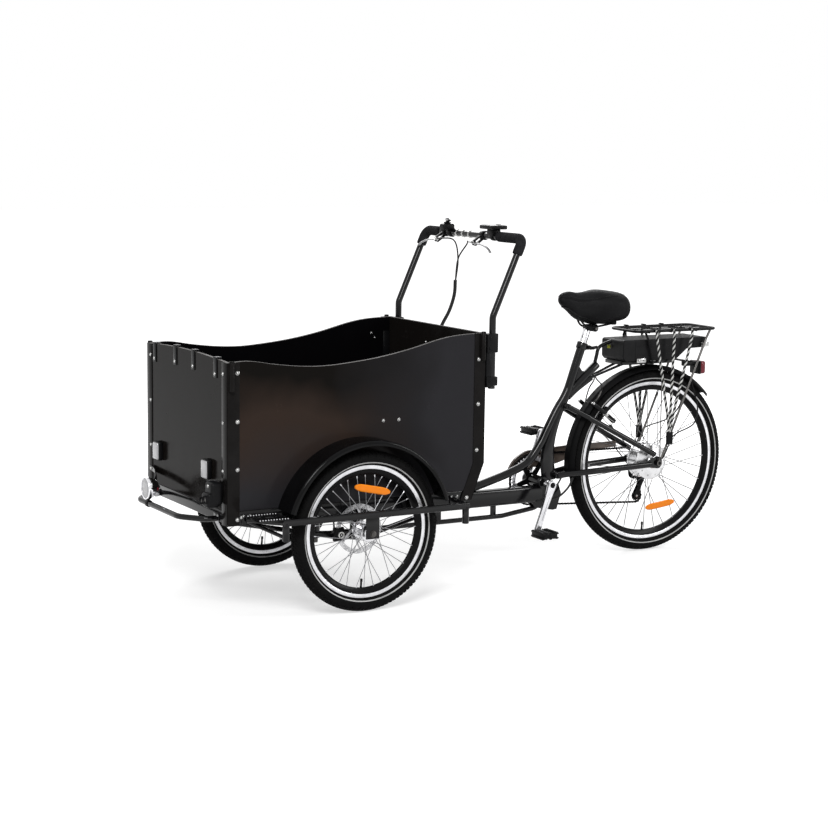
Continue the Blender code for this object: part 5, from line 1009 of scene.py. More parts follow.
def cargo_box():
    foot = BOX_REAR - CHAMFER_IN
    outline = [(BOX_FRONT, BOX_FOOT)] + side_curve() + [(BOX_REAR, CHAMFER_TOP), (foot, BOX_FOOT)]
    for tag, side in SIDES:
        panel(f"side_panel_{tag}", prism(outline, span(side, BOX_HALF - PANEL, BOX_HALF)), f"box_side_{tag}")
    rear = [
        (BOX_REAR, BOX_REAR_TOP), (BOX_REAR, CHAMFER_TOP), (foot, BOX_FOOT), (FLOOR_REAR, BOX_FOOT),
        (BOX_REAR - PANEL, CHAMFER_TOP + 0.002), (BOX_REAR - PANEL, BOX_REAR_TOP),
    ]
    panel("rear_panel", prism(rear, (-INNER_HALF, INNER_HALF)), "box_rear")
    edge = [(-INNER_HALF, BOX_FOOT), (INNER_HALF, BOX_FOOT)] + arch_curve(INNER_HALF)
    front = skin([[Vector((x, a, b)) for a, b in edge] for x in (BOX_FRONT, BOX_FRONT + PANEL)])
    panel("front_panel", front, "box_front")


def box_floor():
    front, top = BOX_FRONT + PANEL + GAP, BOX_FOOT + PANEL
    rise = PANEL / (CHAMFER_TOP - BOX_FOOT) * CHAMFER_IN
    floor = [(front, BOX_FOOT), (FLOOR_REAR - GAP, BOX_FOOT), (FLOOR_REAR + rise - GAP, top), (front, top)]
    panel("floor_panel", prism(floor, (-INNER_HALF, INNER_HALF)), "box_floor", 0.0008, 2)


def box_fittings():
    """The cover's clips, the front reflectors, and the bolts and posts seen inside the box."""
    parts, bolts = [], []
    outside, inside = BOX_FRONT - 0.003, BOX_FRONT + PANEL + 0.003
    for place, top in ((0.252, 0.803), (0.083, 0.811), (-0.060, 0.811), (-0.228, 0.805)):
        for x, z in (
            ((outside, BOX_FRONT + 0.0005), (top - 0.060, top + 0.003)),
            ((outside, inside), (top + 0.0003, top + 0.004)),
            ((inside - 0.0035, inside), (top - 0.030, top + 0.003)),
        ):
            parts.append(block(x, about(place, 0.012), z, 0.0011))
        bolts += dome_bolt((outside, place, top - 0.048), (-1, 0, 0), 0.0044)
    made("rim_clips", [(parts, SATIN), (bolts, BOLT)], "carriage")

    low, high, x = 0.426, 0.487, BOX_FRONT - 0.020
    for tag, place in (("right", 0.211), ("left", -0.178)):
        cup = block((x + 0.003, BOX_FRONT + 0.001), about(place, 0.023), (low, high), 0.006, 4)
        glass = block((x, x + 0.009), about(place, 0.0205), (low + 0.003, high - 0.003), 0.0042, 4)
        made(f"front_reflector_{tag}", [(cup, PLASTIC), (glass, WHITE)], "carriage")

    bolts, posts = [], []
    face, back = BOX_HALF - PANEL, BOX_REAR - PANEL
    for side in (-1, 1):
        for x in (0.088, 0.144):
            bolts += dome_bolt((x, side * BOX_HALF, 0.592), (0, side, 0), 0.0042)
            bolts += dome_bolt((x, side * face, 0.592), (0, -side, 0), 0.0042)
        for x, z in ((0.378, 0.800), (0.391, 0.783), (0.430, 0.784)):
            bolts += dome_bolt((x, side * face, z), (0, -side, 0), 0.0040)
        bolts += dome_bolt((back, side * 0.045, 0.790), (-1, 0, 0), 0.0044)
        post = block(
            (back - 0.026, back - 0.0005), span(side, face - 0.0060, face - 0.0005), (0.470, 0.806), 0.0015
        )
        posts.append(post)
    made("panel_bolts", [(bolts, BOLT)], "carriage")
    made("inner_corner_posts", [(posts, BLACK)], "carriage")


def corner_strips():
    """Folded strips over the box's corners, with their bolts and a socket for a canopy pole."""
    low, high = BOX_HALF + GAP, BOX_HALF + GAP + STRIP_T
    sleeve_y, foot_z = high + SLEEVE_R - 0.0015, STRIP_FOOT + 0.013
    for tag, side in SIDES:
        face = BOX_FRONT - GAP
        height = (STRIP_FOOT, BOX_FRONT_TOP)
        parts = [
            block((face - STRIP_T, face + STRIP_W), span(side, low, high), height, 0.0006),
            block((face - STRIP_T, face), span(side, high - STRIP_W, high), height, 0.0006),
            sleeve(face + 0.012, side * sleeve_y, BOX_FRONT_TOP),
        ]
        bolts = []
        for z in (0.767, 0.619, 0.472, 0.318):
            bolts += dome_bolt((face + 0.033, side * high, z), (0, side, 0), 0.0050)
        for z in (0.763, 0.614, 0.466):
            bolts += dome_bolt((face - STRIP_T, side * (high - 0.030), z), (-1, 0, 0), 0.0044)
        looks = [(parts, STRIP), (bolts, BOLT)]
        made(f"corner_strip_front_{tag}", looks, "carriage", f"corner_front_{tag}")

        face = BOX_REAR + GAP
        inner = [(face, BOX_REAR_TOP), (face, CHAMFER_TOP), (BOX_REAR - CHAMFER_IN * 1.28, foot_z)]
        outer = [(x + STRIP_T, z) for x, z in inner]
        wide = [(x - STRIP_W, z) for x, z in inner]
        parts = [
            prism(outer + wide[::-1], span(side, low, high)),
            prism(outer + inner[::-1], span(side, high - STRIP_W, high)),
            sleeve(face - 0.012, side * sleeve_y, BOX_REAR_TOP),
        ]
        bolts = []
        for x, z in ((0.437, 0.771), (0.437, 0.625), (0.434, 0.475), (0.399, 0.321)):
            bolts += dome_bolt((x, side * high, z), (0, side, 0), 0.0050)
        looks = [(parts, STRIP), (bolts, BOLT)]
        made(f"corner_strip_rear_{tag}", looks, "carriage", f"corner_rear_{tag}", bevel=0.0005)


def sleeve(x, y, top):
    """An open socket for a canopy pole."""
    r, deep = SLEEVE_R, -SLEEVE_L
    profile = [
        (r - 0.0016, deep + 0.010), (r - 0.0016, 0.0044), (r - 0.0010, 0.005), (r - 0.0004, 0.005),
        (r, 0.0044), (r, deep + 0.001), (r - 0.001, deep), (0.001, deep), (0.001, deep + 0.010),
    ]
    return turned(profile, (x, y, top), (0, 0, 1), 28)


def front_fenders():
    """Bent shields over the front wheels, with a rounded shoulder and a hemmed lip."""
    radius, thick, out = 0.290, 0.002, 0.412
    shoulder = out - 0.010
    quarter = [math.pi / 2 * k / 6 for k in range(7)]
    profile = [(radius, BOX_HALF + GAP), (radius + thick, BOX_HALF + GAP), (radius + thick, shoulder)]
    profile += [(radius - 0.008 + 0.010 * math.cos(a), shoulder + 0.010 * math.sin(a)) for a in quarter[1:]]
    lip = radius - 0.0125
    profile += [(lip, out), (lip - 0.0015, out - 0.0004), (lip - 0.0015, out - 0.0018), (lip, out - thick)]
    profile += [(radius - 0.008 + 0.008 * math.cos(a), shoulder + 0.008 * math.sin(a)) for a in quarter[::-1]]
    start = math.radians(17)
    for tag, side in SIDES:
        shape = turned(profile, FRONT_AXLE, (0, side, 0), 96, start, math.pi - 2 * start)
        made(f"front_guard_{tag}", [(shape, GLOSS)], "carriage", f"fender_{tag}", 50)


cargo_box()
box_fittings()
box_floor()
corner_strips()
front_fenders()


# Handlebar and controls

def bar_route(steps=12):
    left = [(BAR_BEND.x, -BAR_Y, 0.672), (BAR_BEND.x, -BAR_Y, BAR_BEND.z), (BAR_TOP.x, -BAR_Y, BAR_TOP.z)]
    return bent(left + [(x, -y, z) for x, y, z in reversed(left)], BAR_CORNER, steps)


def lever_pivot(place):
    return Vector((BAR_TOP.x - 0.038, place, BAR_TOP.z - 0.026))


LEVER_AXIS = Vector((0.50, 0, -0.87)).normalized()


def collar(bodies, y, half, thick):
    bodies.append(pin((BAR_TOP.x, 0, BAR_TOP.z), y - half, y + half, BAR_R + thick, 28, ease=0.0015))


def handlebar():
    """The push bar in its clamps on the box, with the levers' perches and the mounts."""
    tubes = [pipe(bar_route(), BAR_R, 24)]
    clamps, bolts, bodies = [], [], []
    face, rear, outer = BOX_REAR + 2 * GAP + STRIP_T, 0.505, BAR_Y + BAR_R
    x, z = BAR_TOP.x, BAR_TOP.z
    for side in (-1, 1):
        for low, high, marks in ((0.790, 0.852, (0.804, 0.838)), (0.682, 0.712, (0.697,))):
            wide = span(side, BAR_Y - BAR_R - 0.004, outer + 0.004)
            clamps.append(block((face, rear), wide, (low, high), 0.0035, 3))
            for mark in marks:
                at = ((face + rear) / 2 - 0.010, side * (outer + 0.004), mark)
                clamps += dome_bolt(at, (0, side, 0), 0.0040)
        backing = span(side, BAR_Y - BAR_R - 0.001, outer - 0.001)
        clamps.append(block((face, 0.4835), backing, (0.6770, 0.7950), 0.0020))
        foot = Vector((BAR_BEND.x, side * BAR_Y, 0.6715))
        tubes.append(rod(foot, foot + Vector((0, 0, 0.0045)), BAR_R + 0.0008, 24, ease=0.0015))
    for place in (LEVER_LEFT_Y, LEVER_RIGHT_Y):
        side = -1 if place < 0 else 1
        centre = Vector((x, place, z))
        collar(bodies, place, 0.011, 0.0048)
        tip = lever_pivot(place)
        for shift in (-1, 1):
            edge = LEVER_AXIS * (shift * 0.0072)
            cheek = smooth([centre + edge * 0.8, (centre + tip) / 2 + edge, tip + edge], 4)
            bodies.append(sweep(cheek, circle(0.0086, 14, flat=0.42), (0.50, 0, -0.87)))
        reach = LEVER_AXIS * 0.0105
        bolts.append(rod(tip - reach, tip + reach, 0.0028, 14, ease=0.0005))
        barrel = tip + Vector((-0.006, -side * 0.004, 0.004))
        bolts.append(pin(barrel, 0, -side * 0.016, 0.0036, 16, ease=0.0006))
    collar(bodies, SHIFTER_Y, 0.009, 0.0048)
    mount = about(SHIFTER_Y + 0.001, 0.017)
    bodies.append(block((x - 0.040, x + 0.004), mount, (z + 0.008, z + 0.030), 0.006, 4))
    collar(bodies, DISPLAY_Y, 0.008, 0.0038)
    mount = about(DISPLAY_Y + 0.002, 0.018)
    bodies.append(block((x - 0.018, x + 0.016), mount, (z, z + 0.0237), 0.004, 3))
    for y in (0.095, 0.055, 0.013):
        bolts.append(pin((x, y, z), -0.0042, 0.0042, BAR_R + 0.0026, 28, ease=0.0010))
    looks = [(tubes, BLACK), (clamps, SATIN), (bodies, PLASTIC), (bolts, BOLT)]
    made("steering_bar", looks, "carriage", "handlebar")


def grips():
    """Closed-cell foam sleeves round the bar's corners, with a rounded lip at each end."""
    lean = (BAR_TOP - BAR_BEND).normalized()
    for tag, side, inner in (("left", -1, 0.165), ("right", 1, 0.215)):
        corner = Vector((BAR_TOP.x, side * BAR_Y, BAR_TOP.z))
        start = Vector((BAR_TOP.x, side * inner, BAR_TOP.z))
        end = corner - lean * (BAR_CORNER + 0.018)
        route = bent([start, corner, end], BAR_CORNER, 12)
        fine = [route[0]]
        for a, b in zip(route, route[1:]):
            count = max(1, int((b - a).length / 0.004))
            fine += [a.lerp(b, (j + 1) / count) for j in range(count)]
        total = len(fine) - 1

        def swell(t):
            edge = min(t, 1 - t) * total
            return 0.93 + 0.07 * min(1, edge / 1.5) ** 0.5 - (0.012 if edge > 2 and int(edge) % 7 == 0 else 0)

        sleeve_shape = sweep(fine, circle(GRIP_R, 28), (1, 0, 0), scale=swell)
        grip = made(f"foam_grip_{tag}", [(sleeve_shape, FOAM)], "carriage", f"grip_{tag}", 50)


def levers():
    for tag, place, side in (("left", LEVER_LEFT_Y, -1), ("right", LEVER_RIGHT_Y, 1)):
        pivot = lever_pivot(place)
        across, fall = Vector((0, side, 0)), Vector((-0.020, 0, -0.080))
        shares = ((0, 0), (0.024, 0), (0.058, 0.05), (0.092, 0.16), (0.112, 0.30))
        route = smooth([pivot + across * reach + fall * drop for reach, drop in shares], 7)
        blade = sweep(
            route, circle(0.0042, 16, flat=0.72), (0, 0, 1),
            scale=lambda t: 1.0 if t < 0.9 else 1.0 + (t - 0.9) * 1.2,
        )
        eye = rod(pivot + LEVER_AXIS * 0.0040, pivot - LEVER_AXIS * 0.0040, 0.0080, 24, ease=0.0008)
        made(
            f"lever_blade_{tag}", [([eye, blade], LEVER)], f"{tag}_brake_lever", f"brake_lever_{tag}",
        )


def controls():
    low = BAR_TOP.z + 0.024
    x, y, button = BAR_TOP.x, DISPLAY_Y, BAR_TOP.x + 0.016
    body = block((x - 0.034, x + 0.026), about(y, 0.042), (low, low + 0.0135), 0.0045, 4)
    glass = block((x - 0.029, x + 0.007), about(y, 0.036), (low + 0.009, low + 0.0142), 0.0012)
    surround = block(about(button, 0.0065), about(y, 0.0108), (low + 0.010, low + 0.0139), 0.0014)
    looks = [(body, PLASTIC), (glass, SCREEN), (surround, PLASTIC)]
    made("control_display", looks, "carriage", "display")
    cap = block(about(button, 0.0055), about(y, 0.0095), (low + 0.0118, low + 0.0155), 0.0016, 3)
    made("press_button", [(cap, SOFT_RUBBER)], "button", "display_button")
    pivot = Vector((x - 0.018, SHIFTER_Y, BAR_TOP.z + 0.030 + GAP))
    parts = [rod(pivot, pivot + Vector((0, 0, 0.006)), 0.012, 28, ease=0.0012)]
    for radius, route in (
        (0.0070, mm((0, 0, 3), (12, 18, 8), (20, 34, 14.7))),
        (0.0058, mm((0, 0, 3), (-10, -20, 9), (-14, -38, 12.7))),
    ):
        blade = smooth([pivot + Vector(point) for point in route], 4)
        parts.append(sweep(blade, circle(radius, 14, flat=0.50), (0, 0, 1)))
    made("thumb_shifter", [(parts, PLASTIC)], "gear_lever", "shift_lever")


def run_cable(name, points, radius, body="frame", up=(0, 1, 0)):
    """A short cable between two fixed places of one body."""
    route = smooth(points, 8)
    cable = made(name, [(sweep(route, circle(radius, 12), up, uv=True), CABLE)], body)


def cables():
    """The loom and the two brake cables, on the routes that the source gives their solids."""
    face = BOX_REAR
    loom = mm((548, 24, 1000), (546, 26, 950), (532, 34, 895), (508, 46, 840), (484, 56, 760))
    loom += [
        (face + 0.0125, 0.060, 0.640), (face + 0.0115, 0.062, 0.450), (face - 0.012, 0.062, 0.366),
        (0.4165, 0.062, 0.325),
    ]
    loom = smooth(loom, 8)
    wrap_shape = sweep(loom, circle(0.0060, 16), (0, 1, 0), uv=True)
    wrap = made("cable_loom_wrap", [(wrap_shape, WRAP)], "carriage", "cable_loom")
    for tag, y, drop in (
        ("left", LEVER_LEFT_Y + 0.022, (0.564, -0.020, 1.122)),
        ("right", LEVER_RIGHT_Y - 0.022, (0.562, 0.062, 1.132)),
    ):
        points = [
            (BAR_TOP.x - 0.050, y, BAR_TOP.z - 0.020), drop, (0.556, 0.022, 1.070), (0.548, 0.024, 0.990),
        ]
        run_cable(f"brake_cable_{tag}", points, 0.0026, "carriage", (1, 0, 0))


handlebar()
grips()
levers()
controls()
cables()


# Rear frame

def seat_line(height):
    return SEAT_TOP + SEAT_LEAN * ((height - SEAT_TOP.z) / SEAT_LEAN.z)


def main_beam():
    beam = block((-0.004, BB.x + 0.010), (-0.020, 0.020), (0.215, 0.272), 0.009, 4)
    head = mm(
        (13.5, -59), (25.2, -59), (25.8, -56.5), (25.8, -48), (24, -46.5),
        (24, 46.5), (25.8, 48), (25.8, 56.5), (25.2, 59), (13.5, 59),
    )
    lower = mm((10, 0, 179), (60, 0, 175), (735, 0, 175), (900, 0, 196))
    lower = pipe(bent(lower + [(BB.x + 0.016, 0, BB.z - 0.010)], 0.05, 8), 0.0085, 18)
    web = mm(
        (850, 218), (863, 197), (905, 188), (939, 182), (956, 184), (973.5, 240), (962, 273.5),
        (900, 273.5),
    )
    parts = [beam, turned(head, (0, 0, 0.227), (0, 0, 1), 40), lower]
    parts += [prism(web, (-0.0160, -0.0120)), prism(web, (0.0120, 0.0160))]
    for place in (0.480, 0.701):
        parts.append(block(about(place, 0.009), (-0.006, 0.006), (0.175, 0.221), 0.0015))
    shell = mm((9.2, -36), (19.6, -36), (21, -34.6), (21, 34.6), (19.6, 36), (9.2, 36))
    parts.append(turned(shell, BB, steps=40))
    made("beam_frame", [(parts, BLACK)], "frame", "main_beam")


def seat_mast():
    route = [(BB.x + 0.0310, 0, BB.z + 0.002), *mm((926, 0, 360), (940, 0, 450), (966, 0, 528))]
    parts = [pipe(smooth(route + [seat_line(0.592), seat_line(0.700), SEAT_TOP], 10), 0.0155, 24)]
    oval = []
    for z, x, wide in mm(
        (500, 953, 14), (445, 934.5, 18), (415, 926.5, 22.5), (385, 922.2, 26),
        (350, 923, 27.5), (318, 925.8, 28.3), (290, 929, 27),
    ):
        oval.append([Vector((x + a, b, z)) for a, b in circle(wide, 32, 0.0160 / wide)])
    parts.append(skin(oval))
    parts.append(rod(SEAT_TOP - SEAT_LEAN * 0.020, SEAT_TOP + SEAT_LEAN * 0.004, 0.0192, 32, ease=0.0015))
    ear = (SEAT_TOP.x + 0.013, SEAT_TOP.x + 0.030), (SEAT_TOP.z - 0.022, SEAT_TOP.z - 0.006)
    for side in (-1, 1):
        parts.append(block(ear[0], span(side, 0.0014, 0.008), ear[1], 0.0016))
    gusset = mm(
        (1006, 605), (1026, 692), (1040, 694), (1060, 668), (1084, 664), (1096, 668), (1090, 650),
        (1040, 606),
    )
    parts.append(prism(gusset, (-0.0030, 0.0030)))
    made("seat_mast", [(parts, BLACK)], "frame", "seat_tube")


def down_member():
    route = [seat_line(0.655), seat_line(0.617)] + mm(
        (986, 0, 576), (956, 0, 533), (923, 0, 476), (888, 0, 414), (838, 0, 356),
        (768, 0, 326), (686, 0, 302), (620, 0, 285), (560, 0, 267),
    )
    made("down_member", [(pipe(smooth(route, 10), 0.0145, 24), BLACK)], "frame", "down_tube")


def lower_stays():
    """The chain stays with their dropouts, and the rear axle's nuts."""
    axle, start, foot = REAR_AXLE, Vector((0.945, 0, 0.305)), DROPOUT_Y
    drop = mm(
        (-45, -14), (0, -20.5), (8, -19.5), (16.5, -10), (18.5, 0), (18, 12), (12, 19), (-4, 24), (-45, 8)
    )
    drop = [(axle.x + a, axle.z + b) for a, b in drop]
    parts, nuts = [], []
    for side in (-1, 1):
        route = [
            start + Vector((0, side * 0.030, 0)), (0.982, side * 0.0335, 0.309),
            (1.070, side * 0.060, 0.316),
        ]
        route.append((axle.x - 0.030, side * (foot + 0.004), axle.z - 0.004))
        parts.append(pipe(bent(route, 0.08, 8), 0.0112, 20))
        parts.append(prism(drop, span(side, foot, foot + 0.006)))
        nuts.append(pin(axle, side * (foot + 0.0055), side * (foot + 0.0075), 0.0108, 28, ease=0.0004))
        nuts.append(pin(axle, side * (foot + 0.0070), side * (foot + 0.014), 0.0102, 6, ease=0.0010))
    nuts.append(pin(axle, -(foot + 0.018), foot + 0.018, 0.0058, 20, ease=0.0008))
    parts.append(pin(start, -0.036, 0.036, 0.010, 24, ease=0.0012))
    made("lower_stays", [(parts, BLACK), (nuts, SATIN)], "frame", "chain_stays", bevel=0.0007)


def brake_boss(side):
    return REAR_AXLE + BRAKE_OUT * BRAKE_BOSS + Vector((0, side * BRAKE_Y, 0))


def upper_stays():
    """The seat stays, with the rim brake's studs on short arms."""
    high, bend = Vector((0.985, 0, 0.548)), Vector((1.060, 0.052, 0.508))
    parts, studs = [pin(high, -0.036, 0.036, 0.011, 24, ease=0.0012)], []
    end_x, y, end_z = REAR_AXLE.x - 0.012, DROPOUT_Y + 0.003, REAR_AXLE.z + 0.030
    for side in (-1, 1):
        route = [high + Vector((0, side * 0.030, 0)), (bend.x, side * bend.y, bend.z)]
        route.append((end_x - 0.002, side * y, end_z + 0.001))
        parts.append(pipe(bent(route, 0.08, 8), 0.010, 20))
        boss = brake_boss(side)
        studs.append(rod(boss - BRAKE_ACROSS * 0.010, boss + BRAKE_ACROSS * 0.026, 0.004, 16, ease=0.0006))
        t = (boss.x - bend.x) / (end_x - bend.x)
        stay = Vector((boss.x, side * (bend.y + (y - bend.y) * t), bend.z + (end_z - bend.z) * t))
        parts.append(rod(stay, boss - BRAKE_ACROSS * 0.006, 0.0075, 16))
    made("upper_stays", [(parts, BLACK), (studs, BOLT)], "frame", "seat_stays")


def battery_bracket():
    parts = [rod((0.998, 0, 0.585), (1.124, 0, 0.690), 0.0150, 28, ease=0.003)]
    neck = mm((1112, 0, 680), (1121, 0, 716), (1134, 0, 750)) + [(BATTERY_FRONT - GAP - 0.006, 0, 0.768)]
    parts.append(pipe(smooth(neck, 8), 0.0065, 16))
    parts.append(pipe(smooth(mm((1002, 0, 578), (1038, 0, 606), (1098, 0, 643)), 10), 0.0125, 22))
    for side in (-1, 1):
        parts.append(
            rod((1.090, side * 0.008, 0.642), (BATTERY_FRONT + 0.034, side * 0.021, 0.6875), 0.0046, 14)
        )
    tray = (BATTERY_FRONT + 0.006, BATTERY_REAR - 0.137)
    parts.append(block(tray, (-0.052, 0.052), (0.686, BATTERY_FOOT - GAP), 0.0022))
    parts.append(block(about(WHEELBASE, 0.012), (-0.010, 0.010), (REAR_R + GUARD_R + GAP, 0.690), 0.0015))
    made("battery_bracket", [(parts, BLACK)], "frame", "battery_dock")


def rack():
    front, rear, half, top = RACK_FRONT, RACK_REAR, RACK_HALF, RACK_Z
    corners = ((front, 0), (front, -half), (rear, -half), (rear, half), (front, half), (front, 0))
    loop = bent([(x, y, top) for x, y in corners], 0.030, 8)
    parts = [sweep(loop[:-1], circle(RACK_ROD, 16), closed=True)]
    for y in (-0.045, 0.0, 0.045):
        parts.append(rod((front, y, top), (rear, y, top), 0.0024, 12))
    for along in (0.052, 0.150, 0.262):
        parts.append(pin((front + along, 0, top - 0.004), -half, half, 0.0034, 12))
    silver, leg_y, low = [], DROPOUT_Y + 0.0115 + GAP, BATTERY_FOOT - 0.0065
    for side in (-1, 1):
        leg = [(1.560, side * half, top), (1.545, side * leg_y, 0.770)]
        leg.append((REAR_AXLE.x + 0.010, side * leg_y, REAR_AXLE.z + 0.015))
        silver.append(pipe(bent(leg, 0.03, 6), 0.0042, 16))
        out = side * (BATTERY_HALF + 0.007)
        hanger = [(front + 0.052, side * 0.060, top - 0.004), (front + 0.054, out, top - 0.026)]
        parts.append(pipe(bent(hanger + [(front + 0.078, out, low)], 0.01, 4), 0.0040, 12))
        parts.append(pin((front + 0.078, 0, low), out + side * 0.002, side * 0.0523, 0.0045, 14, ease=0.0008))
    parts.append(pin((1.508, 0, 0.684), -leg_y, leg_y, 0.0040, 12))
    parts.append(block((1.506, 1.560), (-0.010, 0.010), (0.664, 0.681), 0.0015))
    made("luggage_rack", [(parts, SATIN), (silver, STEEL)], "frame", "rear_rack")


def battery():
    """The battery's case: rounded long edges, end caps with a parting line, ribs and a key lock."""
    low, high = BATTERY_FOOT, BATTERY_TOP
    front, rear, half = BATTERY_FRONT, BATTERY_REAR, BATTERY_HALF
    outline = [
        (front + 0.010, low), (rear - 0.135, low), (rear - 0.088, low + 0.036), (rear - 0.005, low + 0.038),
        (rear, low + 0.044), (rear, high - 0.006), (rear - 0.006, high), (front + 0.006, high),
        (front, high - 0.006), (front, low + 0.012),
    ]
    shell = prism(outline, (-half, half))
    made("battery_shell", [(shell, CASE)], "battery_pack", "battery", bevel=0.0050, segments=4)
    ribs, seams, hardware = [], [], []
    for side in (-1, 1):
        for x, foot in ((front + 0.052, low + 0.004), (rear - 0.060, low + 0.043)):
            skin_deep = span(side, half - 0.001, half + 0.0004)
            seams.append(block(about(x, 0.0009), skin_deep, (foot, high - 0.005), 0.0003))
        for z in (0.722, 0.752):
            raised = span(side, half - 0.001, half + 0.0011)
            ribs.append(block((front + 0.062, rear - 0.140), raised, about(z, 0.0016), 0.0007))
        hardware.append(block((1.246, 1.286), span(side, 0.0705, 0.0725), (0.6945, 0.7095), 0.0007))
        for x in (1.254, 1.278):
            hardware.append(pin((x, 0, 0.702), side * 0.0680, side * 0.0760, 0.0036, 6, ease=0.0006))
        hardware.append(block((1.532, 1.566), span(side, 0.0690, 0.0708), (0.7400, 0.7570), 0.0007))
        hardware.append(pin((1.541, 0, 0.7485), side * 0.0690, side * 0.0740, 0.0040, 6, ease=0.0006))
    made("battery_hardware", [(hardware, BOLT)], "battery_pack")
    made("battery_trim", [(seams, SOFT_RUBBER), (ribs, CASE)], "battery_pack")
    lock = Vector((front, 0.012, 0.748))
    barrel = rod(lock - Vector((0.002, 0, 0)), lock + Vector((0.0097, 0, 0)), 0.0086, 28, ease=0.0008)
    bow = block((lock.x - 0.014, lock.x - 0.001), about(lock.y, 0.0012), about(lock.z, 0.006), 0.0008)
    made("key_barrel", [(barrel, STEEL), (bow, KEY)], "battery_key", "battery_lock")


def rear_guard():
    centre, r, half = REAR_AXLE, GUARD_R, GUARD_HALF
    upper, lower = [], []
    for k in range(17):
        t = -1 + 2 * k / 16
        drop = 0.014 * max(0.0, (abs(t) - 0.45) / 0.55) ** 1.6
        upper.append((r - drop, half * t))
        lower.append((r - drop - 0.0022, (half - 0.0014) * t))
    arc = turned(upper + lower[::-1], centre, (0, 1, 0), 110, math.radians(-3), math.radians(141))
    crest = [(r - 0.0006, -0.0030), (r, -0.0016), (r, 0.0016), (r - 0.0006, 0.0030)]
    ridge = turned(crest, centre, (0, 1, 0), 110, math.radians(-2.5), math.radians(140))
    rim = centre + spin(math.radians(83), r - 0.012)
    stays, near, far = [], DROPOUT_Y + 0.0143, DROPOUT_Y + 0.0168
    eye = [(0.0063, near), (0.0105, near), (0.0105, far), (0.0063, far)]
    for side in (-1, 1):
        stays.append(turned(eye, centre, (0, side, 0), 24))
        start = centre + Vector((0.0005, side * (near + 0.0012), 0.0085))
        stays.append(rod(start, rim + Vector((0, side * (half - 0.001), 0)), 0.0019, 10))
    made("rear_mudguard", [([arc, ridge], GUARD), (stays, STEEL)], "frame", "rear_fender", 50)
    back = 1.560 + GAP
    cup = block((back, back + 0.0075), (-0.030, 0.030), (0.634, 0.682), 0.003, 3)
    glass = block((back + 0.0040, back + 0.030), (-0.0292, 0.0292), (0.6348, 0.6812), 0.008, 5)
    made("tail_light", [(cup, PLASTIC), (glass, RED)], "frame", "tail_lamp")


def straps():
    """Six braided elastic cords, three a side, between the rack's rail and a hook block."""
    over = RACK_Z + RACK_ROD + GAP
    for tag, side in SIDES:
        out, low = RACK_HALF + RACK_ROD + 0.0055, DROPOUT_Y + 0.0238
        out_y, low_y = side * out, side * low
        end = (REAR_AXLE.x + 0.006, side * (DROPOUT_Y + 0.0245), REAR_AXLE.z + 0.018)
        hook = smooth([(1.386, low_y, 0.400), (1.374, low_y, 0.374), end], 8)
        holder = block((1.372, 1.399), span(side, low - 0.0057, low + 0.0057), (0.396, 0.444), 0.0045, 4)
        plates = []
        for place in STRAP_PLACES:
            wide = span(side, RACK_HALF - 0.005, out + 0.0052)
            plates.append(block((place - 0.0051, place + 0.0053), wide, (over, over + 0.0032), 0.0010))
        looks = [(holder, SOFT_RUBBER), (plates, SATIN), (pipe(hook, 0.0024, 12), SATIN)]
        made(f"strap_hooks_{tag}", looks, "frame", f"elastic_straps_{tag}")
        for number, (place, meet) in enumerate(zip(STRAP_PLACES, (1.3775, 1.3855, 1.3935))):
            points = [
                (place, out_y, over + 0.0008), (place, out_y, RACK_Z - 0.010),
                (place + (meet - place) * 0.15, out_y, 0.740), (meet, low_y, 0.480), (meet, low_y, 0.440),
            ]
            route = smooth(points, 14)
            name, shape = f"strap_cord_{tag}_{number + 1}", pipe(route, 0.0050, 16, uv=True)
            strand = made(name, [(shape, CORD)], "frame")


main_beam()
seat_mast()
down_member()
lower_stays()
upper_stays()
battery_bracket()
rack()
battery()
rear_guard()
straps()


# Saddle

def bell(t, middle, width):
    return math.exp(-(((t - middle) / width) ** 2))


def saddle_section(x):
    """Half width, top and foot of the saddle at a place along it, as in the part's source."""
    t = (x - SADDLE_NOSE) / (SADDLE_REAR - SADDLE_NOSE)
    grow = 1 / (1 + math.exp(-(t - 0.52) * 11))
    half = 0.024 + (0.104 - 0.024) * grow
    end = min(1.0, math.sqrt(max(0.0, 1 - ((t - 0.86) / 0.145) ** 2))) if t > 0.86 else 1.0
    start = min(1.0, math.sqrt(max(0.0, 1 - ((0.10 - t) / 0.11) ** 2))) if t < 0.10 else 1.0
    half *= max(0.12, end) * max(0.35, start)
    crown, peak = 0.018 * bell(t, 0.56, 0.30), 0.010 * bell(t, 0.16, 0.13)
    top = 0.944 + crown + peak - 0.014 * (1 - start) - 0.030 * (1 - end)
    deep = 0.062 / (1 + math.exp(-(t - 0.21) * 14))
    sag, dip = 0.014 * bell(t, 0.55, 0.25), 0.014 * bell(t, 0.20, 0.14)
    foot = 0.902 - deep - sag + 0.022 * (1 - start) + 0.034 * (1 - end) - dip
    return half, top, foot


def saddle_form(spare):
    rings = []
    for k in range(49):
        x = SADDLE_NOSE + (SADDLE_REAR - SADDLE_NOSE) * (0.5 - 0.5 * math.cos(math.pi * k / 48))
        half, top, foot = saddle_section(x)
        middle, rise = (top + foot) / 2, (top - foot) / 2 + spare
        ring = []
        for c, s in circle(1, 56):
            wide = math.copysign(abs(c) ** 0.75, c) * max(0.004, half + spare)
            tall = math.copysign(abs(s) ** (0.85 if s < 0 else 0.95), s) * rise
            ring.append(Vector((x - spare * (1 - 2 * k / 48), wide, middle + tall)))
        rings.append(ring)
    return skin(rings)


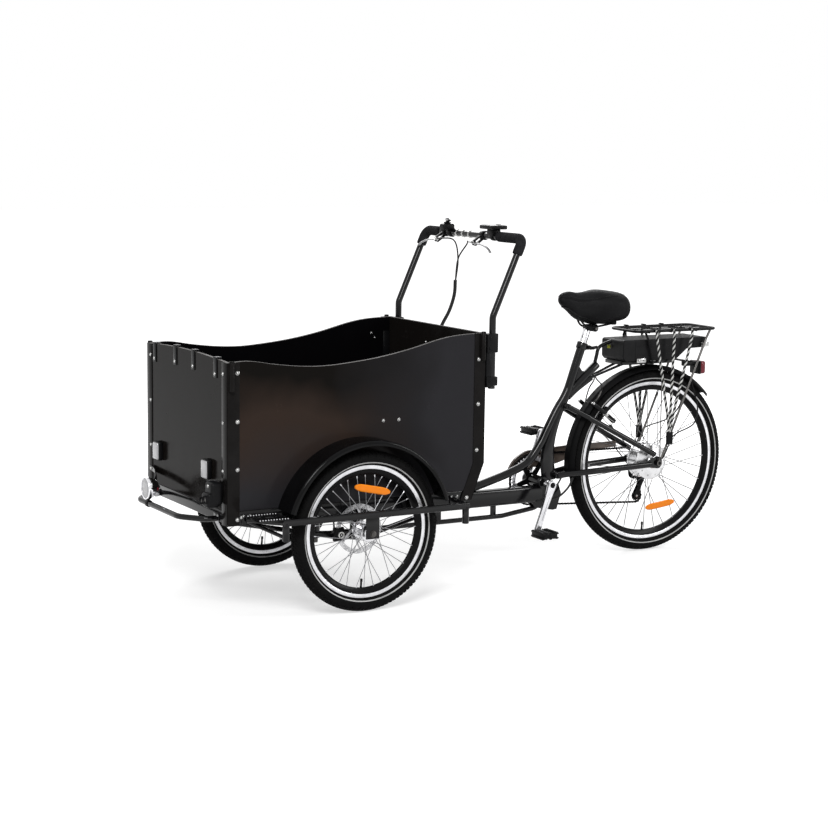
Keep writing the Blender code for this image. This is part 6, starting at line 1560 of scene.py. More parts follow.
def inflated(shape, voxel, cap):
    """A closed shape remeshed and swollen by Blender's Cloth, each point held within the cap."""
    mesh = bpy.data.meshes.new("pad")
    shape.to_mesh(mesh)
    shape.free()
    pad = bpy.data.objects.new("pad", mesh)
    bpy.context.scene.collection.objects.link(pad)
    remesh = pad.modifiers.new("remesh", "REMESH")
    remesh.mode, remesh.voxel_size = "VOXEL", voxel
    bpy.context.view_layer.update()
    graph = bpy.context.evaluated_depsgraph_get()
    pad.data = bpy.data.meshes.new_from_object(pad.evaluated_get(graph))
    pad.modifiers.clear()
    rest = [point.co.copy() for point in pad.data.vertices]
    cloth = pad.modifiers.new("cloth", "CLOTH")
    cloth.settings.quality = 6
    cloth.settings.use_pressure = True
    cloth.settings.uniform_pressure_force = 4
    cloth.settings.effector_weights.gravity = 0
    cloth.point_cache.frame_start, cloth.point_cache.frame_end = 1, 20
    for moment in range(1, 21):
        bpy.context.scene.frame_set(moment)
    graph = bpy.context.evaluated_depsgraph_get()
    swollen = pad.evaluated_get(graph).to_mesh()
    moved = [point.co.copy() for point in swollen.vertices]
    pad.evaluated_get(graph).to_mesh_clear()
    pad.modifiers.clear()
    bpy.context.scene.frame_set(1)
    for point, before, after in zip(pad.data.vertices, rest, moved):
        step = after - before
        if step.length > cap:
            step *= cap / step.length
        point.co = before + step
    whole = bmesh.new()
    whole.from_mesh(pad.data)
    bpy.data.objects.remove(pad, do_unlink=True)
    for _ in range(2):
        bmesh.ops.smooth_vert(
            whole, verts=whole.verts[:], factor=0.5, use_axis_x=True, use_axis_y=True, use_axis_z=True
        )
    return whole


def round_surface(tree, tilt, count=26):
    """A closed line round the saddle where rays at one tilt from its spine leave the surface."""
    front, back = SPINE_FRONT, SPINE_REAR
    aims = [(front + (back - front) * k / count, -90) for k in range(count + 1)]
    aims += [(back, -90 + 180 * k / 18) for k in range(1, 18)]
    aims += [(back - (back - front) * k / count, 90) for k in range(count + 1)]
    aims += [(front, 90 + 180 * k / 12) for k in range(1, 12)]
    line, low = [], math.radians(tilt)
    for x, turn in aims:
        _, top, foot = saddle_section(x)
        angle = math.radians(turn)
        aim = Vector((math.cos(angle) * math.cos(low), math.sin(angle) * math.cos(low), math.sin(low)))
        hit, normal, _, _ = tree.ray_cast(Vector((x, 0, (top + foot) / 2)), aim, 0.3)
        line.append((hit, normal))
    return line


def saddle():
    """A cover blown over its foam, with a piped seam, a rolled hem and the base pan beneath."""
    cover = inflated(saddle_form(-0.0040), 0.0050, 0.0060)
    tree = BVHTree.FromBMesh(cover)
    welt, hem = round_surface(tree, 30), round_surface(tree, -58)
    for point in cover.verts:
        nearest = min((point.co - spot).length for spot, _ in welt)
        if nearest < 0.014:
            point.co -= point.normal * (0.0016 * (1 - nearest / 0.014) ** 2)
    seam = [spot - normal * 0.0010 for spot, normal in welt]
    seam = sweep(seam, circle(0.0015, 10), (0, 0, 1), closed=True)
    lip = [spot + normal * 0.0002 for spot, normal in hem]
    lip = sweep(lip, circle(0.0028, 12, flat=0.8), (0, 0, 1), closed=True)
    stitches, drop = [], Vector((0, 0, 0.0034))
    for (a, near), (b, far) in zip(welt, welt[1:] + welt[:1]):
        count = max(1, int((b - a).length / 0.0045))
        for j in range(count):
            start, end = a.lerp(b, (j + 0.18) / count), a.lerp(b, (j + 0.72) / count)
            stitches.append(rod(start + near * 0.0003 + drop, end + far * 0.0003 + drop, 0.00045, 5))
    cushion = made("saddle_cover", [(cover, VINYL)], "seat", "saddle", 180)
    fine = cushion.modifiers.new("fine", "SUBSURF")
    fine.levels = fine.render_levels = 1
    rings = []
    for pull, fall in ((0.0, 0.0), (0.10, 0.0012), (0.35, 0.0030), (0.90, 0.0040)):
        ring = []
        for spot, _ in hem:
            x = min(max(spot.x, SPINE_FRONT), SPINE_REAR)
            ring.append(spot.lerp(Vector((x, 0, spot.z)), pull) - Vector((0, 0, fall)))
        rings.append(ring)
    looks = [(seam, VINYL), (lip, PLASTIC), (stitches, SATIN), (skin(rings, caps=False), PLASTIC)]
    made("saddle_piping", looks, "seat", smooth_angle=60)


def seat_post():
    """The post with its clamp, and the saddle's rails and rubber springs."""
    head = seat_line(0.824)
    x, z, front = head.x, head.z - 0.001, SEAT_TOP.x - 0.030
    tube_shape = rod(seat_line(0.626), head, 0.0136, 40, ease=0.0008)
    clamp = (x + 0.022, 0, head.z - 0.007)
    black = [block((x - 0.014, x + 0.034), (-0.016, 0.016), (head.z - 0.016, head.z + 0.008), 0.0060, 4)]
    black.append(pin(clamp, -0.019, 0.019, 0.0115, 28, ease=0.003))
    bolts = [pin(clamp, side * 0.018, side * 0.0225, 0.0058, 6, ease=0.0008) for side in (-1, 1)]
    rail = (
        (front, 0.008, z + 0.062), (front + 0.006, 0.008, z + 0.040), (x - 0.026, 0.014, z + 0.010),
        (x, 0.020, z), (x + 0.036, 0.026, z + 0.004), (x + 0.076, 0.044, z + 0.014),
    )
    spring = mm(
        (1, 0), (9.2, 0), (11.8, 1.6), (12.6, 4), (12.6, 10), (11.2, 12.5), (11.2, 13.5), (13, 15),
        (13, 26), (1, 26),
    )
    rubbers = []
    for side in (-1, 1):
        black.append(pipe(smooth([(a, side * b, c) for a, b, c in rail], 8), 0.0036, 14))
        rubbers.append(turned(spring, (x + 0.076, side * 0.044, z + 0.009), (0, 0, 1), 32))
    black.append(pin((x + 0.076, 0, z + 0.014), -0.044, 0.044, 0.0040, 16, ease=0.001))
    looks = [(tube_shape, CHROME), (black, SATIN), (bolts, STEEL), (rubbers, SOFT_RUBBER)]
    made("saddle_post", looks, "seat", "seat_post")


def seat_clamp():
    bolt = Vector((SEAT_TOP.x + 0.023, 0, SEAT_TOP.z - 0.014))
    shank = pin(bolt, -0.0075, 0.0125, 0.0026, 14)
    nut = mm((2.7, 8.4), (6, 8.4), (6.4, 9), (6.4, 12.8), (5.8, 13.5), (2.7, 13.5))
    made("clamp_bolt", [([shank, turned(nut, bolt, steps=24)], BOLT)], "frame", "seat_clamp_bolt")
    hinge = bolt + Vector((0, -0.0150, 0))
    cam = rod(hinge - SEAT_LEAN * 0.0065, hinge + SEAT_LEAN * 0.0065, 0.0064, 28, ease=0.0008)
    handle = smooth([hinge, hinge + Vector((0.012, -0.0020, -0.001)), hinge + Vector((0.030, 0.0, 0.002))], 8)
    handle = sweep(handle, circle(0.0056, 16, flat=0.42), scale=lambda t: 0.9 + 0.2 * math.sin(math.pi * t))
    made("clamp_handle", [([cam, handle], SATIN)], "seat_clamp", "seat_clamp_lever")


saddle()
seat_post()
seat_clamp()


# Drive

def toothed(centre, y, thick, radius, depth, teeth, inner, turn=0.0):
    """A flat wheel with pointed teeth and a round opening."""
    shape_of = (0.0, 0.12, 0.62, 1.0, 1.0, 0.62, 0.12, 0.0)
    rings = []
    for k in range(teeth):
        for j, lift in enumerate(shape_of):
            angle = turn + 2 * math.pi * (k + j / len(shape_of)) / teeth
            out = spin(angle)
            reach = radius - depth + depth * lift
            thin = thick / 2 * (1 - 0.45 * lift)
            rings.append(
                [
                    centre + out * reach + Vector((0, y - thin, 0)),
                    centre + out * reach + Vector((0, y + thin, 0)),
                    centre + out * inner + Vector((0, y + thick / 2, 0)),
                    centre + out * inner + Vector((0, y - thick / 2, 0)),
                ]
            )
    return skin(rings, closed=True)


def tapered(start, end, start_r, end_r, steps=12, waist=0.0):
    """The outline in the XZ plane of an arm between two round ends."""
    along = math.atan2(end.z - start.z, end.x - start.x)
    outline = []
    for centre, radius, first in ((end, end_r, along - math.pi / 2), (start, start_r, along + math.pi / 2)):
        for k in range(steps + 1):
            angle = first + math.pi * k / steps
            outline.append((centre.x + radius * math.cos(angle), centre.z + radius * math.sin(angle)))
        if waist:
            middle = (start + end) / 2
            angle = first + math.pi
            outline.append((middle.x + waist * math.cos(angle), middle.z + waist * math.sin(angle)))
    return outline


def crank_end(side):
    lean = math.radians(20)
    return BB + Vector((-math.sin(lean), 0, -math.cos(lean))) * (CRANK if side < 0 else -CRANK)


def crank_arm(side, low, high):
    """An arm between two round ends, narrower between them, with a groove in its outer face."""
    ahead = (crank_end(side) - BB).normalized()
    across = Vector((-ahead.z, 0, ahead.x))
    big, small = 0.0165, 0.0125
    rings = []
    for k in range(31):
        reach = -big + (CRANK + big + small) * k / 30
        share = min(1, max(0, reach / CRANK))
        waist = (big + (small - big) * share) * (1 - 0.20 * math.sin(math.pi * share) ** 1.2)
        if reach < 0:
            waist = math.sqrt(max(0.0, big**2 - reach**2))
        elif reach > CRANK:
            waist = math.sqrt(max(0.0, small**2 - (reach - CRANK) ** 2))
        waist = max(waist, 0.0015)
        edge = min(0.0032, waist * 0.5)
        slight = edge * 0.3
        groove = high - 0.0012 if 0.030 < reach < 0.142 else high
        right = [
            (waist - edge, low), (waist - slight, low + slight), (waist, low + edge), (waist, high - edge),
            (waist - slight, high - slight), (waist - edge, high), (waist * 0.30, high),
            (waist * 0.22, groove),
        ]
        left = [(-a, b) for a, b in right]
        centre = BB + ahead * reach
        outline = left[2::-1] + right + left[:2:-1]
        rings.append([centre + across * a + Vector((0, side * b, 0)) for a, b in outline])
    return skin(rings)


def crankset():
    arms, dark, bolts = [], [], []
    low, high = 0.076, 0.088
    lip = [(0.0102, high - 0.001), (0.0140, high - 0.001), (0.0136, high + 0.0009), (0.0106, high + 0.0009)]
    for side in (-1, 1):
        end = crank_end(side)
        arms.append(crank_arm(side, low, high))
        arms.append(pin(BB, side * 0.052, side * 0.077, 0.0150, 32, ease=0.0015))
        arms.append(turned(lip, BB, (0, side, 0), 36))
        dark.append(pin(BB, side * (high - 0.001), side * (high + 0.0007), 0.0100, 28, ease=0.0006))
        dark.append(pin(BB, side * high, side * (high + 0.0022), 0.0052, 6, ease=0.0006))
        bolts.append(pin(end, side * 0.078, side * 0.1654, 0.0062, 20))
        bolts.append(pin(end, side * 0.0875, side * 0.0905, 0.0088, 6, ease=0.0006))
    dark.append(pin(BB, -0.0752, 0.0752, 0.0083, 24))
    ring = [toothed(BB, CHAIN_Y, 0.0026, 0.0858, 0.0060, 42, 0.0700)]
    ring.append(turned(mm((67.5, 46.2), (71.2, 45.6), (71.2, 48.8), (67.5, 48.2)), BB, steps=84))
    for k in range(5):
        out = spin(2 * math.pi * k / 5 + 0.3 + math.pi / 5)
        spider = tapered(BB + out * 0.018, BB + out * 0.064, 0.0105, 0.0072)
        dark.append(prism(spider, (0.0478, 0.0520)))
        bolts.append(pin(BB + out * 0.064, 0.0445, 0.0530, 0.0046, 18, ease=0.0006))
    hub = mm((9, 44), (23, 44), (24, 45), (24, 54), (20, 58), (20, 76), (9, 76))
    dark.append(turned(hub, BB, steps=44))
    looks = [(arms, SILVER), (dark, SATIN), (ring, CAST), (bolts, BOLT)]
    made("crank_and_ring", looks, "cranks", "crankset", 35)


def spike(x, y, foot, tip, wide, narrow):
    """A tapered tooth between two heights, with its half sizes at each."""
    corners = ((-1, -1), (1, -1), (1, 1), (-1, 1))
    ends = ((foot, wide), (tip, narrow))
    return skin([[Vector((x + a * half[0], y + b * half[1], z)) for a, b in corners] for z, half in ends])


def pedals():
    inner, wide, long, tall = 0.0912, 0.0798, 0.066, 0.026
    profile = [
        (0.0072, inner + 0.0004), (0.0118, inner + 0.0004), (0.0126, inner + 0.002), (0.0112, inner + 0.030),
        (0.0112, inner + 0.060), (0.0124, inner + 0.0785), (0.0110, inner + wide), (0.0072, inner + wide),
    ]
    for tag, side in SIDES:
        end = crank_end(side)
        rails, cores, teeth = [], [], []
        for along in (-1, 1):
            x = end.x + along * (long / 2 - 0.0050)
            for low, high, inset in ((0.20, 0.40, 0.0), (-0.40, -0.20, 0.0), (-0.22, 0.22, 0.0036)):
                across = span(side, inner + 0.002, inner + wide - inset)
                height = (end.z + tall * low, end.z + tall * high)
                rails.append(block(about(x - along * inset, 0.0045), across, height, 0.0014, 2))
            for k, up in itertools.product(range(7), (-1, 1)):
                y, foot, tip = side * (inner + 0.0090 + k * 0.0104), up * tall * 0.34, up * tall * 0.495
                teeth.append(spike(x, y, end.z + foot, end.z + tip, (0.0044, 0.0044), (0.0030, 0.0016)))
        for near in (0.0, 0.036, 0.0705):
            low = inner + near
            across = span(side, low + 0.0003, low + 0.0090)
            cores.append(block(about(end.x, long / 2 - 0.006), across, about(end.z, tall * 0.30), 0.0026, 3))
            for shift, up in itertools.product((-0.0225, -0.0150, 0.0150, 0.0225), (-1, 1)):
                x, y, foot, tip = end.x + shift, side * (low + 0.0046), up * tall * 0.28, up * tall * 0.45
                teeth.append(spike(x, y, end.z + foot, end.z + tip, (0.0026, 0.0034), (0.0010, 0.0020)))
        barrel = turned(profile, end, (0, side, 0), 28)
        cap = pin(end, side * (inner + 0.0752), side * (inner + wide + 0.0012), 0.0086, 24, ease=0.0012)
        looks = [(rails + cores + teeth + [barrel, cap], PLASTIC)]
        made(f"pedal_body_{tag}", looks, f"{tag}_pedal", f"pedal_{tag}")


def chain_line(step=0.06):
    """The chain's closed path, as in the part's source; a negative radius is passed the other way."""
    wheels = [(BB, 0.09025), (REAR_AXLE, 0.04095), (GUIDE, -0.02235), (TENSION, 0.02235)]
    leaves, meets = [], []
    for (centre, radius), (after, after_radius) in zip(wheels, wheels[1:] + wheels[:1]):
        apart = after - centre
        tilt = math.asin((radius - after_radius) / math.hypot(apart.x, apart.z))
        normal = math.atan2(apart.z, apart.x) + math.pi / 2 - tilt
        leaves.append(normal if radius > 0 else normal + math.pi)
        meets.append(normal if after_radius > 0 else normal + math.pi)
    route = []
    for k, (centre, radius) in enumerate(wheels):
        start, end = meets[k - 1], leaves[k]
        while radius > 0 and end > start:
            end -= 2 * math.pi
        while radius < 0 and end < start:
            end += 2 * math.pi
        count = max(2, int(abs(end - start) / step) + 1)
        for j in range(count + 1):
            out = spin(start + (end - start) * j / count, abs(radius))
            route.append(Vector((centre.x + out.x, CHAIN_Y, centre.z + out.z)))
    return route


def chain():
    """Roller chain: paired plates by turns inside and outside, on rollers a half inch apart."""
    route = chain_line()
    route.append(route[0])
    total = length_of(route)
    count = round(total / CHAIN_PITCH / 2) * 2
    marks, run, k = [], 0.0, 0
    for number in range(count):
        goal = total * number / count
        while run + (route[k + 1] - route[k]).length < goal:
            run += (route[k + 1] - route[k]).length
            k += 1
        step = (route[k + 1] - route[k]).length
        marks.append(route[k].lerp(route[k + 1], (goal - run) / step))
    plates, rollers = [], []
    for number, (here, after) in enumerate(zip(marks, marks[1:] + marks[:1])):
        outline = tapered(here, after, 0.0038, 0.0038, 5, 0.0026)
        offset = 0.0029 if number % 2 else 0.0021
        for side in (-1, 1):
            plates.append(prism(outline, about(CHAIN_Y + side * offset, 0.0004)))
        rollers.append(pin(here, -0.0033, 0.0033, 0.0021, 8))
        rollers.append(pin(here, -0.0017, 0.0017, 0.0037, 10))
    made("roller_chain", [(plates, SATIN), (rollers, STEEL)], "frame", "chain", 40)


def sprockets():
    centre, cogs, dark = REAR_AXLE, [], []
    for k in range(5):
        outer, y = 0.045 - 0.0045 * k, 0.0345 + 0.0060 * k
        teeth = round(2 * math.pi * (outer - 0.001) / CHAIN_PITCH)
        cogs.append(toothed(centre, y, 0.0022, outer + 0.0006, 0.0040, teeth, 0.0190, 0.2 * k))
        spacer = [(0.0075, y - 0.0030), (0.0212, y - 0.0030), (0.0212, y + 0.0030), (0.0075, y + 0.0030)]
        dark.append(turned(spacer, centre, steps=36))
    dark.append(turned(mm((7.5, 61), (17, 61), (17.6, 61.6), (16, 62.2), (7.5, 62.2)), centre, steps=36))
    made("cog_stack", [(cogs, CAST), (dark, STEEL)], "freewheel", "sprockets", 35)


def chain_guard():
    """A long guard plate with a turned-in top edge and a pressed rib."""
    reach, low = 0.1045, CHAIN_Y + 0.0033 + 0.004
    front = []
    for k in range(22):
        at = BB + spin(math.radians(168 - 80 * k / 21), reach)
        front.append((at.x, at.z))
    rest = mm(
        (1050, 397), (1252, 398), (1256, 394), (1258, 376), (1146, 371), (1070, 354),
        (1010, 336), (960, 325), (940, 322), (900, 327), (840, 318),
    )
    plate = prism(front + rest, (low, low + 0.002))
    hem = ((low - 0.008, 0), (low + 0.001, 0), (low + 0.001, -0.0016), (low - 0.008, -0.0016))
    flange = skin([[Vector((x, y, z + fall)) for y, fall in hem] for x, z in front[2:] + rest[:2]])
    rib = smooth([(x, low + 0.002, z) for x, z in mm((860, 352), (940, 365), (1050, 384), (1240, 387))], 8)
    rib = sweep(rib, circle(0.0030, 12, flat=0.35), (0, 0, 1))
    x, z = BB.x + 0.075, 0.350
    tab = [
        pin((x, 0, z), 0.034, low + 0.001, 0.004, 16), rod((x, 0.035, z), (x - 0.025, 0.010, z), 0.004, 16),
    ]
    screws = [
        pin((x, 0, z), low + 0.0015, low + 0.0040, 0.0042, 18, ease=0.0008)
        for x, z in ((x, z), (1.235, 0.386))
    ]
    looks = [([plate, flange, rib], SMOKE), (tab, SATIN), (screws, BOLT)]
    made("guard_plate", looks, "frame", "chain_guard", bevel=0.0005)


def derailleur():
    y, guide = CHAIN_Y, GUIDE
    out, inn = y + 0.0058, y - 0.0058
    cage, wheels, bolts = [], [], []
    for low, high in ((out, out + 0.0020), (inn - 0.0020, inn)):
        cage.append(prism(tapered(guide, TENSION, 0.0100, 0.0120, 12, 0.0068), (low, high)))
    hub = [(0.0042, y - 0.0040), (0.0080, y - 0.0040), (0.0080, y + 0.0040), (0.0042, y + 0.0040)]
    for centre in (guide, TENSION):
        wheels.append(toothed(centre, y, 0.0030, 0.0184, 0.0036, 11, 0.0050))
        wheels.append(turned(hub, centre, steps=24))
        bolts.append(pin(centre, inn - 0.0032, out + 0.0034, 0.0041, 18, ease=0.0008))
    hanger = Vector((WHEELBASE - 0.006, 0.0715, REAR_R - 0.034))
    plate = tapered(Vector((WHEELBASE - 0.004, 0, REAR_R - 0.0285)), hanger, 0.007, 0.010)
    body = [prism(plate, (DROPOUT_Y, DROPOUT_Y + 0.006)), pin(hanger, -0.002, 0.022, 0.0105, 28, ease=0.0015)]
    for shift in (-0.006, 0.006):
        link = [
            hanger + Vector((0, 0.014 + shift, 0)), (guide.x - 0.030, out + 0.018 + shift, guide.z - 0.006),
            (guide.x, out + 0.004 + max(shift, 0), guide.z),
        ]
        body.append(sweep(smooth(link, 8), circle(0.0056, 14, flat=0.5)))
    body.append(pin(guide, out + 0.001, out + 0.015, 0.0100, 28, ease=0.0014))
    low, high = hanger + Vector((-0.012, 0.006, -0.016)), hanger + Vector((0.004, 0.020, -0.004))
    body.append(block(*zip(low, high), 0.003, 3))
    bolts.append(pin(hanger, 0.021, 0.0245, 0.0056, 6, ease=0.0006))
    bolts.append(pin(guide, out + 0.014, out + 0.0172, 0.0050, 18, ease=0.0008))
    for shift in (-0.004, 0.004):
        screw = hanger + Vector((-0.010, 0.013, shift))
        bolts.append(rod(screw, screw - Vector((0.008, 0, 0)), 0.0016, 10))
    made("gear_mechanism", [(cage + wheels + body, SATIN), (bolts, BOLT)], "frame", "derailleur", 38)


crankset()
pedals()
chain()
sprockets()
chain_guard()
derailleur()


# Rim brake and the rear cables

def rim_brake():
    """The rear brake's arms with their pads and springs, and the cable's noodle on the left."""
    out, across = BRAKE_OUT, BRAKE_ACROSS
    lift = across * 0.016
    section = mm(
        (-3, -7.4), (3, -7.4), (4.2, -5.8), (4.2, 5.8), (3, 7.4), (-3, 7.4), (-4.2, 5.8), (-4.2, -5.8)
    )
    for tag, side in SIDES:
        boss = brake_boss(side)
        foot, top = boss + lift, REAR_AXLE + out * 0.350 + Vector((0, side * 0.0415, 0)) + lift

        def beside(share, y, back=0.0):
            return foot.lerp(top, share) + Vector((0, side * y, 0)) - across * back

        route = smooth([foot, beside(0.30, 0.0030), beside(0.65, 0.0026), top], 8)
        arm = sweep(route, section, tuple(across), scale=lambda t: 1.12 - 0.26 * t)
        bush = rod(boss + across * 0.0100, boss + across * 0.0228, 0.0090, 28, ease=0.0012)
        at = REAR_AXLE + out * (REAR_RIM - 0.006) + lift
        silver = [pin(at, side * 0.0192, side * 0.0520, 0.0034, 16, ease=0.0005)]
        for y in (0.0300, 0.0345, 0.0478):
            silver.append(pin(at, side * y, side * (y + 0.0026), 0.0066, 22, ease=0.0009))
        face, bow = at + Vector((0, side * 0.0192, 0)), []
        for k in range(13):
            bow.append(face + across * (-0.030 + 0.060 * k / 12) - out * (0.0022 * ((k - 6) / 6) ** 2))
        shoe = sweep(bow, flat_bar(0.0045, 0.0046))
        spring = [
            boss + across * 0.012 + Vector((0, side * 0.009, 0)), beside(0.25, 0.0085, 0.006),
            beside(0.5, 0.0060, 0.007),
        ]
        silver.append(pipe(smooth(spring, 6), 0.0009, 8))
        silver.append(rod(boss + across * 0.0225, boss + across * 0.0262, 0.0052, 6, ease=0.0007))
        silver.append(pin(top, -side * 0.0060, side * 0.0062, 0.0044, 18, ease=0.0007))
        parts = [([arm, bush], SATIN), (silver, BOLT), (shoe, SOFT_RUBBER)]
        if side < 0:
            noodle = smooth(
                [top + Vector(step) for step in mm((0, 3, 2), (4, -10, 12), (14, -16, 30), (26, -10, 44))],
                8,
            )
            link = top + Vector((0, 0, 0.001))
            parts.append((pipe(noodle, 0.0026, 14), STEEL))
            ferrule = rod(noodle[-1], noodle[-1] + Vector((0.004, 0.004, 0.007)), 0.0038, 16, ease=0.0006)
            parts.append((ferrule, SATIN))
            parts.append((pin(link, 0.004, 0.026, 0.0034, 14, 0.0024), SOFT_RUBBER))
            parts.append((pin(link, 0.026, 0.056, 0.0008, 8), STEEL))
        made(f"brake_caliper_arm_{tag}", parts, f"{tag}_brake_arm", f"brake_arm_{tag}", 40)


def rear_cables():
    housing = mm((1112, -6, 650), (1115, -16, 636), (1115, -44.5, 621), (1114, -47.5, 607))
    gear = mm(
        (1116, 4, 652), (1120, 10, 630), (1116, 36, 592), (1130, 72, 520),
        (1178, 81, 455), (1240, 83, 400), (1296, 86, 345), (1334, 90.5, 304),
    )
    motor = mm((868, -18, 221), (906, -26, 221), (950, -36, 232), (985, -42, 262), (1004, -43, 296))
    sensor = mm((868, -10, 226), (900, -16, 234), (930, -25, 252), (950, -32, 280), (960, -34, 298))
    for name, points, radius in (
        ("brake_housing", housing, 0.0024), ("gear_housing", gear, 0.0024),
        ("motor_lead", motor, 0.0036), ("gear_lead", sensor, 0.0030),
    ):
        run_cable(name, points, radius)


def guard_stays():
    """The rear guard's bowed stays, down to the hook blocks."""
    bow = mm(
        (1400, -91.5, 424), (1425, -90, 437), (1505, -76, 462), (1539, -52, 514), (1530, -37, 578),
        (1515, -32, 627),
    )
    stays = []
    for side in (-1, 1):
        stays.append(pipe(smooth([(x, -y * side, z) for x, y, z in bow], 10), 0.0025, 14))
        stays.append(pin((1.5150, 0, 0.6265), side * 0.0322, side * 0.0292, 0.0046, 16, ease=0.0006))
    made("guard_stays", [(stays, SATIN)], "frame")


rim_brake()
rear_cables()
guard_stays()


# Front carriage metalwork

def chassis():
    """The box's ladder frame, the bowed tubes down to the axle, and the king pin."""
    low, high = BOX_FOOT - GAP - 0.040, BOX_FOOT - GAP
    front, rear, out = BOX_FRONT + 0.001, 0.400, BOX_HALF - 0.002
    parts, bolts = [], []
    for side in (-1, 1):
        parts.append(block((front, rear), span(side, out - 0.030, out), (low, high), 0.0030, 3))
    for along in ((front, front + 0.030), (-0.032, 0.032), (rear - 0.030, rear)):
        parts.append(block(along, (-out + 0.004, out - 0.004), (low + 0.001, high - 0.001), 0.0025, 3))
    foot, y, inner = FRONT_R - 0.026, out - 0.015, out - 0.009
    bow = ((front + 0.020, low + 0.004), (-0.060, foot), (0.060, foot), (rear - 0.020, low + 0.004))
    for side in (-1, 1):
        parts.append(pipe(bent([(x, side * y, z) for x, z in bow], 0.06, 8), 0.008, 20))
        upright, shelf = span(side, inner, inner + 0.006), span(side, inner - 0.012, inner + 0.001)
        parts.append(block((-0.023, 0.023), upright, (foot - 0.010, low + 0.010), 0.0015))
        parts.append(block((-0.023, 0.023), shelf, about(foot, 0.006), 0.0015))
        for x in (-0.40, 0.36):
            bolts += dome_bolt((x, side * out, (low + high) / 2), (0, side, 0), 0.0042)
    parts.append(rod((0, 0, 0.2863), (0, 0, low + 0.002), 0.028, 36, ease=0.0015))
    king_pin = [rod((0, 0, 0.152), (0, 0, low + 0.010), 0.0125, 28)]
    king_pin.append(rod((0, 0, 0.152), (0, 0, 0.1674), 0.0205, 6, ease=0.0015))
    looks = [(parts, BLACK), (king_pin, STEEL), (bolts, BOLT)]
    made("carriage_frame", looks, "carriage", "front_chassis")


def step_plate(side, x, y, z):
    """A step with an oval opening and rows of raised grip points."""
    hole_x, hole_y = x[1] - 0.058, BOX_HALF + 0.046
    rings = []
    for c, s in circle(1, 64):
        reach_x = (x[1] - hole_x if c > 0 else hole_x - x[0]) / max(abs(c), 1e-6)
        reach_y = (y[1] - hole_y if s > 0 else hole_y - y[0]) / max(abs(s), 1e-6)
        reach = min(reach_x, reach_y)
        outer = (hole_x + c * reach, side * (hole_y + s * reach))
        inner = (hole_x + 0.030 * c, side * (hole_y + 0.017 * s))
        rings.append(
            [
                Vector((*at, level))
                for at, level in ((outer, z[1]), (inner, z[1]), (inner, z[0]), (outer, z[0]))
            ]
        )
    points = []
    for k, share in itertools.product(range(11), (0.006 / 0.094, 0.082 / 0.094)):
        spot = Vector(
            (x[0] + 0.008 + k * (x[1] - x[0] - 0.016) / 10, side * (y[0] + share * (y[1] - y[0])), z[1])
        )
        points.append(rod(spot, spot + Vector((0, 0, 0.0018)), 0.0026, 10, 0.0014))
    return skin(rings, closed=True), points


def outriggers():
    """The side rails with their struts and bolts, the steps, and the axle plates and nuts."""
    half, out, z0 = 0.010, BOX_HALF + 0.1055, 0.317
    inside, fore, aft = BOX_HALF - 0.002 + GAP, -0.302, 0.333
    inner, top = out - half, z0 + half + 0.0015
    axle = (0, 0, FRONT_R)
    for tag, side in SIDES:
        parts, bolts = [block((-0.313, 0.344), span(side, inner, out + half), about(z0, half), 0.0032, 4)], []
        for place, land in ((fore, fore - 0.082), (aft, aft + 0.020)):
            parts.append(pipe([(place, side * out, z0), (land, side * (inside + 0.0095), z0)], 0.0095, 20))
            parts.append(rod((place, side * out, 0.260), (place, side * out, z0), 0.011, 28, ease=0.0015))
            parts.append(rod((land - 0.014, side * inside, z0), (land + 0.014, side * inside, z0), 0.0010, 8))
            flange = span(side, inside, inside + 0.003)
            parts.append(block(about(land, 0.016), flange, about(z0, 0.016), 0.0012))
            for along in (-0.011, 0.011):
                at = (land + along, side * (inside + 0.003), z0 + 0.011)
                bolts += dome_bolt(at, (0, side, 0), 0.0030)
        brace = (fore - 0.078, side * (inside + 0.006), 0.3095)
        parts.append(rod((fore, side * out, 0.270), brace, 0.006, 18))
        wide = (BOX_HALF + 0.0028, out + half * 0.5)
        plate, grip_points = step_plate(side, (fore - 0.090, -0.283), wide, (top - 0.003, top))
        parts.append(plate)
        parts.append(block((-0.023, 0.023), span(side, inner, inner + 0.006), (FRONT_R - 0.016, z0), 0.0015))
        nuts = [pin(axle, side * (BOX_HALF - 0.024), side * (out + 0.002), 0.0058, 20, ease=0.0008)]
        nuts.append(pin(axle, side * (inner + 0.0055), side * (inner + 0.0072), 0.0108, 28, ease=0.0004))
        nuts.append(pin(axle, side * (inner + 0.0070), side * (out + 0.0028), 0.0098, 6, ease=0.0010))
        looks = [(parts, BLACK), (bolts, BOLT), (nuts, STEEL), (grip_points, CAST)]
        made(f"side_rail_{tag}", looks, "carriage", f"outrigger_{tag}", 40)


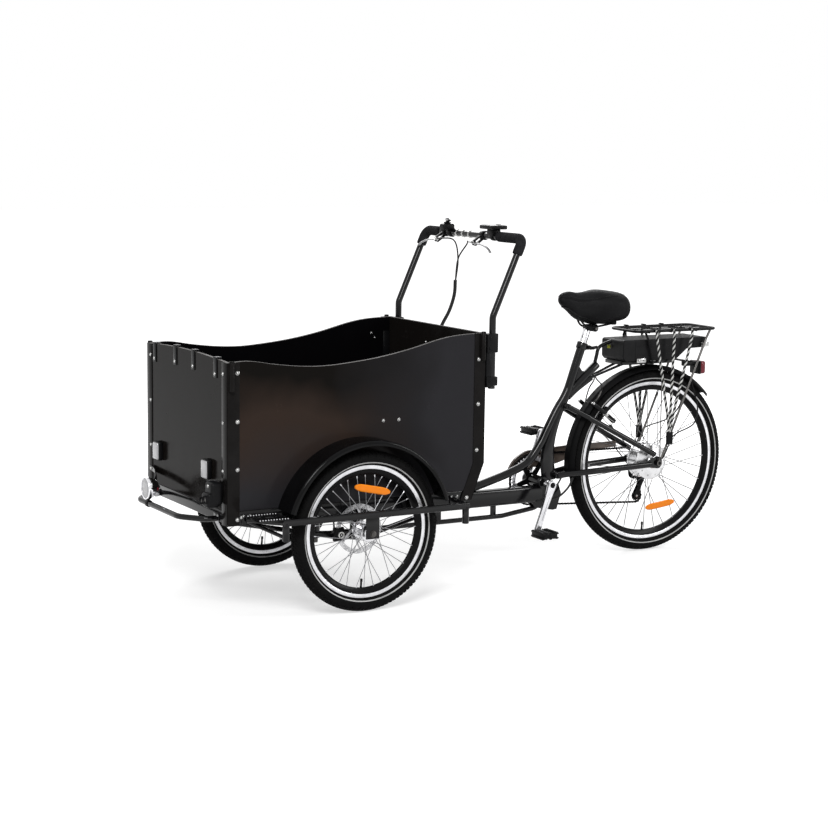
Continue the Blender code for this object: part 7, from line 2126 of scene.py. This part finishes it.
def bumper():
    """A bent tube ahead of the box with its brackets, and the flat brace on the right."""
    face, z, far = BOX_FRONT + 0.001 - GAP, 0.312, -0.543
    wide, strip = BOX_HALF - 0.078, BOX_FRONT - 2 * GAP - STRIP_T
    half = [(face, wide), (face - 0.038, wide), (far, wide - 0.078)]
    route = [(x, -y, z) for x, y in half] + [(x, y, z) for x, y in reversed(half)]
    parts, bolts = [pipe(bent(route, 0.060, 12), 0.009, 24)], []
    for side in (-1, 1):
        bracket = span(side, wide - 0.020, wide + 0.018)
        parts.append(block((face - 0.003, face), bracket, (z - 0.006, z + 0.016), 0.0012))
        bolts += dome_bolt((face - 0.003, side * (wide + 0.012), z + 0.011), (-1, 0, 0), 0.0036)
    brace = [
        (far + 0.008, wide - 0.118, z + 0.006), (far + 0.028, wide - 0.102, z + 0.034),
        (far + 0.060, wide - 0.066, z + 0.058), (strip - 0.009, BOX_HALF - 0.088, z + 0.072),
        (strip - 0.003, BOX_HALF - 0.052, z + 0.076), (strip - 0.003, BOX_HALF - 0.030, z + 0.077),
    ]
    parts.append(sweep(smooth(brace, 8), flat_bar(0.0015, 0.0100), (0, 0, 1)))
    bolts += dome_bolt((strip - 0.0045, BOX_HALF - 0.038, z + 0.077), (-1, 0, 0), 0.0048)
    bolts += dome_bolt((far + 0.056, wide - 0.072, z + 0.055), (-0.7, -0.7, 0), 0.0040)
    made("front_bumper", [(parts, BLACK), (bolts, BOLT)], "carriage", "bumper", 40, bevel=0.0004)


def headlamp():
    """A chrome-rimmed round lamp with a ribbed clear lens, on a strap above the bumper."""
    place, behind, r = Vector((-0.556, 0.080, 0.362)), Vector((1, 0, 0)), 0.037
    rim = shares(
        r, (0.86, 0.0016), (0.90, 0.0), (0.97, 0.0), (1, 0.0022), (1, 0.0125), (0.95, 0.0140), (0.86, 0.0100)
    )
    cup = shares(
        r, (0.96, 0.0125), (0.90, 0.020), (0.74, 0.032), (0.52, 0.041), (0.25, 0.0455), (0.0, 0.0460)
    )
    lens = shares(
        r, (0.88, 0.0070), (0.88, 0.0028), (0.72, 0.0016), (0.45, 0.0008), (0.2, 0.0005), (0.0, 0.0004)
    )
    mirror = shares(r, (0.86, 0.0075), (0.6, 0.0085), (0.3, 0.0105), (0.0, 0.0120))
    bulb = mm((0.5, 0), (8.5, 0), (8.5, 2), (0.5, 2))
    strap = smooth(
        mm((-543, 80, 322), (-541, 80, 334), (-530, 80, 344), (-516, 80, 352), (-511.5, 80, 362)), 8
    )
    foot = mm((8.8, -9), (11.2, -9), (11.6, -7.5), (11.6, 7.5), (11.2, 9), (8.8, 9))
    bracket = [sweep(strap, flat_bar(0.0015, 0.0072)), turned(foot, (-0.543, 0.080, 0.312), steps=32)]
    nut = rod(place + behind * 0.0440, place + behind * 0.0505, 0.0062, 6, ease=0.0008)
    plug = block((place.x + 0.020, place.x + 0.036), (0.052, 0.062), (0.356, 0.366), 0.0022, 3)
    socket = block((place.x + 0.022, place.x + 0.036), (0.046, 0.056), (0.338, 0.349), 0.0022, 3)
    looks = [
        ([turned(rim, place, behind, 64), domed(cup, place, behind, 48)], CHROME),
        (domed(lens, place, behind, 48), WHITE), (domed(mirror, place, behind, 40), CHROME),
        (turned(bulb, place + behind * 0.0012, behind, 30), WHITE), (bracket, SATIN), (nut, BOLT),
        (plug, RED), (socket, WHITE),
    ]
    made("round_headlamp", looks, "carriage", "headlamp")


def horn():
    """A moulded housing with two round sounding mouths."""
    face, y = BOX_FRONT - 2 * GAP - STRIP_T, 0.049 - BOX_HALF
    body = block((face - 0.040, face), about(y, 0.027), (0.360, 0.432), 0.010, 5)
    lower = block((face - 0.052, face - 0.010), about(y, 0.026), (0.354, 0.400), 0.010, 5)
    cups, grilles = [], []
    for place, z, r in ((y - 0.0125, 0.381, 0.0135), (y + 0.0135, 0.374, 0.0120)):
        mouth = (face - 0.050, place, z)
        cup = shares(
            r, (0.72, 0.010), (0.72, 0.0), (0.80, -0.0060), (0.96, -0.0085), (1, -0.0080), (0.98, 0.0),
            (0.92, 0.010),
        )
        grille = shares(r, (0.74, 0.0), (0.70, -0.0030), (0.45, -0.0048), (0.0, -0.0056))
        cups.append(turned(cup, mouth, (1, 0, 0), 36))
        grilles.append(domed(grille, mouth, (1, 0, 0), 28))
    bolt = dome_bolt((face - 0.0395, y, 0.420), (-1, 0, 0), 0.0046)
    looks = [([body, lower], PLASTIC), (cups, SATIN), (grilles, STEEL), (bolt, BOLT)]
    made("signal_horn", looks, "carriage", "horn")


def calipers():
    """The disc brakes' calipers: two halves and a bridge about the rotor, on a bracket."""
    rotor, face, z = WHEEL_Y - ROTOR_IN, BOX_HALF - 0.005 + GAP, FRONT_R
    adjuster = [
        (0.0060, rotor + 0.0100), (0.0108, rotor + 0.0100), (0.0112, rotor + 0.0106),
        (0.0112, rotor + 0.0122), (0.0106, rotor + 0.0130), (0.0060, rotor + 0.0130),
    ]
    hub = Vector((-0.068, 0, z - 0.012))
    for tag, side in SIDES:
        black, silver = [], [turned(adjuster, hub, (0, side, 0), 40)]
        for x, wide, low, high, round_by, segments in (
            ((-0.088, -0.050), (face + 0.001, rotor - 0.0018), 0.034, 0.010, 0.0040, 4),
            ((-0.088, -0.054), (rotor + 0.0018, rotor + 0.0105), 0.032, 0.008, 0.0036, 4),
            ((-0.0895, -0.0835), (face + 0.002, rotor + 0.0100), 0.026, 0.002, 0.0022, 3),
            ((-0.075, -0.007), (face, face + 0.0045), 0.032, -0.017, 0.0012, 2),
        ):
            black.append(block(x, span(side, *wide), (z - low, z + high), round_by, segments))
        black.append(pin(hub, side * (rotor + 0.0100), side * (rotor + 0.0126), 0.0060, 24, ease=0.0004))
        silver.append(pin(hub, side * (rotor + 0.0120), side * (rotor + 0.0132), 0.0026, 6))
        for x in (-0.020, -0.036):
            at = (x, 0, z - 0.0245)
            silver.append(pin(at, side * (face + 0.0042), side * (face + 0.0080), 0.0042, 18, ease=0.0007))
        y = side * (face + 0.006)
        black.append(rod((-0.084, y, z + 0.006), (-0.086, y, z + 0.030), 0.0032, 16, 0.0026))
        made(f"disc_caliper_{tag}", [(black, SATIN), (silver, BOLT)], "carriage", f"caliper_{tag}")


chassis()
outriggers()
bumper()
headlamp()
horn()
calipers()
